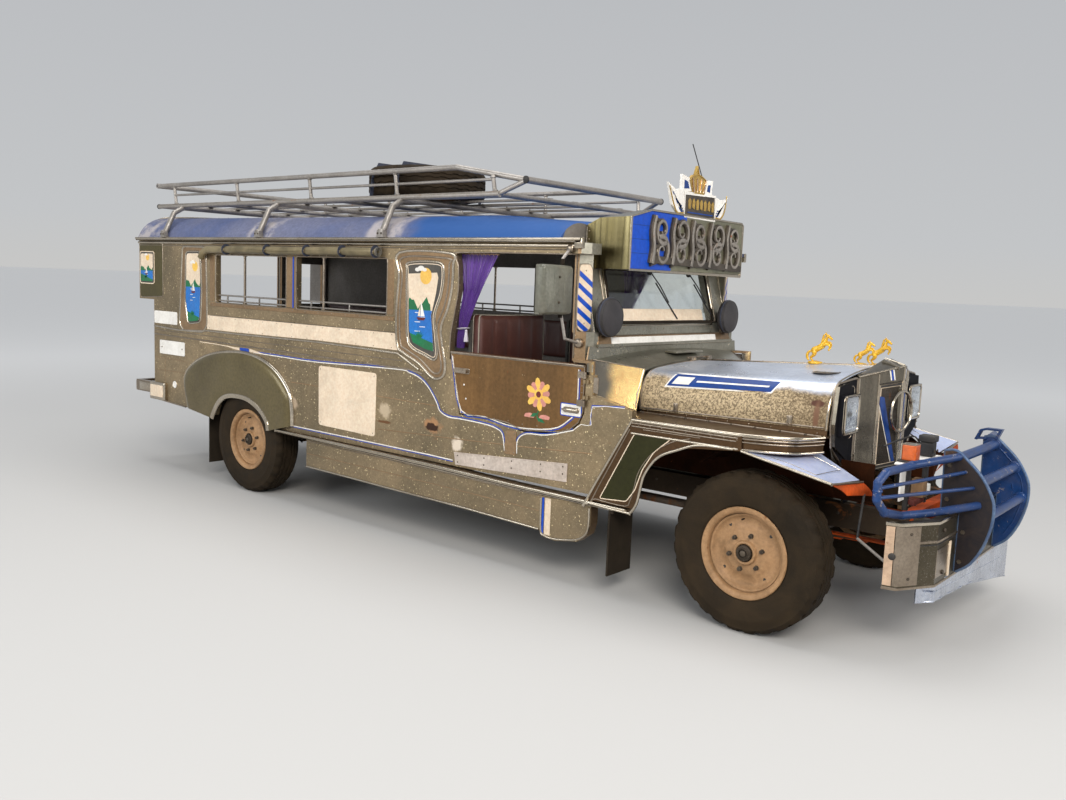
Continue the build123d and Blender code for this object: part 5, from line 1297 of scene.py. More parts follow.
    # dark quarter panel with its small picture, blank boards and plate
    quarter = rounded([(-5528, 1812), (-5172, 1812), (-5172, 1392), (-5500, 1374), (-5528, 1390)], 18, 3)
    p.plate(quarter, y, "tail_olive", 1, s, 2.6)
    bead(quarter, 7, 4.5, "worn_chrome", True)
    small_out = rounded([(-5518, 1742), (-5300, 1742), (-5300, 1488), (-5518, 1488)], 22, 3)
    p.plate(small_out, y, "grey_panel", 1, s, 4.6)
    bead(small_out, 8, 3.0, "cream", True, True, 3.0)
    seascape(p, rounded(inset([(-5518, 1742), (-5300, 1742), (-5300, 1488), (-5518, 1488)], 16), 14, 2), y, s, -5409, 1590, 112)
    p.plate(rounded([(-5306, 1274), (-4962, 1274), (-4962, 1174), (-5306, 1174)], 8, 2), y, "white", 1, s, 3.0)
    plate = rounded([(-5227, 1044), (-4852, 1044), (-4852, 933), (-5227, 933)], 12, 3)
    p.plate(plate, y, "white", 1, s, 2.2)
    bead(plate, 5, 3.2, "worn_chrome", True)
    for x in (-5190, -4890):
        p.bolt((x, y + s * 2, 988), up, 5, "worn_chrome", 5)
    p.lathe([(29, -0.5), (29, 2.0), (26, 3.2), (22, 2.2), (0.001, 2.0)], (-5004, y, 700), up, "white", 32)
    p.lathe([(30, 0), (31, 2.5), (29, 4), (27, 2.5), (27, 0)], (-5004, y, 700), up, "chrome", 32, True)
    # tail seams
    for path in ([(-5300, 900), (-4850, 896)], [(-5300, 800), (-4850, 802)], [(-5150, 1080), (-5150, 560)]):
        bead(path, 5, 1.4, "plain_steel")
    # low sill bead
    bead([(-5306, 560), (-4840, 538)], 14, 7, "worn_chrome")
    p.done(36)

    # gutter: two polished ridges with a dark channel between
    g = Piece(side + "_gutter", "root", "polished_steel")
    g.bead([(-5538, s * 905, 1848), (-1004, s * 905, 1848)], 17, 8, up, "chrome")
    g.bead([(-5538, s * 903, 1834), (-1004, s * 903, 1834)], 5, 2, up, "grease", flat=True)
    g.bead([(-5538, s * 875, 1816), (-1044, s * 875, 1816)], 24, 14, up, "chrome")
    g.bead([(-5538, s * 875, 1795), (-1044, s * 875, 1795)], 8, 5, up, "worn_chrome")
    g.block(-1046, -998, s * 873, s * 905, 1800, 1856, "chrome", 7)
    for k in range(31):
        g.rivet((-5500 + k * 150, s * 888, 1856), (0, 0, 1), 4.5)
    g.done(36)

    # bars across the window openings
    b = Piece(side + "_window_bars", "root", "rack_steel")
    for z in (1431, 1391):
        b.tube([(-4416, s * 851, z), (-3492, s * 851, z)], 6.5, "tube", 10)
        b.tube([(-3432, s * 851, z), (-2517, s * 851, z)], 6.5, "tube", 10)
    for x in (-4080, -3170):
        b.tube([(x, s * 850, 1378), (x, s * 850, 1726)], 9, "worn_chrome", 12)
        for z in (1380, 1722):
            b.lathe([(16, -2), (16, 3), (11, 5), (9, 5)], (x, s * 850, z), (0, 0, 1), "worn_chrome", 16)
    for x in (-4300, -3900, -3300, -2900):
        b.block(x - 5, x + 5, s * 846, s * 856, 1378, 1432, "tube", 2)
    b.done(40)

    q = Piece(side + "_pillar_trim", "root")
    # upright mouldings of the pillar and the cab opening
    q.bead([(-912, s * 875, 1165), (-912, s * 875, 1205)], 10, 6, up, "chrome")
    q.bead([(-1097, s * 802, 1224), (-1097, s * 802, 1776)], 10, 6, up, "worn_chrome")
    for z in (1245, 1345, 1480, 1620, 1740):
        q.rivet((-1090, s * 802, z), up, 4.0)
    q.bead([(x, s * 875, z) for x, z in curve([(-1050, 1772), (-1900, 1772), (-1925, 1740), (-1903, 1690), (-1898, 1560), (-1922, 1430),
                                               (-1950, 1300), (-1955, 1205)], 3)], 9, 5, up, "worn_chrome")
    q.plate([(-900, 1060), (-870, 1054), (-870, 1140), (-900, 1140)], s * 875, "worn_chrome", 1, s, 3)
    q.done(38)

    # striped end box and polished edges of the running board and skirt
    r = Piece(side + "_board_trim", "root", "polished_steel")
    r.bead([(x, s * 905, z) for x, z in ((-3618, 515), (-3300, 514), (-2069, 506), (-1420, 492), (-646, 485))], 13, 6, up, "chrome")
    r.bead([(x, s * 905, z) for x, z in ((-3618, 503), (-2069, 490), (-1420, 478), (-646, 472))], 6, 3, up, "grease")
    r.bead([(x, s * 880, z) for x, z in ((-3296, 303), (-2823, 298), (-2392, 291), (-1810, 286), (-1460, 276), (-1222, 270))], 15, 9, up, "chrome")
    r.bead([(x, s * 880, z) for x, z in ((-3290, 480), (-2069, 470), (-1230, 458))], 7, 4, up, "worn_chrome")
    r.bead([(x, s * 880, z) for x, z in ((-3290, 392), (-2069, 384), (-1230, 372))], 6, 2, up, "plain_steel")
    edge = [(-1214, 448), (-1210, 266), (-1184, 242), (-1112, 236), (-966, 262), (-902, 306), (-886, 362), (-886, 448)]
    edge = [(x, s * 880, z) for x, z in curve(edge, 4)]
    r.bead(edge, 13, 8, up, "chrome")
    r.plate([(-1206, 452), (-1206, 262), (-1192, 250), (-1192, 452)], s * 880, "blue", 1, s, 1.4)
    r.plate([(-1186, 452), (-1186, 248), (-1146, 246), (-1146, 452)], s * 880, "cream", 1, s, 1.2)
    # chequered tread on the top of the board
    for k in range(58):
        x = -3560 + k * 50
        z = 519 if x < -2069 else 510 - (x + 2069) * 0.0204
        z = 518 - (x + 3600) * 0.00523 if x < -2069 else (510 - (x + 2069) * 0.0216 if x < -1420 else 496 - (x + 1420) * 0.01026)
        for j, yy in enumerate((842, 858, 874, 890)):
            d = 7 if (k + j) % 2 else -7
            r.bead([(x - 9, s * (yy - d * 0.5), z), (x + 9, s * (yy + d * 0.5), z)], 4, 1.8, (0, 0, 1), "worn_chrome", seg=3)
    r.done(40)


for side, s in SIDES:
    side_trim(side, s)


# ---------------------------------------------------------------------------
# Door overlays, riding the door leaves
# ---------------------------------------------------------------------------
def door_trim(side, s):
    p = Piece(side + "_door_trim", side + "_door_leaf", "polished_steel")
    y, up = s * 875, (0, s, 0)
    line = curve([(-1930, 1172), (-1915, 1100), (-1847, 858), (-1660, 842), (-1422, 812), (-1169, 834), (-1058, 892), (-1004, 968), (-1000, 1172)], 3)
    p.bead(on_side(line, y), 6, 1.4, up, "white", flat=True)
    p.bead(on_side(shift(line, -9), y), 5, 1.1, up, "blue", flat=True)
    # raised rim along the leaf's edge
    edge = [(-962, 1182), (-962, 952), (-988, 893), (-1042, 849), (-1111, 826), (-1335, 804), (-1389, 806), (-1486, 830), (-1560, 836),
            (-1852, 842), (-1940, 1182)]
    p.bead(on_side(edge, y), 7, 4, up, "worn_chrome")
    p.bead([(-964, s * 878, 1193), (-1940, s * 878, 1193)], 13, 6, up, "worn_chrome")
    for k in range(7):
        p.rivet((-974, y, 1160 - k * 36), up, 3.6)
    for k in range(8):
        p.rivet((-1060 - k * 105, y, 846 - k * 4 if k < 4 else 842), up, 3.6)
    for x, z in ((-1830, 1010), (-1812, 930)):
        p.rivet((x, y, z), up, 6, "white")
    # latch at the front edge: white box with a blue edge, cast lever
    box = rounded([(-1108, 985), (-971, 985), (-971, 920), (-1108, 920)], 8, 2)
    p.plate(box, y, "white", 1, s, 2.0)
    p.bead(on_side(box, y + s * 1.6), 5, 1.2, up, "blue", True, flat=True)
    p.plate(rounded([(-1090, 968), (-985, 968), (-985, 938), (-1090, 938)], 12, 3), y + s * 1.5, "worn_chrome", 1, s, 5)
    p.taper([(-992, y + s * 12, 954), (-1020, y + s * 16, 955), (-1060, y + s * 17, 955), (-1092, y + s * 14, 953)], [6, 9, 10, 5], "chrome", 14, 0.8)
    p.lathe([(11, 4), (11, 10), (8, 14), (0.001, 14)], (-1000, y, 954), up, "chrome", 18)
    # generic flower, painted
    c = Vector((-1266, 1012))
    for k in range(12):
        a = math.radians(30 * k + 8)
        d, n = Vector((math.cos(a), math.sin(a))), Vector((-math.sin(a), math.cos(a)))
        r0, r1, w = 24, (92 if k % 2 else 78), 19
        pet = [tuple(c + d * r0 - n * 5), tuple(c + d * (r0 + r1) * 0.55 - n * w), tuple(c + d * r1 * 0.94 - n * w * 0.6), tuple(c + d * r1),
               tuple(c + d * r1 * 0.94 + n * w * 0.6), tuple(c + d * (r0 + r1) * 0.55 + n * w), tuple(c + d * r0 + n * 5)]
        p.plate(pet, y, "sun" if k % 2 else "pink", 1, s, 1.2 if k % 2 else 0.8, 0.3)
    p.plate(disc_outline(c.x, c.y, 30, 20), y, "sun", 1, s, 1.8, 0.4)
    p.plate(disc_outline(c.x, c.y, 17, 20), y, "maroon", 1, s, 2.3, 0.4)
    stem = curve([(c.x + 4, c.y - 86), (c.x - 6, c.y - 120), (c.x + 10, c.y - 148)], 4)
    p.bead(on_side(stem, y), 7, 1.2, up, "green", flat=True)
    for q, a in ((0.35, 205), (0.65, -25)):
        base = Vector(stem[int(q * (len(stem) - 1))])
        d = Vector((math.cos(math.radians(a)), math.sin(math.radians(a))))
        n = Vector((-d.y, d.x))
        p.plate([tuple(base), tuple(base + d * 30 - n * 11), tuple(base + d * 60), tuple(base + d * 30 + n * 11)], y, "green", 1, s, 1.2, 0.3)
    for x in (-1322, -1216):
        p.plate(rounded([(x - 44, 880), (x + 30, 880), (x + 36, 896), (x + 2, 906), (x - 34, 900)], 8, 3), y, "pink", 1, s, 1.0, 0.3)
    # handle's base plate
    p.plate(rounded([(-1912, 1106), (-1788, 1106), (-1788, 1074), (-1912, 1074)], 8, 2), y, "worn_chrome", 1, s, 3)
    # inside: pull and lining edge
    p.bead([(-1000, s * 835, 1165), (-1900, s * 835, 1165)], 20, 4, (0, -s, 0), "worn_chrome")
    p.tube([(-1120, s * 835, 1110), (-1125, s * 812, 1110), (-1260, s * 812, 1110), (-1265, s * 835, 1110)], 6, "worn_chrome", 10)
    p.done(36)


for side, s in SIDES:
    door_trim(side, s)


# ---------------------------------------------------------------------------
# Rear fenders: pressed covers with a rounded shoulder and a wide arch lip
# ---------------------------------------------------------------------------
R_OUT = curve([(-4786, 545), (-4836, 764), (-4719, 886), (-4469, 981), (-4139, 1024), (-3870, 1005), (-3655, 926), (-3509, 802),
               (-3470, 690), (-3462, 560)], 6)
R_ARCH = curve([(-4440, 505), (-4422, 545), (-4350, 640), (-4254, 697), (-4120, 718), (-3956, 708), (-3803, 645), (-3715, 562), (-3700, 500)], 6)


def at_share(path, f):
    """Point at a share of a 2-D line's length."""
    seg = [(Vector(b) - Vector(a)).length for a, b in zip(path, path[1:])]
    d = f * sum(seg)
    for i, l in enumerate(seg):
        if d <= l or i == len(seg) - 1:
            return Vector(path[i]).lerp(Vector(path[i + 1]), min(1.0, d / l if l else 0))
        d -= l


def rear_fender(side, s):
    p = Piece(side + "_rear_fender_pressed", "root", "olive_paint")
    DEPTHS = [0, 1.5, 5, 11, 20, 32, 46, 62, 90, 120]

    def face(u, v):
        o, a = at_share(R_OUT, u), at_share(R_ARCH, u)
        k = round(v * 16)
        span = (a - o).length
        d = DEPTHS[k] if k < len(DEPTHS) else 120 + (span - 120) * (k - 9) / 7
        d = min(d, span * (k / 16.0) if k > 9 else d)
        q = o + (a - o) * (d / span)
        f = min(1.0, d / 62.0)
        y = 876 + 32 * math.sqrt(max(0.0, 1 - (1 - f) ** 2))
        e = max(0.0, 1 - (span - d) / 30.0)
        return q.x, s * (y - 3 * e), q.y

    p.grid(face, 72, 16, "rear_fender", 4.0)
    o = p.done(60)
    t = Piece(side + "_rear_fender_trim", "root", "polished_steel")
    rim = [at_share(R_OUT, k / 60) for k in range(61)]
    t.bead([(q.x, s * 876, q.y) for q in rim], 34, 20, (0, s, 0), "chrome", seg=8)
    lip = [at_share(R_ARCH, k / 48) for k in range(49)]
    t.sweep([(q.x, s * 900, q.y) for q in lip], [(-4, 0), (30, 0), (33, 4), (30, 10), (12, 14), (-2, 12), (-6, 6)], "chrome", up=(0, s, 0))
    inner = [at_share([tuple(q) for q in (at_share(R_OUT, k / 60) * 0.86 + at_share(R_ARCH, k / 60) * 0.14 for k in range(61))], k / 60) for k in range(61)]
    t.bead([(q.x, s * 907, q.y) for q in inner[3:58]], 5, 1.8, (0, s, 0), "chrome")
    t.bead([(-4579, s * 907.5, 795), (-4060, s * 907.5, 792), (-3690, s * 907.5, 784)], 7, 1.6, (0, s, 0), "white", flat=True)
    t.bead([(-4579, s * 907.5, 804), (-4060, s * 907.5, 801), (-3690, s * 907.5, 793)], 6, 1.3, (0, s, 0), "blue", flat=True)
    badge = rounded([(-4306, 906), (-3800, 898), (-3800, 818), (-4306, 822)], 36, 5)
    t.plate(badge, s * 907.5, "cream", 1, s, 2.2)
    t.bead(on_side(badge, s * 908.5), 6, 2.6, (0, s, 0), "gold", True)
    t.done(45)
    return [o]


for side, s in SIDES:
    made = rear_fender(side, s)
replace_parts(bpy.data.objects["left_rear_fender_pressed"], "rear_fenders")
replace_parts(bpy.data.objects["right_rear_fender_pressed"], "rear_fenders")


# ---------------------------------------------------------------------------
# Front fenders
# ---------------------------------------------------------------------------
def front_fender(side, s):
    p = Piece(side + "_front_fender_trim", "root", "polished_steel")
    y, up = s * 905, (0, s, 0)
    plan = curve([(-628, 905), (-240, 905), (-10, 893), (165, 815), (228, 725), (262, 640)], 5)

    def along(z, out, w, h, mat="chrome", a=0, b=None):
        pts = plan[a:b]
        line = []
        for i, (x, yy) in enumerate(pts):
            q0, q1 = Vector(pts[max(i - 1, 0)]), Vector(pts[min(i + 1, len(pts) - 1)])
            d = (q1 - q0).normalized()
            n = Vector((-d.y, d.x)) if d.x >= 0 else Vector((d.y, -d.x))
            n = Vector((abs(d.y), abs(d.x)))
            line.append((x + n.x * out, s * (yy + n.y * out), z))
        return line
    p.tube(along(953, 1, 0, 0), 9.5, "chrome", 12)
    p.tube(along(938, 2, 0, 0), 5.0, "worn_chrome", 10)
    p.tube(along(922, 1.5, 0, 0), 4.0, "worn_chrome", 10)
    p.tube(along(886, 1, 0, 0), 6.5, "chrome", 10)
    # skirt: outline bead, olive panel with its pinstripe
    edge = curve([(-628, 952), (-890, 497), (-872, 484), (-640, 474), (-612, 480), (-578, 530), (-560, 610), (-538, 690), (-466, 786), (-352, 840),
                  (-240, 878), (-60, 884)], 4)
    p.bead(on_side(edge, y), 15, 8, up, "chrome")
    inner = curve([(-640, 905), (-846, 522), (-830, 512), (-650, 506), (-618, 540), (-598, 606), (-572, 700), (-500, 800), (-392, 872), (-290, 902)], 4)
    p.bead(on_side(inner, y), 7, 4, up, "worn_chrome")
    olive = [(-609, 886), (-392, 890), (-492, 806), (-553, 709), (-591, 600), (-640, 532), (-806, 520)]
    olive = rounded(olive, 14, 3)
    tri = [olive]
    # the panel is convex enough in two halves
    p.plate(clip(olive, 0, 1, 700), y, "olive", 1, s, 2.2)
    p.plate(clip(olive, 0, -1, -700), y, "olive", 1, s, 2.2)
    p.bead(on_side(olive, y + s * 1.4), 5, 1.8, up, "cream", True, flat=True)
    # upper band line
    p.bead([(-560, y, 911), (-239, y, 913)], 5, 2.5, up, "worn_chrome")
    # wing: bound edge, pressed panel lines on top
    out_edge = [(-20, 905, 884), (90, 905, 862), (200, 905, 842), (310, 905, 821), (421, 905, 800)]
    p.tube([(x, s * yy, z - 3) for x, yy, z in out_edge], 6.5, "chrome", 10)
    front_edge = curve([(421, 905, 798), (430, 820, 792), (436, 720, 783), (440, 590, 770)], 4)
    p.tube([(x, s * yy, z - 3) for x, yy, z in front_edge], 6.0, "worn_chrome", 10)

    def wing_top(x, yy):
        t = (x + 20) / 441
        zo = 884 - 84 * t
        zi = 886 - 2 * min(1.0, (x + 20) / 245) if x < 225 else 884 - 112 * (x - 225) / 215
        yi = 700 - 112 * min(1.0, (x + 20) / 245) if x < 225 else 590 - 10 * (x - 225) / 215
        f = min(1.0, max(0.0, (905 - yy) / (905 - yi)))
        return zo + (zi - zo) * f
    lines = [[(60, 850), (330, 862)], [(60, 850), (180, 690)], [(180, 690), (352, 640)], [(330, 862), (352, 640)]]
    for q in lines:
        (x0, y0), (x1, y1) = q
        pts = [(x0 + (x1 - x0) * k / 12, y0 + (y1 - y0) * k / 12) for k in range(13)]
        p.bead([(a, s * b, wing_top(a, b)) for a, b in pts], 4, 1.8, (0, 0, 1), "chrome")
    # valance: rust-orange skirt hanging from the wing's front and outer edge
    def valance(u, v):
        e = Vector(front_edge[0]).lerp(Vector(front_edge[-1]), u)
        low = Vector((448, 470 + 320 * (1 - u) ** 1.2, 690 + 50 * (1 - u)))
        q = e.lerp(low, v)
        return q.x + 10 * math.sin(v * math.pi), s * q.y, q.z - 5
    p.grid(valance, 14, 6, "orange", 3.0)
    # inner liner bow over the wheel, clear of the tyre, in the near-black painted shade
    def liner(u, v):
        a = math.radians(50 + 82 * u)
        return 470 * math.cos(a) * 0.99 - 20, s * (452 + 270 * v), min(868, 412 + 470 * math.sin(a))
    p.grid(liner, 26, 4, "arch", 2.5)
    for k in range(9):
        x = -590 + k * 68
        p.rivet((x, y, 930), up, 3.2)
    # fender stay and flange on the deck
    p.bead([(x, s * 618, 955) for x in (-770, -500, -200, 100, 240)], 14, 5, (0, 0, 1), "worn_chrome")
    for k in range(8):
        p.bolt((-740 + k * 130, s * 640, 955), (0, 0, 1), 6, "nut", 6)
    p.done(38)


for side, s in SIDES:
    front_fender(side, s)

# fixed inner skirt that closes the gap between the hood's low edge and the deck
k_ = Piece("hood_skirt", "root", "hood_steel")
for s in (1, -1):
    k_.grid(lambda u, v, s=s: (-778 + 1030 * u, s * (hood_side(-778 + 1030 * u, 1012) - 15 + 3 * (1 - v)), 951 + 46 * v), 22, 2, "fender_steel", 2.0)
    for k in range(9):
        x = -740 + k * 118
        k_.rivet((x, s * (hood_side(x, 1012) - 13.6), 964), (0, s, 0), 3.6)
k_.done(38)


# ---------------------------------------------------------------------------
# Nose: prow faces with grille, columns, lamp panels, header
# ---------------------------------------------------------------------------
class On:
    """A flat place in space: u across, w up, n outwards."""

    def __init__(self, o, u, w):
        self.o, self.u, self.w = Vector(o), Vector(u).normalized(), Vector(w).normalized()
        self.n = self.u.cross(self.w)

    def at(self, a, b, h=0.0):
        return self.o + self.u * a + self.w * b + self.n * h

    def plate(self, piece, outline, mat, t, h=0.0, edge=1.0):
        k = len(outline)
        e = min(edge, t * 0.45)
        rings = [[self.at(a, b, h - 0.6) for a, b in outline], [self.at(a, b, h + t - e) for a, b in outline],
                 [self.at(a, b, h + t) for a, b in inset(outline, e)]]
        faces = [(i * k + j, i * k + (j + 1) % k, (i + 1) * k + (j + 1) % k, (i + 1) * k + j) for i in range(2) for j in range(k)]
        faces += [tuple(2 * k + j for j in range(k)), tuple(range(k - 1, -1, -1))]
        piece.add([p for r in rings for p in r], faces, mat)

    def bead(self, piece, path, w, hh, mat, closed=False, flat=False, h=0.0):
        piece.bead([self.at(a, b, h) for a, b in path], w, hh, self.n, mat, closed, flat=flat)


def nose(side, s):
    p = Piece(side + "_nose", "root", "lamp_panel")
    # prow face: a runs from the apex outwards, b is the height
    face = On((384, 0, 0), (-100, s * 347, 0), (0, 0, 1))
    if face.n.x < 0:
        face.n = -face.n
    def top(a):
        return 1271 - a * 49 / 361
    face.plate(p, [(0, 764), (196, 752), (196, top(196) - 2), (0, top(0) - 2)], "grille", 3.0)
    face.plate(p, [(198, 704), (361, 728), (361, top(361)), (198, top(198))], "column", 9.0, edge=4)
    face.bead(p, [(204, 720), (204, top(204) - 8)], 9, 5, "chrome", h=8.6)
    face.bead(p, [(354, 736), (354, top(354) - 4)], 9, 5, "chrome", h=8.6)
    frame_line = [(6, 772), (188, 762), (192, 1180), (6, 1192)]
    face.bead(p, frame_line, 12, 9, "chrome", True, h=2.6)
    face.bead(p, inset(frame_line, 16), 5, 4, "cream", True, h=2.6)
    for k in range(21):
        a = 22 + k * 7.9
        face.bead(p, [(a, 784), (a, 1170)], 3.2, 3.4, "relief", h=2.6)
    for k in range(6):
        b = 820 + k * 62
        face.bead(p, [(16, b), (180, b - 6)], 3, 4.4, "grille", h=2.6)
    face.plate(p, [(150, 1120), (184, 1126), (184, 1090), (52, 790), (28, 791)], "navy", 3.0, h=6.4)
    face.bead(p, [(188, 1084), (60, 790)], 4, 2, "white", flat=True, h=7)
    face.plate(p, [(14, 786), (26, 786), (40, 1164), (14, 1172)], "column", 2.4, h=6.4)
    # header face over the grille, with blue and white strokes
    face.plate(p, [(0, 1198), (196, 1186), (196, top(196)), (0, top(0))], "column", 7.0, edge=3)
    for a, m in ((70, "white"), (84, "blue"), (98, "white")):
        face.plate(p, [(a, 1204), (a + 10, 1203), (a + 26, top(a) - 6), (a + 16, top(a) - 6)], m, 1.6, h=6.6)
    # lamp panel, turned slightly outwards, in the near-black painted reflection
    pan = On((286, s * 352, 0), (-30, s * 226, 0), (0, 0, 1))
    if pan.n.x < 0:
        pan.n = -pan.n
    panel = rounded([(2, 742), (60, 772), (206, 896), (224, 1010), (200, 1176), (184, 1200), (2, 1222)], 16, 3)
    pan.plate(p, panel, "lamp_panel", 4.0)
    pan.bead(p, panel, 11, 7, "worn_chrome", True, h=2.4)
    pan.bead(p, rounded([(24, 930), (190, 934), (196, 1010), (182, 1176), (24, 1186)], 26, 4), 5, 2.4, "chrome", True, h=3.6)
    for a, m in ((92, "white"), (106, "blue"), (120, "white")):
        pan.plate(p, [(a, 1156), (a + 9, 1156), (a + 13, 1198), (a + 4, 1198)], m, 1.4, h=3.6)
    # square headlamp: bezel, reflector, bulb, lens
    lamp = On((305.5, s * 445, 0), (0, s, 0), (0, 0, 1))
    if lamp.n.x < 0:
        lamp.n = -lamp.n
    outer = rounded([(-88, 958), (88, 958), (88, 1148), (-88, 1148)], 34, 6)
    hole = inset(outer, 13)
    k = len(outer)
    rings = [[lamp.at(a, b, -1) for a, b in outer], [lamp.at(a, b, 5) for a, b in outer], [lamp.at(a, b, 9) for a, b in inset(outer, 4)],
             [lamp.at(a, b, 8) for a, b in inset(outer, 10)], [lamp.at(a, b, 2) for a, b in hole]]
    p.add([q for r in rings for q in r], [(i * k + j, i * k + (j + 1) % k, (i + 1) * k + (j + 1) % k, (i + 1) * k + j) for i in range(4) for j in range(k)],
          "chrome")
    cen = (0.0, 1053.0)
    bowls = []
    for f, d in ((1.0, 2.5), (0.86, -2), (0.66, -7), (0.42, -11), (0.2, -12.5)):
        bowls.append([lamp.at(cen[0] + (a - cen[0]) * f, cen[1] + (b - cen[1]) * f, d) for a, b in hole])
    m = len(bowls)
    p.add([q for r in bowls for q in r], [(i * k + j, i * k + (j + 1) % k, (i + 1) * k + (j + 1) % k, (i + 1) * k + j) for i in range(m - 1) for j in range(k)]
          + [tuple((m - 1) * k + j for j in range(k))], "reflector")
    p.lathe([(9, -12), (9, -2), (6, 2), (0.001, 3)], lamp.at(0, 1053, 0), lamp.n, "lens", 16)
    p.lathe([(14, -11), (14, -8), (9, -7)], lamp.at(0, 1053, 0), lamp.n, "worn_chrome", 16)
    dome = []
    for f, d in ((1.0, 3.5), (0.9, 6), (0.7, 8.5), (0.4, 10.5), (0.15, 11.2)):
        dome.append([lamp.at(cen[0] + (a - cen[0]) * f, cen[1] + (b - cen[1]) * f, d) for a, b in inset(outer, 12.5)])
    back = [[q - lamp.n * 3.0 for q in r] for r in dome]
    m = len(dome)
    skin = dome + back[::-1]
    p.add([q for r in skin for q in r], [(i * k + j, i * k + (j + 1) % k, (i + 1) * k + (j + 1) % k, (i + 1) * k + j)
                                         for i in range(2 * m - 1) if i != m - 1 for j in range(k)]
          + [tuple((m - 1) * k + j for j in range(k)), tuple(m * k + j for j in range(k - 1, -1, -1))]
          + [((2 * m - 1) * k + j, (2 * m - 1) * k + (j + 1) % k, (j + 1) % k, j) for j in range(k)], "lens")
    for i in range(9):
        a = -64 + i * 16
        lamp.bead(p, [(a, 990), (a, 1116)], 3, 1.6, "lens", h=9.4 - (a / 60.0) ** 2 * 2.2)
    for a, b in ((-78, 966), (78, 966), (-78, 1140), (78, 1140)):
        p.rivet(lamp.at(a, b, 7), lamp.n, 4, "worn_chrome")
    lamp.bead(p, rounded([(-97, 960 - 2), (97, 958), (97, 1145), (-97, 1145)], 36, 6), 5, 3, "chrome", True, h=0)
    # lower valance below the lamp
    p.plate([(s * 250, 738), (s * 400, 700), (s * 520, 780), (s * 560, 900), (s * 540, 905), (s * 250, 760)], 262, "column", 0, 1, 3)
    p.done(38)


for side, s in SIDES:
    nose(side, s)

head = Piece("nose_header", "root", "polished_steel")
RIDGE, APEX = (288, 0, 1299), (384, 0, 1273)
for s in (1, -1):
    a, b, c = Vector(RIDGE), Vector(APEX), Vector((286, s * 347, 1226))
    d = Vector((262, s * 300, 1224))
    e = Vector((262, 0, 1292))

    def cap(u, v, a=a, b=b, c=c, d=d, e=e):
        front_q = b.lerp(c, u)
        ridge_q = a.lerp(d + Vector((10, 0, 4)), u)
        q = front_q.lerp(ridge_q, v)
        return q.x, q.y, q.z + 3 * math.sin(v * math.pi)
    head.grid(cap, 10, 6, "column", 3.0)
    head.tube([tuple(b + Vector((4, 0, 0))), tuple(c + Vector((4, 0, 0)))], 5.5, "chrome", 10)
    head.tube([tuple(a), tuple(d + Vector((6, 0, 2)))], 4.5, "chrome", 10)
head.tube([(286, 0, 1302), (388, 0, 1275)], 7, "chrome", 12)
# front spear down the apex, plain ring badge
head.bead([(386, 0, 758), (388, 0, 1180), (388, 0, 1268)], 16, 8, (1, 0, 0), "chrome")
ring = On((392, -26, 1046), (0.16, 1, 0), (0, 0, 1))
if ring.n.x < 0:
    ring.n = -ring.n
head.lathe([(96, 0), (107, 2), (109, 8), (105, 13), (98, 13), (94, 8), (94, 2)], tuple(ring.o), tuple(ring.n), "chrome", 56, True)
# flat sill under the prow
head.block(272, 372, -120, 120, 742, 762, "column", 6)
head.done(40)


# ---------------------------------------------------------------------------
# Cab front: windscreen surround, wipers, boards, lamp covers, mirrors
# ---------------------------------------------------------------------------
c = Piece("cab_front", "root", "hood_steel")
# gasket round the glass
gas = rounded([(-558, 1414), (558, 1414), (547, 1710), (-547, 1710)], 30, 5)
c.sweep([(-994, y, z) for y, z in gas], [(-9, 0), (9, 0), (9, 4), (4, 7), (-4, 7), (-9, 4)], "rubber", True, up=(1, 0, 0))
c.sweep([(-994, y, z) for y, z in inset(gas, -17)], [(-5, 0), (5, 0), (4, 4), (0, 6), (-4, 4)], "chrome", True, up=(1, 0, 0))
# blank cream board at the foot of the glass
c.plate(rounded([(-552, 1418), (452, 1418), (450, 1490), (-550, 1490)], 8, 2), -1000, "cream", 0, 1, 5, back=-3)
# riveted strip and the ledge with its blank board
c.plate([(-629, 1346), (567, 1346), (567, 1408), (-629, 1408)], -995, "cowl", 0, 1, 4)
for k in range(17):
    c.rivet((-991, -600 + k * 71, 1377), (1, 0, 0), 4.5)
c.plate([(-733, 1290), (733, 1290), (716, 1344), (-716, 1344)], -995, "plain_steel", 0, 1, 16)
c.plate(rounded([(-604, 1296), (541, 1296), (541, 1336), (-604, 1336)], 5, 2), -979, "white", 0, 1, 2.5)
c.bead([(-986, -733, 1288), (-986, 733, 1288)], 13, 9, (1, 0, 0), "chrome")
c.bead([(-994, -640, 1412), (-994, 640, 1412)], 10, 7, (1, 0, 0), "worn_chrome")
# wipers
for s in (-1, 1):
    base = (-984, 120 + s * 220, 1700)
    tip = (-984, base[1] + 150, 1530)
    c.lathe([(15, -10), (15, 2), (10, 9), (0.001, 10)], base, (1, 0, 0), "black", 20)
    c.tube([(-976, base[1], base[2]), (-972, (base[1] + tip[1]) / 2, (base[2] + tip[2]) / 2 + 6), (-980, tip[1], tip[2])], 4, "black", 8)
    c.sweep([(-987, tip[1] - 95, tip[2] + 112), (-988, tip[1], tip[2]), (-987, tip[1] + 85, tip[2] - 98)], [(-4, 0), (4, 0), (1.2, -8), (-1.2, -8)],
            "black", up=(1, 0, 0))
# upright door posts seen through the glass edge, hinge seams on the scuttle
for s in (-1, 1):
    c.bead([(-994, s * 724, 1262), (-994, s * 724, 1826)], 8, 5, (1, 0, 0), "chrome")
    c.bead([(-994, s * 600, 1420), (-994, s * 590, 1790)], 9, 5, (1, 0, 0), "worn_chrome")
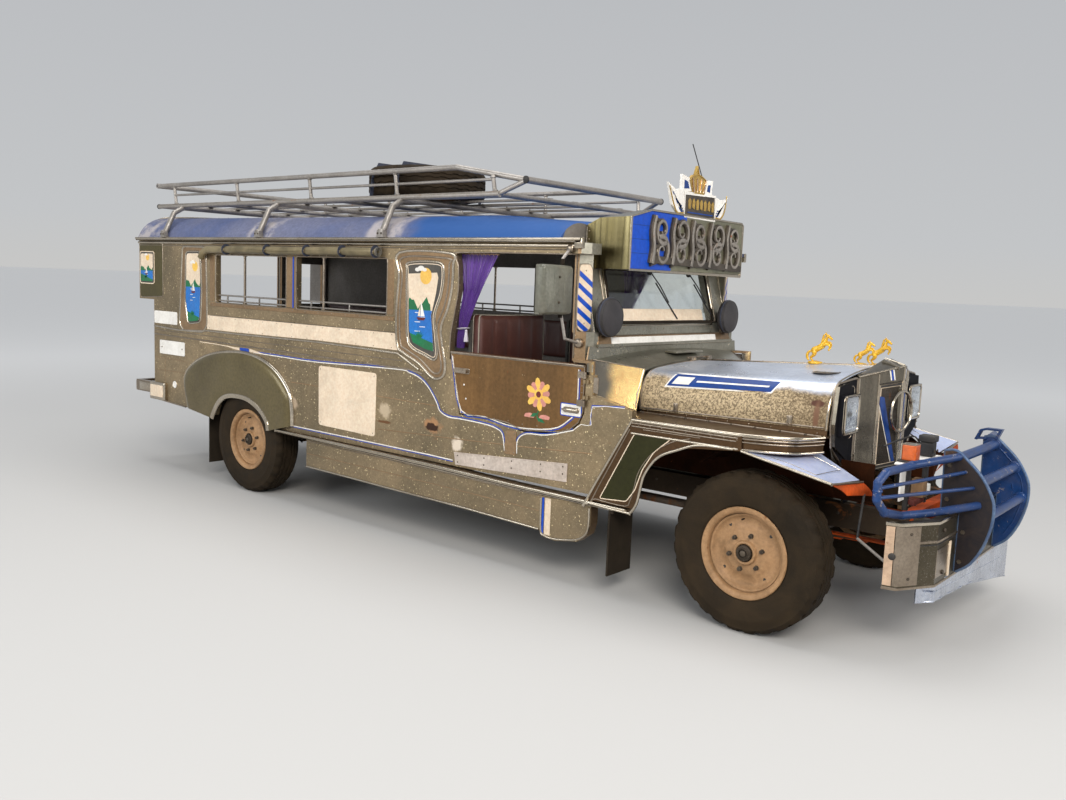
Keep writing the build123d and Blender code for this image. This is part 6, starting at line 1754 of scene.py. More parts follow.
# scuttle: polished roll along its shoulder and front seam
for s in (-1, 1):
    c.bead([(-797, s * 628, 975), (-797, s * 612, 1060), (-797, s * 566, 1176)], 8, 5, (0, s, 0), "chrome")
    c.bead([(-996, s * 804, 985), (-996, s * 786, 1130), (-996, s * 771, 1220)], 8, 5, (0, s, 0), "worn_chrome")
    c.bead([(-990, s * 768, 1222), (-800, s * 563, 1180)], 7, 4, (0, s * 0.6, 0.8), "worn_chrome")
    for k in range(4):
        c.rivet((-806, s * (634 - k * 20), 990 + k * 55), (0, s, 0.2), 4)
# everything above the scuttle leans back with the windscreen
c.v = [(x - 0.25 * max(0.0, z - 1262) if x < -960 else x, y, z) for x, y, z in c.v]
# small vent flap in front of the glass
c.block(-930, -850, -150, 150, 1244, 1256, "cowl", 4)
# curved cream boards with slanting stripes on the corner posts
for s in (-1, 1):
    post = On((-1081, s * 803, 0), (31, -s * 81, 0), (0, 0, 1))
    if post.n.x < 0:
        post.n = -post.n
    board = rounded([(-6, 1392), (18, 1366), (62, 1364), (86, 1398), (88, 1560), (82, 1700), (66, 1726), (0, 1724), (-10, 1560)], 18, 3)
    post.plate(c, board, "cream", 7.0, edge=3)
    for k in range(5):
        lo = 1398 + 66 * k
        band = clip(clip(inset(board, 3), 0.75, 1, lo + 30), -0.75, -1, -lo)
        if len(band) > 2:
            post.plate(c, band, "blue", 1.2, h=6.8, edge=0.2)
    post.plate(c, rounded([(2, 1330), (72, 1328), (80, 1362), (4, 1366)], 12, 3), "black", 9.0, edge=4)
    post.bead(c, board, 5, 3, "worn_chrome", True, h=5.5)
    for b in (1410, 1690):
        c.rivet(post.at(40, b, 7), post.n, 4)
c.done(38)

for side, s in SIDES:
    m = Piece(side + "_lamp_cover", "root", "mirror_body")
    cen = (-962, s * 655, 1447)
    m.lathe([(101, -30), (104, -20), (104, -2), (101, 6), (92, 11), (60, 15), (30, 16.5), (0.001, 17)], cen, (1, 0, 0), "lamp_cover", 48)
    m.lathe([(104.5, -14), (107, -12), (107, -7), (104.5, -5)], cen, (1, 0, 0), "strap", 48, True)
    m.lathe([(99, 5), (102, 8), (98, 11), (95, 9)], cen, (1, 0, 0), "black", 48, True)
    for k in range(24):
        a = 2 * math.pi * k / 24
        u = Vector((0, math.cos(a), math.sin(a)))
        m.tube([Vector(cen) + u * 104.5 + Vector((-28, 0, 0)), Vector(cen) + u * 105.5 + Vector((-16, 0, 0))], 1.6, "lamp_cover", 6)
    m.tube([(-1022, s * 690, 1365), (-992, s * 672, 1350), (-976, s * 655, 1352)], 6, "black", 10)
    m.block(-1024, -1004, s * 630, s * 680, 1335, 1362, "worn_chrome", 4)
    m.tube([(-1038, s * 655, 1447), (-992, s * 655, 1447)], 29, "black", 18)
    m.done(42)

    h = Piece(side + "_mirror_head", "root", "mirror_body")
    out = rounded([(-891, 1456), (-1142, 1456), (-1142, 1712), (-891, 1712)], 26, 5)
    k = len(out)
    rings = []
    for x, d in ((-1102, 3), (-1098, 0), (-1074, 0), (-1058, 3), (-1050, 8), (-1045, 14), (-1043, 20)):
        rings.append([(x, y, z) for y, z in (inset(out, d) if d else out)])
    h.add([q for r in rings for q in r], [(i * k + j, i * k + (j + 1) % k, (i + 1) * k + (j + 1) % k, (i + 1) * k + j)
                                          for i in range(len(rings) - 1) for j in range(k)]
          + [tuple((len(rings) - 1) * k + j for j in range(k)), tuple(range(k - 1, -1, -1))], "mirror_back")
    h.plate(inset(out, 12), -1102, "reflector", 0, -1, 2.0)
    h.sweep([(-1102, y, z) for y, z in inset(out, 6)], [(-7, -2), (7, -2), (5, 3), (-5, 3)], "rubber", True, up=(-1, 0, 0))
    for y in (-972, -1058):
        h.bead([(-1043, y, 1500), (-1042.5, y, 1668)], 6, 2, (1, 0, 0), "mirror_back")
    for z in (1520, 1650):
        h.bolt((-1042, -1016, z), (1, 0, 0), 6, "nut", 6)
    if s > 0:
        # the left one is folded back against the body
        h.v = [(-1298 + (-y - 891) * 0.59, 884 + (x + 1102) * 0.6, z) for x, y, z in h.v]
    hx, hy = (-1085, -945) if s < 0 else (-1166, 898)
    h.tube([(hx, hy, 1706), (hx, hy, 1745)], 12, "rubber", 14)
    h.tube([(hx, hy, 1462), (hx - 1, hy + (1 if s < 0 else 0), 1440)], 12, "rubber", 14)
    # arm clamps
    for q, r in (((-1060, s * 815, 1305), 26), ((-1084, s * 888, 1800), 22)):
        h.lathe([(r, -6), (r, 2), (r * 0.8, 6), (r * 0.45, 9), (0.001, 10)], q, (0, s, 0), "worn_chrome", 26)
    h.done(40)


# ---------------------------------------------------------------------------
# Sign box: coloured front, raised scroll ornament, crest
# ---------------------------------------------------------------------------
g = Piece("sign_front", "root", "sign_steel")
FX = -890.0
g.plate([(-612, 1712), (-208, 1712), (-208, 2024), (-430, 2026), (-612, 1982)], FX, "blue", 0, 1, 3)
g.plate([(-208, 2000), (-60, 1998), (-60, 2025), (-208, 2025)], FX, "blue", 0, 1, 3)
g.plate([(-208, 1712), (610, 1712), (610, 2010), (598, 2024), (-60, 2025), (-60, 1998), (-208, 2000)], FX, "pale", 0, 1, 2.6)
rim = [(-618, 1706), (618, 1706), (618, 2016), (600, 2030), (-430, 2032), (-618, 1986)]
g.sweep([(FX, y, z) for y, z in rim], [(-7, 0), (7, 0), (6, 5), (2, 8), (-4, 7)], "chrome", True, up=(1, 0, 0))
for z in (1795, 1870, 1945):
    g.bead([(FX + 3, -608, z), (FX + 3, -440, z + 1)], 3, 0.8, (1, 0, 0), "navy", flat=True)
# ornament: dark backing with five scrolls and leaves, lighter faces
g.plate([(-442, 1748), (586, 1730), (590, 1768), (-430, 1790)], FX + 2, "relief", 0, 1, 20, 3)


def scroll(cy, cz, r, turn, way):
    pts = []
    for i in range(34):
        f = i / 33
        a = turn + way * f * 2.6 * math.pi
        rr = r * (1 - 0.80 * f)
        pts.append((FX + 2, cy + rr * math.cos(a), cz + rr * math.sin(a) * 1.12))
    return pts


def ribbon(piece, pts, w0, w1, h, mat, up):
    """Strip whose width runs from w0 to w1, with a bevelled face."""
    pts = [Vector(q) for q in pts]
    up = Vector(up)
    n, verts = len(pts), []
    for i, q in enumerate(pts):
        t = (pts[min(i + 1, n - 1)] - pts[max(i - 1, 0)]).normalized()
        u = t.cross(up).normalized()
        w = (w0 + (w1 - w0) * i / (n - 1)) / 2
        for a, b in ((-w, -1), (-w, h * 0.75), (-w * 0.7, h), (w * 0.7, h), (w, h * 0.75), (w, -1)):
            verts.append(q + u * a + up * b)
    faces = [(i * 6 + k, i * 6 + (k + 1) % 6, (i + 1) * 6 + (k + 1) % 6, (i + 1) * 6 + k) for i in range(n - 1) for k in range(6)]
    faces += [tuple(range(5, -1, -1)), tuple((n - 1) * 6 + k for k in range(6))]
    piece.add(verts, faces, mat)


for i in range(5):
    cy = -330 + i * 206
    top = 1 if i % 2 else -1
    for r, dz, turn, way, w in ((80, 60, -2.2, 1, 46), (70, -58, 0.9, 1, 42)):
        line = scroll(cy, 1872 + dz * top, r, turn * top, way * top)
        ribbon(g, line, w, 14, 18, "relief", (1, 0, 0))
        ribbon(g, [(x + 16, y, z) for x, y, z in line], w * 0.55, 6, 6, "slat", (1, 0, 0))
    stem = curve([(FX + 2, cy - 98, 1745), (FX + 2, cy - 84, 1830), (FX + 2, cy - 98, 1920), (FX + 2, cy - 78, 2004)], 5)
    ribbon(g, stem, 48, 36, 20, "relief", (1, 0, 0))
    ribbon(g, [(x + 18, y, z) for x, y, z in stem], 26, 18, 6, "slat", (1, 0, 0))
    for f, a in ((0.05, 0.2), (0.35, 0.6), (0.65, -0.5), (0.95, -0.2)):
        q = stem[int(f * (len(stem) - 1))]
        leaf = [(q[0], q[1] - 6, q[2]), (q[0], q[1] + 34, q[2] + a * 16), (q[0], q[1] + 76, q[2] + a * 40)]
        ribbon(g, curve(leaf, 4), 34, 8, 17, "relief", (1, 0, 0))
# seams and rivets of the polished sides
for s in (1, -1):
    for k in range(5):
        g.rivet((-1130, s * 664, 1730 + k * 44), (0, s, 0), 4, "worn_chrome")
    g.bead([(-1146, s * 665, 1712), (-1146, s * 665, 1930)], 8, 4, (0, s, 0), "chrome")
# crest
g.plate([(-84, 2032), (250, 2032), (244, 2158), (-88, 2150)], -891, "relief", 0, 1, 3)
frame_line = [(-92, 2026), (258, 2026), (251, 2164), (-96, 2156)]
g.sweep([(-891, y, z) for y, z in frame_line], [(-6, 0), (6, 0), (6, 5), (-6, 5)], "white", True, up=(1, 0, 0))
for k in range(7):
    y = -52 + k * 44
    g.plate([(y, 2070 + (k % 2) * 8), (y + 22, 2070), (y + 26, 2116), (y + 11, 2132), (y - 4, 2116)], -888, "gold", 0, 1, 4)
g.bead([(-888, -60, 2050), (-888, 226, 2050)], 8, 4, (1, 0, 0), "navy", flat=True)
crown = [(-10, 2160), (-50, 2230), (-18, 2256), (10, 2264), (31, 2314), (52, 2268), (88, 2262), (132, 2246), (118, 2162)]
for i in range(4):
    y = 4 + i * 34
    ribbon(g, curve([(-890, y, 2170), (-890, y + (i - 1.5) * 10, 2212), (-890, y + (i - 1.5) * 16, 2248)], 4), 15, 5, 6, "brass", (1, 0, 0))
g.sweep([(-891, y, z) for y, z in crown], [(-3, 0), (3, 0), (2, 5), (-2, 5)], "gold", False, up=(1, 0, 0))
g.plate([(-2, 2160), (112, 2162), (108, 2180), (2, 2178)], -890, "gold", 0, 1, 5)
for pts in ([(-128, 2156), (-128, 2252), (-58, 2240), (-18, 2168)], [(124, 2168), (140, 2240), (210, 2250), (202, 2158)]):
    g.plate(inset(pts, 3), -891, "white", 0, 1, 2)
    g.plate(inset(pts, 20), -889, "navy", 0, 1, 1.4)
for s, y0 in ((-1, -90), (1, 250)):
    for i in range(6):
        f = i / 5
        a = [(y0 + s * (14 + 30 * f), 2048 + 34 * f), (y0 + s * (46 + 40 * f), 2060 + 52 * f), (y0 + s * (70 + 82 * f), 2086 + 84 * f)]
        ribbon(g, curve([(-890, y, z) for y, z in a], 4), 17, 4, 3.5, "white" if i % 2 else "navy", (1, 0, 0))
    ribbon(g, curve([(-890, y0 + s * 10, 2044), (-890, y0 + s * 76, 2040), (-890, y0 + s * 122, 2090), (-890, y0 + s * (172 if s < 0 else 138), 2180)], 5),
           12, 5, 4, "gold", (1, 0, 0))
# struts behind the crest
for y in (-60, 220):
    g.tube([(-906, y, 2130), (-985, y, 2012)], 5, "worn_chrome", 8)
g.lathe([(13, -4), (13, 6), (7, 16), (4.5, 30), (0.001, 31)], (-928, 330, 2016), (-0.13, -0.42, 0.9), "black", 16)
g.done(36)


# ---------------------------------------------------------------------------
# Roof: edge trims, ribs; rack: clamps, welds, end caps
# ---------------------------------------------------------------------------
def roof_z(x, y):
    secs = [(-5540, 2022, 2052), (-2022, 1995, 2030), (-1155, 1938, 1975)]
    for (x0, a0, b0), (x1, a1, b1) in zip(secs, secs[1:]):
        if x0 <= x <= x1:
            t = (x - x0) / (x1 - x0)
            a, b = a0 + (a1 - a0) * t, b0 + (b1 - b0) * t
            if abs(y) <= 650:
                return b - (b - a) * (y / 650) ** 2
            t = (abs(y) - 650) / 234
            return a - (a - 1856) * (0.30 * t + 0.70 * t ** 2.2)
    return 1970


r = Piece("roof_trim", "root", "polished_steel")
for x, w, h, m in ((-5528, 26, 12, "chrome"), (-5490, 10, 5, "worn_chrome"), (-1180, 14, 8, "worn_chrome"), (-2022, 16, 4, "roof")):
    ys = [-872 + k * 1744 / 60 for k in range(61)]
    if x > -1300:
        ys = [y for y in ys if abs(y) > 690]
        for part in ([y for y in ys if y < 0], [y for y in ys if y > 0]):
            r.bead([(x, y, roof_z(x, y)) for y in part], w, h, (0, 0, 1), m)
        continue
    path = [(x, y, roof_z(x, y)) for y in ys]
    r.sweep(path, [(-w / 2, -1), (w / 2, -1), (w / 4, h), (-w / 4, h)], m, up=(0, 0, 1))
for s in (1, -1):
    for x in range(-5400, -1300, 130):
        r.rivet((x, s * 640, roof_z(x, 640) + 0.5), (0, s * 0.1, 1), 4, "roof")
r.done(40)

k_ = Piece("rack_fittings", "root", "rack_steel")
for hx in (-5098, -3836, -2543):
    for s in (1, -1):
        k_.block(hx - 34, hx + 34, s * 884, s * 921, 1856, 1864, "tube", 2)
        k_.block(hx - 26, hx + 26, s * 915, s * 922, 1860, 1902, "tube", 3)
        for dx in (-17, 17):
            k_.bolt((hx + dx, s * 921, 1880), (0, s, 0), 6, "nut", 6)
        k_.lathe([(20.5, -5), (25, -2), (26, 2), (24, 6), (20.5, 8)], (hx, s * 903, 1894), (0, -s * 0.41, 0.91), "tube", 20, True)
    for y in (-500, -250, 0, 250, 500):
        k_.bolt((hx, y, 2132), (0, 0, 1), 6, "nut", 6)
for s in (1, -1):
    for px in (-5200, -4330, -3460, -2590, -1760):
        top = 2275 if px < -2000 else 2224
        k_.lathe([(12, -6), (16, -3), (17, 1), (15, 5), (12, 7)], (px - 11, s * 749, top - 18), (0, 0, 1), "tube", 16, True)
        k_.lathe([(12, -6), (16, -3), (17, 1), (15, 5), (12, 7)], (px, s * 738, 2132), (0, 0, 1), "tube", 16, True)
    k_.lathe([(17.4, -4), (19, -2), (19, 6), (14, 9), (0.001, 10)], (-5445, s * 750, 2275), (-1, 0, 0), "black", 20)
    k_.lathe([(20.4, -4), (22, -2), (22, 4), (16, 7), (0.001, 8)], (-1560, s * 704, 2190), (0, s, 0), "black", 20)
    k_.lathe([(18.4, -4), (20, -2), (20, 6), (14, 9), (0.001, 10)], (-5458, s * 740, 2112), (-1, 0, 0), "black", 20)
# second thin rail halfway up, as on the photographed rack
for s in (1, -1):
    k_.tube([(-5210, s * 745, 2196), (-1775, s * 740, 2196)], 9, "tube", 10)
for x in range(-5400, -1780, 118):
    for y in (-500, -250, 0, 250, 500):
        if (x // 118) % 3 == 0:
            k_.rivet((x, y, 2132), (0, 0, 1), 5)
# straps holding the spare wheel
for dx in (-120, 120):
    k_.sweep([(-2750 + dx, -325 - 390, 2120), (-2750 + dx, -325 - 372, 2250), (-2750 + dx, -325 - 330, 2336), (-2750 + dx, -325 + 330, 2336),
              (-2750 + dx, -325 + 372, 2250), (-2750 + dx, -325 + 390, 2120)], [(-14, 0), (14, 0), (14, 2.5), (-14, 2.5)], "strap", up=(1, 0, 0))
k_.done(38)


# ---------------------------------------------------------------------------
# Bumper, guard, front carrier
# ---------------------------------------------------------------------------
dress("outriggers", "frame")
b = Piece("bumper_trim", "root", "bumper_steel")
face = [(628, -776), (686, -764), (790, -585), (796, 0), (790, 585), (686, 764), (628, 776)]
mid = [(x + 0.6, y) for x, y in face[1:6]]
b.sweep([(x, y, 544) for x, y in mid], [(-2.5, -0.5), (2.5, -0.5), (1.5, 1.6), (-1.5, 1.6)], "black", up=(1, 0, 0))
b.sweep([(x + 1, y, 558) for x, y in mid], [(-7, -1), (7, -1), (5, 3), (-5, 3)], "worn_chrome", up=(1, 0, 0))
b.sweep([(x - 1, y, 641) for x, y in face], [(-8, -2), (8, -2), (6, 5), (-6, 5)], "chrome", up=(1, 0, 0))
b.sweep([(x - 1, y, 356) for x, y in face], [(-7, -2), (7, -2), (5, 4), (-5, 4)], "worn_chrome", up=(1, 0, 0))
# lighter framed panel in the lower half, right side
pan_l = [(786, -586), (790, -585), (792.5, -436)]
b.sweep([(x + 1.2, y, 455) for x, y in pan_l[1:]], [(-66, -0.5), (66, -0.5), (64, 1.6), (-64, 1.6)], "worn_chrome", up=(1, 0, 0))
b.block(793, 800, -432, -408, 372, 532, "cream", 2)
b.block(793, 799, 396, 418, 372, 532, "cream", 2)
for y, z in ((-520, 600), (-250, 600), (250, 600), (520, 600), (-500, 405), (-150, 405), (150, 405), (500, 405)):
    b.bolt((795, y, z), (1, 0, 0), 9, "nut", 7)
for y, z, r in ((-330, 470, 13), (-60, 452, 13), (210, 470, 13), (-60, 590, 8), (330, 590, 8)):
    b.lathe([(r + 4, -1), (r + 4, 1.2), (r, 2), (r - 2, 0.8), (0.001, 0.4)], (795.6, y, z), (1, 0, 0), "black", 18)
for s in (1, -1):
    # pressed end caps
    e = [(628, s * 778), (688, s * 766), (742, s * 672)]
    b.sweep([(x + 1.0, y, 500) for x, y in ((628, s * 778), (664, s * 771))], [(-132, -0.5), (132, -0.5), (130, 2.2), (-130, 2.2)], "peach",
            up=(0.2, s * 0.98, 0))
    b.sweep([(x + 1.0, y, 500) for x, y in ((667, s * 770), (688, s * 766), (742, s * 672))], [(-132, -0.5), (132, -0.5), (130, 2.0), (-130, 2.0)],
            "worn_chrome", up=(0.45, s * 0.9, 0))
    b.lathe([(16, -1), (16, 3), (11, 6), (0.001, 7)], (660, s * 772, 500), (0.2, s, 0), "black", 20)
    b.bolt((716, s * 716, 600), (0.87, s * 0.5, 0), 8, "nut", 6)
    b.bolt((716, s * 716, 400), (0.87, s * 0.5, 0), 8, "nut", 6)
# torn lip: rolled lower edge with dents
lip = [(-660, 286), (-520, 279), (-400, 275), (-260, 262), (-120, 258), (60, 236), (240, 210), (430, 178), (560, 156), (668, 137)]
edge = []
for i in range(len(lip) * 3 - 2):
    q, f = i // 3, (i % 3) / 3
    y0, z0 = lip[q]
    y1, z1 = lip[min(q + 1, len(lip) - 1)]
    y = y0 + (y1 - y0) * f
    edge.append((789 + (735 - 789) * max(0, (-y - 560)) / 104 if y < -560 else 787 + 3 * math.sin(i * 1.9),
                 y, z0 + (z1 - z0) * f + 2.5 * math.sin(i * 2.7)))
b.tube(edge, 5.5, "tin", 8)
b.sweep([(790, y, 330 - 0.055 * (y + 620)) for y in range(-620, 640, 60)], [(-4, -1), (4, -1), (0, 2.5)], "tin", up=(1, 0, 0))
b.bead([(788 if abs(y) < 560 else 742, y, 362) for y in range(-560, 661, 122)], 10, 5, (1, 0, 0), "tin")
b.done(36)

GUARD = [(712, 925), (761, 930), (820, 884), (880, 823), (925, 746), (940, 689), (936, 604), (908, 503), (862, 419), (805, 372),
         (797, 372), (797, 647), (716, 647)]
ROD0, ROD1 = (460, 655, 518), (618, 700, 444)
q = Piece("guard_trim", "root", "guard_blue")
for s in (1, -1):
    front = curve([(x, s * 320, z) for x, z in GUARD[:10]], 3)
    q.tube(front, 7.5, "guard_edge", 10)
    q.tube([(x, s * 320, z) for x, z in GUARD[9:]] + [(712, s * 320, 925)], 6.5, "guard_edge", 8)
    inner = inset(GUARD, 26)
    q.bead([(x, s * 314, z) for x, z in inner[1:9]], 8, 3, (0, -s, 0), "blue_bar")
    for x, z in ((767, 893), (866, 790), (905, 640)):
        q.lathe([(23, -1), (30, 0.5), (31, 3), (27, 7), (23.4, 9)], (x, s * 314, z), (0, -s, 0), "blue_bar", 24, True)
    for x, z in ((738, 700), (738, 860), (816, 420), (820, 560)):
        q.bolt((x, s * 326, z), (0, s, 0), 9, "nut", 7)
    for x, y, z in ((620, 900, 800), (665, 620, 884), (636, 842, 702)):
        q.lathe([(18, -5), (20.5, -2), (21, 2), (20, 5), (18, 7)], (x, s * y, z), (0, 0, 1) if y == 900 else (0.4, s, 0), "blue_bar", 20, True)
    q.tube([(450, s * 585, 712), (457, s * 640, 560), (ROD0[0], s * ROD0[1], ROD0[2])], 6, "black", 10)
    q.tube([(ROD0[0], s * ROD0[1], ROD0[2]), (ROD1[0], s * ROD1[1], ROD1[2])], 7, "slat", 10)
q.done(38)

a = Piece("front_carrier", "root", "guard_blue")
for y in (-470, -220):
    a.block(588, 612, y - 12, y + 12, 646, 862, "grille", 3)
a.block(560, 650, -530, -160, 862, 870, "white", 3)
for x in (562, 648):
    a.tube([(x, -532, 866), (x, -158, 866)], 6, "white", 10)
for y in (-530, -160):
    a.tube([(560, y, 866), (650, y, 866)], 6, "white", 10)
a.plate([(-560, 700), (-500, 700), (-500, 856), (-560, 856)], 598, "white", 0, 1, 4, back=-4)
a.block(584, 604, -560, -470, 768, 780, "white", 3)
a.block(590, 640, -470, -330, 672, 700, "maroon", 4)
a.block(588, 604, -470, -440, 646, 700, "black", 3)
a.block(596, 652, -400, -345, 700, 786, "wood", 4)
a.block(606, 646, -318, -272, 700, 752, "white", 4)
a.block(590, 640, -330, -262, 694, 701, "worn_chrome", 2)
a.block(588, 606, -345, -325, 646, 700, "black", 3)
# small lamp block and a junction box on the shelf
a.block(556, 646, -506, -414, 872, 880, "black", 2)
a.block(572, 634, -492, -428, 880, 952, "amber", 6, 3)
a.block(566, 573, -494, -426, 880, 955, "chrome", 2)
a.bead([(603, -493, 952), (603, -427, 952)], 62, 3, (0, 0, 1), "worn_chrome", flat=True)
a.block(572, 634, -250, -194, 871, 940, "black", 7, 3)
a.block(566, 640, -258, -186, 940, 972, "black", 7, 3)
for y in (-240, -202):
    a.bolt((640, y, 900), (1, 0, 0), 6, "nut", 4)
a.tube(curve([(570, -240, 930), (540, -250, 960), (470, -260, 930), (420, -300, 900)], 6), 4, "black", 8)
for y in (-470, -220):
    a.bolt((612, y, 670), (1, 0, 0), 7, "nut", 5)
a.done(38)


# ---------------------------------------------------------------------------
# Rear: lamps, doorway trims, bumper corners, lettering-free plate
# ---------------------------------------------------------------------------
t = Piece("rear_trim", "root", "lamp_panel")
RX = -5313.0
door = [(-336, 1780), (-336, 650), (336, 650), (336, 1780)]
t.sweep([(RX, -338, 640), (RX, -338, 1760), (RX, -300, 1800), (RX, 300, 1800), (RX, 338, 1760), (RX, 338, 640)],
        [(-11, -1), (11, -1), (9, 8), (-9, 8)], "chrome", up=(-1, 0, 0))
for s in (1, -1):
    # tail lamp panel: three round lamps in a polished surround
    for i, z in enumerate((1090, 975, 860)):
        t.lathe([(62, -1), (62, 8), (58, 14), (52, 14), (50, 9)], (RX, s * 640, z), (-1, 0, 0), "chrome", 36, True)
        t.lathe([(50, 2), (50, 12), (44, 20), (26, 25), (0.001, 27)], (RX, s * 640, z), (-1, 0, 0), ("amber", "red_lens", "reflector")[i], 36)
    t.sweep([(RX, y, z) for y, z in rounded([(s * 560, 780), (s * 720, 780), (s * 720, 1170), (s * 560, 1170)], 30, 4)],
            [(-6, -1), (6, -1), (4, 5), (-4, 5)], "worn_chrome", True, up=(-1, 0, 0))
    # rear corner mouldings
    t.bead([(RX - 1, s * 862, 700), (RX - 1, s * 862, 1800)], 20, 6, (-1, 0, 0), "chrome")
    t.bead([(RX - 1, s * 375, 1235), (RX - 1, s * 850, 1235)], 18, 7, (-1, 0, 0), "chrome")
    t.bead([(RX - 1, s * 375, 700), (RX - 1, s * 850, 700)], 14, 6, (-1, 0, 0), "worn_chrome")
    # rows of rivets; the small window above is outlined but not drawn
    win = rounded([(s * 420, 1330), (s * 800, 1330), (s * 790, 1740), (s * 420, 1740)], 40, 5)
    for k in range(6):
        t.rivet((RX - 1, s * (450 + k * 64), 1290), (-1, 0, 0), 4.5)
        t.rivet((RX - 1, s * (450 + k * 64), 745), (-1, 0, 0), 4.5)
    # grab pole sockets
    for z in (690, 1780):
        t.lathe([(17, -3), (26, -2), (26, 2), (19, 7), (16.5, 8)], (-5373, s * 360, z), (0, 0, 1 if z < 1000 else -1), "worn_chrome", 20, True)
    # chrome corner cap of the bumper with its painted inset
    t.bead([(-5602, s * 420, 645), (-5602, s * 878, 645)], 60, 5, (-1, 0, 0), "chrome", flat=True)
    for y in (500, 640, 780):
        t.bolt((-5602, s * y, 645), (-1, 0, 0), 9, "nut", 9)
    t.block(-5343, -5118, s * 868, s * 905, 556, 700, "chrome", 12, 3)
    t.plate([(-5326, 582), (-5136, 582), (-5136, 676), (-5326, 676)], s * 905, "cream", 1, s, 3)
    t.block(-5540, -5330, s * 880, s * 886, 612, 678, "chrome", 4, 2)
    t.lathe([(20, -1), (20, 6), (14, 12), (0.001, 14)], (-5602, s * 840, 645), (-1, 0, 0), "reflector", 24)
# tread of the platform and the step
for x in range(-5540, -5360, 36):
    t.bead([(x, -408, 622), (x, 408, 622)], 10, 3, (0, 0, 1), "worn_chrome")
for x in range(-5540, -5390, 36):
    t.bead([(x, -328, 430), (x, 328, 430)], 10, 3, (0, 0, 1), "worn_chrome")
t.plate([(-170, 628), (170, 628), (170, 690), (-170, 690)], -5600, "white", 0, -1, 3)
t.lathe([(11, -2), (17, 0), (17, 3), (12, 5)], (-5580, 0, 690), (0, 0, 1), "worn_chrome", 24, True)
t.block(-5602, -5596, -185, 185, 622, 696, "black", 2)
t.done(38)


# ---------------------------------------------------------------------------
# Inside: dashboard, controls, grab rails, roof bows, floor ribs
# ---------------------------------------------------------------------------
i_ = Piece("cab_fittings", "root", "dash_paint")
for y, r in ((330, 62), (470, 62), (400, 30), (250, 28), (560, 28)):
    z = 1200 if r > 40 else 1150
    i_.lathe([(r, -3), (r, 6), (r - 6, 9), (r - 8, 5)], (-1096, y, z), (-1, 0, 0), "chrome", 32, True)
    i_.lathe([(r - 8, 1), (r - 9, 3.5), (0.001, 3.5)], (-1096, y, z), (-1, 0, 0), "black", 32)
    for k in range(9):
        ang = math.radians(-120 + k * 30)
        u = Vector((0, math.sin(ang), math.cos(ang)))
        cen = Vector((-1099.5, y, z))
        i_.tube([cen + u * (r - 20), cen + u * (r - 12)], 1.2, "white", 5)
    i_.tube([Vector((-1100, y, z)), Vector((-1100, y + r * 0.35, z + r * 0.45))], 1.6, "amber", 6)
i_.plate(rounded([(-560, 1130), (-200, 1130), (-200, 1240), (-560, 1240)], 14, 3), -1095, "door", 0, -1, 5)
i_.lathe([(12, -2), (12, 6), (8, 12), (0.001, 14)], (-1100, -380, 1225), (-1, 0, 0), "chrome", 20)
i_.block(-1112, -1095, -140, 120, 1150, 1212, "black", 6)
for k in range(5):
    i_.lathe([(10, -2), (10, 8), (7, 14), (0.001, 15)], (-1112, -110 + k * 50, 1180), (-1, 0, 0), "worn_chrome", 18)
i_.bead([(-1096, -740, 1275), (-1096, 740, 1275)], 14, 6, (-1, 0, 0), "chrome")
# gear lever, hand brake, pedals
i_.lathe([(60, 0), (54, 14), (38, 30), (22, 44), (14, 50), (12, 50)], (-1130, 0, 712), (0, 0, 1), "rubber", 28)
i_.tube(curve([(-1130, 0, 715), (-1150, 10, 860), (-1215, 30, 1000), (-1250, 40, 1060)], 6), 8, "worn_chrome", 10)
i_.lathe([(0.001, -22), (14, -20), (23, -6), (23, 8), (15, 20), (0.001, 24)], (-1256, 42, 1074), (-0.4, 0.1, 0.9), "black", 22)
i_.tube([(-1300, 95, 650), (-1270, 95, 760), (-1330, 95, 880)], 8, "black", 10)
i_.tube([(-1322, 95, 865), (-1362, 95, 935)], 13, "rubber", 12)
for y, w in ((250, 60), (370, 70), (500, 46)):
    i_.tube(curve([(-1020, y, 900), (-1050, y, 800), (-1112, y, 742)], 5), 7, "black", 8)
    rot = Matrix.Rotation(math.radians(52), 3, "Y")
    i_.block(-1160, -1080, y - w / 2, y + w / 2, 722, 738, "rubber", 4)
# inner mirror under the front edge of the roof
i_.tube([(-1196, 0, 1880), (-1216, 0, 1790)], 6, "worn_chrome", 10)
i_.block(-1228, -1214, -150, 150, 1735, 1795, "black", 6)
i_.plate([(-144, 1741), (144, 1741), (144, 1789), (-144, 1789)], -1228, "reflector", 0, -1, 1)
i_.done(38)

w = Piece("steering_wheel_trim", "steering_wheel_rim", "wheel_plastic")
CEN, AX = Vector((-1300, 400, 1215)), Vector((-0.70, 0, 0.714)).normalized()
U = AX.cross(Vector((0, 1, 0))).normalized()
V = AX.cross(U)
ring = [CEN + (U * math.cos(2 * math.pi * k / 64) + V * math.sin(2 * math.pi * k / 64)) * 190 for k in range(64)]
w.tube(ring, 13.6, "rubber", 12, closed=True)
for k in range(0, 64, 2):
    rr = CEN + (U * math.cos(2 * math.pi * k / 64) + V * math.sin(2 * math.pi * k / 64)) * 176.5
    tt = (-U * math.sin(2 * math.pi * k / 64) + V * math.cos(2 * math.pi * k / 64))
    w.taper([rr - tt * 6, rr - tt * 3, rr + tt * 3, rr + tt * 6], [2.0, 4.6, 4.6, 2.0], "rubber", 8)
w.lathe([(46, 4), (46, 14), (40, 22), (20, 27), (0.001, 28)], CEN, AX, "black", 32)
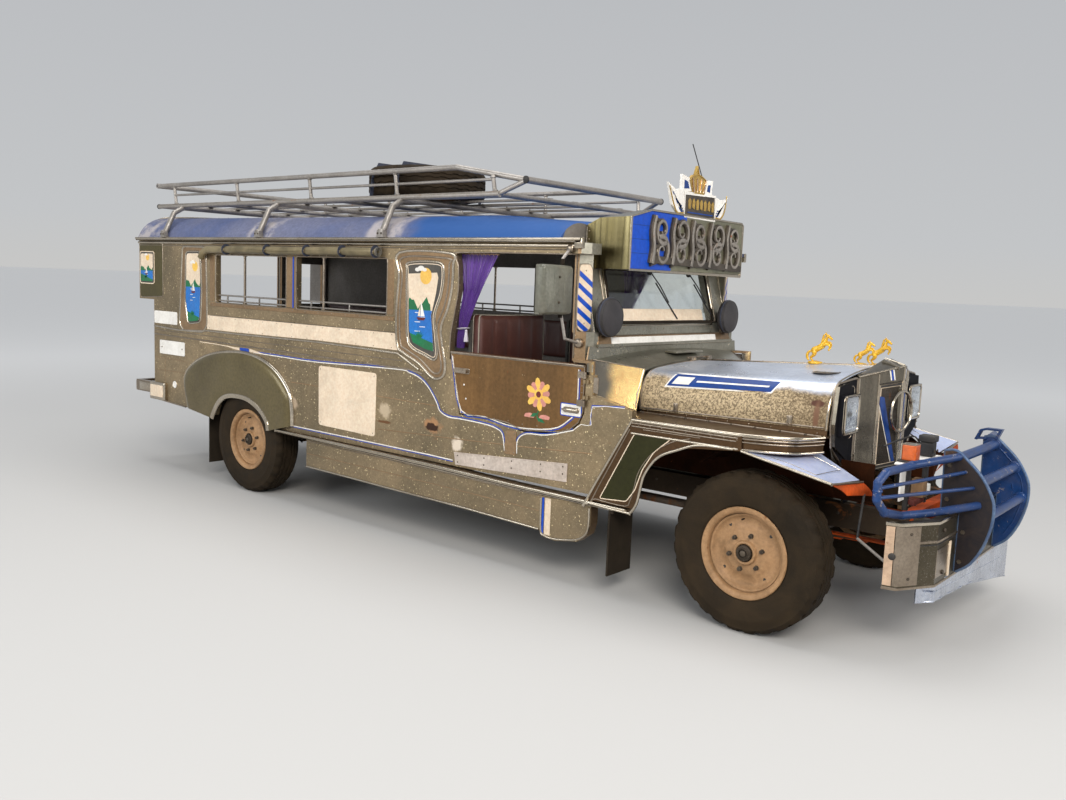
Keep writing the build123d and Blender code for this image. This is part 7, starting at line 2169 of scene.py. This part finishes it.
w.lathe([(30, 21), (30, 27), (27, 30), (25, 29)], CEN, AX, "chrome", 32, True)
for ang in (90, 210, 330):
    d = U * math.cos(math.radians(ang)) + V * math.sin(math.radians(ang))
    ribbon(w, [CEN + d * 40 + AX * 8, CEN + d * 110 + AX * 9, CEN + d * 182 + AX * 6], 30, 20, 5, "worn_chrome", AX)
    for f in (70, 110, 150):
        w.lathe([(6, 0), (6, 5.6), (4, 5.8)], CEN + d * f + AX * 9, AX, "black", 14)
w.done(40)

n_ = Piece("cabin_trim", "root", "polished_steel")
for s in (1, -1):
    rail = [(-2150, s * 470, 1800), (-2150, s * 470, 1852), (-2180, s * 470, 1872)] + [(-5100, s * 470, 1872), (-5130, s * 470, 1852), (-5130, s * 470, 1800)]
    n_.tube([(-2120, s * 470, 1850), (-5160, s * 470, 1856)], 13, "worn_chrome", 14)
    for x in (-2150, -2900, -3650, -4400, -5130):
        n_.tube([(x, s * 470, 1850), (x, s * 470, 1862), (x, s * 470, roof_z(x, 470) - 30)], 9, "worn_chrome", 10)
        n_.lathe([(24, 0), (24, -4), (14, -8), (9, -8)], (x, s * 470, roof_z(x, 470) - 29), (0, 0, 1), "worn_chrome", 18, True)
for x in range(-5150, -2000, 525):
    ys = [-800 + k * 1600 / 30 for k in range(31)]
    n_.sweep([(x, y, roof_z(x, y) - 33) for y in ys], [(-18, 0), (18, 0), (12, -10), (-12, -10)], "olive", up=(0, 0, 1))
# ribs of the roof lining between the bows and a long centre lamp housing
for y in (-300, 0, 300):
    n_.bead([(-5150, y, roof_z(-4000, y) - 31), (-2100, y, roof_z(-2100, y) - 31)], 26, 4, (0, 0, -1), "cream", flat=True)
for x in (-2600, -3600, -4600):
    n_.block(x - 150, x + 150, -35, 35, roof_z(x, 0) - 58, roof_z(x, 0) - 34, "white", 8, 3)
# ribs on the floor of the gangway
for y in range(-390, 391, 60):
    n_.bead([(-2040, y, 645), (-5270, y, 645)], 10, 2.4, (0, 0, 1), "worn_chrome")
for x in (-1500, -1250):
    for s in (1, -1):
        n_.plate(rounded([(x - 110, s * 250), (x + 110, s * 250), (x + 110, s * 640), (x - 110, s * 640)], 24, 3), 645, "rubber", 2, 1, 5)
        for k in range(9):
            n_.bead([(x - 95, s * (280 + k * 42), 650), (x + 95, s * (280 + k * 42), 650)], 9, 2.6, (0, 0, 1), "rubber")
n_.done(38)

# underside: axle bolts, shackles, brake lines
u_ = Piece("underbody_bits", "root", "frame_black")
for ax, lo in ((0, 344), (REAR, 330)):
    for s in (1, -1):
        for dx in (-46, 46):
            u_.tube([(ax + dx, s * 370 - 38, lo), (ax + dx, s * 370 - 38, 458), (ax + dx, s * 370 + 38, 458), (ax + dx, s * 370 + 38, lo)], 6, "nut", 8)
            for dy in (-38, 38):
                u_.bolt((ax + dx, s * 370 + dy, lo + 4), (0, 0, -1), 9, "nut", 9)
        u_.block(ax - 62, ax + 62, s * 370 - 44, s * 370 + 44, lo + 3, lo + 13, "frame", 3)
        for hx in ((-560, 560) if ax == 0 else (REAR - 640, REAR + 640)):
            u_.lathe([(15, -44), (15, 44), (11, 47), (0.001, 48)], (hx, s * 370, 451), (0, 1, 0), "nut", 16)
for s in (1, -1):
    for x in range(-5200, 300, 260):
        u_.rivet((x, s * 400, 560), (0, s, 0), 9, "nut")
u_.tube(curve([(180, 330, 590), (-600, 330, 585), (-2200, 330, 585), (-3900, 330, 585), (-4080, 200, 560), (-4120, 60, 470)], 4), 5, "worn_chrome", 8)
u_.done(40)


# ---------------------------------------------------------------------------
# Hood hinge (its CAD solid is replaced by the pressed skin)
# ---------------------------------------------------------------------------
hh = Piece("hood_hinge", "hood_lid", "hood_steel")
for y0, y1 in ((-130, -46), (-42, 42), (46, 130)):
    hh.lathe([(0.001, y0), (5.6, y0 + 0.5), (6, y0 + 2), (6, y1 - 2), (5.6, y1 - 0.5), (0.001, y1)], (-789, 0, 1226), (0, 1, 0), "worn_chrome", 18)
for y in (-90, 90):
    hh.plate(rounded([(-786, y - 20), (-766, y - 20), (-766, y + 20), (-786, y + 20)], 3, 2), 1203, "worn_chrome", 2, 1, 27, 1.5)
    for dy in (-11, 11):
        hh.rivet((-774, y + dy, 1230), (0, 0, 1), 3.5)
hh.done(36)


# ---------------------------------------------------------------------------
# Cushions: crowned forms, sides drawn in between the corners, sewn channels
# ---------------------------------------------------------------------------
def cushion(name, x0, x1, y0, y1, z0, z1, face, along, pitch, pipe=True):
    """face: the axis and sign of the sitting side; along: the axis across which the channels are sewn."""
    lo, hi = Vector((x0, min(y0, y1), z0)), Vector((x1, max(y0, y1), z1))
    c, half = (lo + hi) / 2, (hi - lo) / 2
    fa, fs = face
    others = [k for k in range(3) if k != fa]
    across = [k for k in others if k != along][0]
    r = min(26.0, half[fa] * 0.62, half[across] * 0.62)
    crown = 11.0
    n_ch = max(2, round(half[along] * 2 / pitch))
    step = half[along] * 2 / n_ch
    div = [0, 0, 0]
    div[along] = n_ch * 8
    div[across] = 12
    div[fa] = 6

    def shape(q):
        p = Vector([q[k] * (half[k] - 1.0) for k in range(3)])
        core = Vector([max(-(half[k] - 1 - r), min(half[k] - 1 - r, p[k])) for k in range(3)])
        d = p - core
        if d.length > 1e-6:
            p = core + d.normalized() * r
            nn = d.normalized()
        else:
            nn = Vector((0, 0, 0))
        ra, rc, rf = (p[k] / half[k] for k in (along, across, fa))
        dome = max(0.0, 1 - ra * ra) ** 0.5 * max(0.0, 1 - rc * rc) ** 0.7
        off = Vector((0, 0, 0))
        t = (p[along] + half[along]) / step
        g = abs(t - round(t)) * step
        inner = 1 - min(1.0, abs(abs(p[along]) - half[along]) / 8 < 1)
        puff = 1 - math.exp(-(g / 15.0) ** 2)
        edge_near = max(0.0, 1 - (abs(p[along]) / half[along]) ** 10)
        if nn[fa] * fs > 0.35:
            off[fa] += fs * (dome * crown - crown - (1 - puff) * 7.0 * edge_near * max(0.0, 1 - rc ** 8))
            off[fa] += fs * 1.2 * math.sin(p[along] * 0.021 + c.y) * dome
        elif nn[fa] * fs > -0.3:
            off[fa] -= fs * crown * 0.5 * max(0.0, rf * fs)
            off[across] -= (1 if rc > 0 else -1) * (1 - puff) * 2.5 * edge_near if abs(rc) > 0.9 else 0
        # sides drawn in between the corners
        off[across] -= rc * 4.0 * max(0.0, 1 - ra * ra) * (1 - 0.6 * abs(rf))
        off[along] -= (1 if ra > 0 else -1) * 3.5 * max(0.0, 1 - rc * rc) * (abs(ra) > 0.97)
        return c + p + off

    index, verts, faces = {}, [], []

    def key(i, j, k):
        if (i, j, k) not in index:
            index[(i, j, k)] = len(verts)
            verts.append(shape((2 * i / div[0] - 1, 2 * j / div[1] - 1, 2 * k / div[2] - 1)))
        return index[(i, j, k)]

    for ax in range(3):
        u, w = [k for k in range(3) if k != ax]
        for end in (0, div[ax]):
            for i in range(div[u]):
                for j in range(div[w]):
                    quad = []
                    for di, dj in ((0, 0), (1, 0), (1, 1), (0, 1)):
                        ijk = [0, 0, 0]
                        ijk[ax], ijk[u], ijk[w] = end, i + di, j + dj
                        quad.append(key(*ijk))
                    faces.append(tuple(quad))
    m = Piece(name, "root", "seat_vinyl")
    m.add(verts, faces, "vinyl")
    if pipe:
        def ring(level, grow):
            out = rounded([(-half[along], -half[across]), (half[along], -half[across]), (half[along], half[across]), (-half[along], half[across])], r, 5)
            pts = []
            for a, b in out:
                p = [0, 0, 0]
                ra, rc = a / half[along], b / half[across]
                p[along] = a * (1 - 2.0 / half[along])
                p[across] = b * (1 - (2.0 + 3.2 * max(0.0, 1 - ra * ra)) / half[across])
                p[fa] = level
                pts.append(c + Vector(p))
            full = []
            for p, q in zip(pts, pts[1:] + pts[:1]):
                nseg = max(1, int((q - p).length // 90))
                for i in range(nseg):
                    w = p.lerp(q, i / nseg)
                    ra = (w[along] - c[along]) / half[along]
                    if nseg > 1 and abs((w[across] - c[across])) > half[across] * 0.9:
                        sgn = 1 if w[across] > c[across] else -1
                        w[across] = c[across] + sgn * (half[across] - 2.0 - 3.6 * max(0.0, 1 - ra * ra))
                    full.append(w)
            return full
        top = fs * (half[fa] - crown - r * 0.42)
        m.tube(ring(top, 0), 3.4, "piping", 6, closed=True)
        m.tube(ring(-fs * (half[fa] - r * 0.5), 0), 3.0, "piping", 6, closed=True)
    o = m.done(50)
    return o


pads = []
for side, s in SIDES:
    pads.append(cushion(side + "_bench_pad", -5225, -2065, s * 497, s * 826, 931, 1009, (2, 1), 0, 132))
    pads.append(cushion(side + "_bench_back", -5225, -2065, s * 798, s * 831, 1062, 1338, (1, -s), 0, 132, False))
    pads.append(cushion(side + "_front_seat_pad", -1836, -1392, s * 168, s * 772, 902, 1009, (2, 1), 1, 120))
    pads.append(cushion(side + "_front_seat_back", -1883, -1802, s * 168, s * 772, 1022, 1418, (0, 1), 1, 120))
for o in pads:
    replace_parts(o, "seat_cushions")


# ---------------------------------------------------------------------------
# Curtains: gathered satin drapes and rolled canvas with its straps
# ---------------------------------------------------------------------------
def at_height(path, z):
    """x of a falling edge at height z."""
    for (xa, za), (xb, zb) in zip(path, path[1:]):
        if za >= z >= zb:
            return xa + (xb - xa) * (za - z) / (za - zb)
    return path[-1][0]


DRAPE_BACK = [(-1932, 1764), (-1904, 1560), (-1931, 1430), (-1949, 1300), (-1948, 1216)]
DRAPE_FRONT = [(-1652, 1764), (-1801, 1500), (-1881, 1330), (-1901, 1216)]
soft = []
for side, s in SIDES:
    d = Piece(side + "_drape", "root", "curtain_cloth")

    def fall(u, v, s=s):
        z = 1763 - 546 * v
        xa, xb = at_height(DRAPE_BACK, z), at_height(DRAPE_FRONT, z)
        wide = (xb - xa) / 280.0
        tie = math.exp(-((z - 1330) / 40.0) ** 2)
        amp = (9.0 + 3.0 * math.sin(u * 17 + 1)) * (1 - 0.45 * tie)
        ph = 2 * math.pi * 8.5 * u + 0.5 * math.sin(5 * v + 9 * u)
        y = 814 + amp * math.sin(ph)
        x = xa + (xb - xa) * (u + 0.020 * math.sin(2 * ph))
        hem = 3 * math.sin(ph * 0.5) * max(0.0, v - 0.9) * 10
        return x, s * y, z + hem * 0.6
    d.grid(fall, 136, 48, "satin")
    o = d.done(180)
    soft.append((o, "drape"))
    h = Piece(side + "_drape_fittings", "root", "curtain_cloth")
    h.tube([(-1944, s * 814, 1768), (-1640, s * 814, 1768)], 4.5, "brass", 10)
    for k in range(10):
        x = -1928 + k * 31
        h.lathe([(7.6, -1.6), (9.4, -1.6), (9.4, 1.6), (7.6, 1.6)], (x, s * 814, 1764), (1, 0, 0.1), "brass", 14, True)
    # tie-back band and its tassel
    band = rounded([(-1940, 799), (-1876, 799), (-1876, 829), (-1940, 829)], 12, 4)
    h.sweep([(x, s * y, 1332 + (x + 1908) * 0.12) for x, y in band], [(-11, -2), (11, -2), (9, 2), (-9, 2)], "tassel", True)
    h.lathe([(2, 10), (7, 6), (9, 0), (6, -5), (8, -8), (12, -40), (13, -62), (0.001, -63)], (-1880, s * 818, 1318), (0, 0, 1), "tassel", 16,
            ripple=lambda k, j, r, h_: (r * (1 + 0.12 * (k % 2)) if j > 4 else r, h_))
    h.done(40)

ROLL = 5.0
for side, s in SIDES:
    w = Piece(side + "_rain_curtain", "root", "curtain_cloth")
    line = [(-2562, 912, 1768), (-2700, 912, 1767), (-3100, 912, 1769), (-3500, 912, 1766), (-3900, 912, 1769), (-4300, 912, 1767), (-4470, 912, 1764),
            (-4525, 913, 1742), (-4556, 914, 1706)]
    axis_pts = [Vector(q) for q in curve([(x, s * y, z) for x, y, z in line], 9)]
    NP = len(axis_pts)
    STRAP = (-2592, -2912, -3296, -3736, -4210)

    def spiral(u, v, s=s, axis_pts=axis_pts, NP=NP):
        k = min(NP - 1, int(round(v * (NP - 1))))
        p = axis_pts[k]
        t = (axis_pts[min(k + 1, NP - 1)] - axis_pts[max(k - 1, 0)]).normalized()
        a = Vector((0, s, 0))
        b = t.cross(a).normalized()
        a = b.cross(t)
        pinch = 1.0
        for q in STRAP:
            pinch -= 0.17 * math.exp(-((p.x - q) / 26.0) ** 2)
        lump = 1 + 0.045 * math.sin(p.x * 0.034 + 3 * u) * math.sin(p.x * 0.011 + 1.7)
        ang = 2 * math.pi * ROLL * u + 0.35 * math.sin(p.x * 0.004)
        rr = (5.0 + 24.6 * u) * (1 - (1 - pinch) * min(1.0, u * 1.3)) * (1 + (lump - 1) * u)
        return p + a * (rr * math.cos(ang) * 0.98) + b * rr * math.sin(ang)
    w.grid(spiral, 130, NP - 1, "canvas")
    o = w.done(180)
    soft.append((o, "roll"))
    g = Piece(side + "_curtain_straps", "root", "curtain_cloth")
    for q in STRAP:
        k = min(range(NP), key=lambda i: abs(axis_pts[i].x - q))
        p = axis_pts[k]
        ring_pts = [p + Vector((0, s * 26.6 * math.cos(2 * math.pi * j / 28), 26.6 * math.sin(2 * math.pi * j / 28))) for j in range(28)]
        g.sweep(ring_pts, [(-13, -1), (13, -1), (13, 1.6), (-13, 1.6)], "strap", True)
        g.block(p.x - 9, p.x + 9, s * (912 + 25.5), s * (912 + 30.5), 1752, 1772, "worn_chrome", 2)
    # grey hem at the front end of the roll
    p = axis_pts[0]
    for rr in (12, 18, 24, 28.5):
        g.lathe([(rr, -1), (rr + 1.2, -1), (rr + 1.2, 1), (rr, 1)], p, (1, 0, 0), "canvas_end", 28, True)
    g.done(40)


for o, kind in soft:
    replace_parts(o, "curtains")


# ---------------------------------------------------------------------------
# Stage: pale floor, soft studio light
# ---------------------------------------------------------------------------
def studio():
    me = bpy.data.meshes.new("studio_floor")
    pts, faces = [], []
    n = 24
    for i in range(n + 1):
        for j in range(n + 1):
            pts.append((-300 + 600 * i / n, -300 + 600 * j / n, 0))
    for i in range(n):
        for j in range(n):
            a = i * (n + 1) + j
            faces.append((a, a + n + 1, a + n + 2, a + 1))
    me.from_pydata(pts, [], faces)
    mat = bpy.data.materials.new("studio_floor")
    mat.use_nodes = True
    b = mat.node_tree.nodes["Principled BSDF"]
    b.inputs["Base Color"].default_value = (0.47, 0.462, 0.45, 1)
    b.inputs["Roughness"].default_value = 0.85
    b.inputs["Specular IOR Level"].default_value = 0.2
    nt = mat.node_tree
    co = nt.nodes.new("ShaderNodeTexCoord")
    far = nt.nodes.new("ShaderNodeVectorMath")
    far.operation = "LENGTH"
    nt.links.new(co.outputs["Object"], far.inputs[0])
    glow = nt.nodes.new("ShaderNodeMapRange")
    glow.interpolation_type = "SMOOTHSTEP"
    for k, v in (("From Min", 3.5), ("From Max", 14.0), ("To Min", 0.0), ("To Max", 0.30)):
        glow.inputs[k].default_value = v
    nt.links.new(far.outputs["Value"], glow.inputs["Value"])
    b.inputs["Emission Color"].default_value = (0.96, 0.98, 1.0, 1)
    nt.links.new(glow.outputs[0], b.inputs["Emission Strength"])
    me.materials.append(mat)
    floor = bpy.data.objects.new("studio_floor", me)
    bpy.context.scene.collection.objects.link(floor)

    world = bpy.data.worlds.new("studio")
    bpy.context.scene.world = world
    world.use_nodes = True
    nt = world.node_tree
    bg = nt.nodes["Background"]
    geo = nt.nodes.new("ShaderNodeTexCoord")
    sep = nt.nodes.new("ShaderNodeSeparateXYZ")
    nt.links.new(geo.outputs["Generated"], sep.inputs[0])
    ramp = nt.nodes.new("ShaderNodeValToRGB")
    nt.links.new(sep.outputs[2], ramp.inputs[0])
    cr = ramp.color_ramp
    cr.elements[0].position, cr.elements[0].color = 0.0, (0.92, 0.92, 0.91, 1)
    cr.elements[1].position, cr.elements[1].color = 0.05, (0.88, 0.90, 0.92, 1)
    for pos, col in ((0.22, (0.82, 0.84, 0.87, 1)), (0.50, (0.70, 0.73, 0.77, 1)), (1.0, (0.68, 0.72, 0.78, 1))):
        e = cr.elements.new(pos)
        e.color = col
    nt.links.new(ramp.outputs[0], bg.inputs[0])
    bg.inputs[1].default_value = 0.62
    bpy.context.scene.view_settings.view_transform = "Standard"

    def area(name, loc, aim, size, power, color=(1, 1, 1)):
        li = bpy.data.lights.new(name, "AREA")
        li.shape = "RECTANGLE"
        li.size, li.size_y = size
        li.energy = power
        li.color = color
        o = bpy.data.objects.new(name, li)
        o.location = loc
        o.rotation_euler = (Vector(aim) - Vector(loc)).to_track_quat("-Z", "Y").to_euler()
        bpy.context.scene.collection.objects.link(o)
    area("key", (9.0, -9.0, 8.0), (0, 0, 1), (6, 4), 1350, (1, 0.96, 0.90))
    area("side", (-4.0, -12.0, 5.0), (-1, 0, 1), (10, 4), 700, (0.95, 0.98, 1))
    area("top", (0, 0, 9.0), (0, 0, 0), (10, 6), 600)
    area("front", (12.0, 3.0, 4.5), (0, 0, 1.2), (5, 4), 420, (1, 0.98, 0.95))


studio()
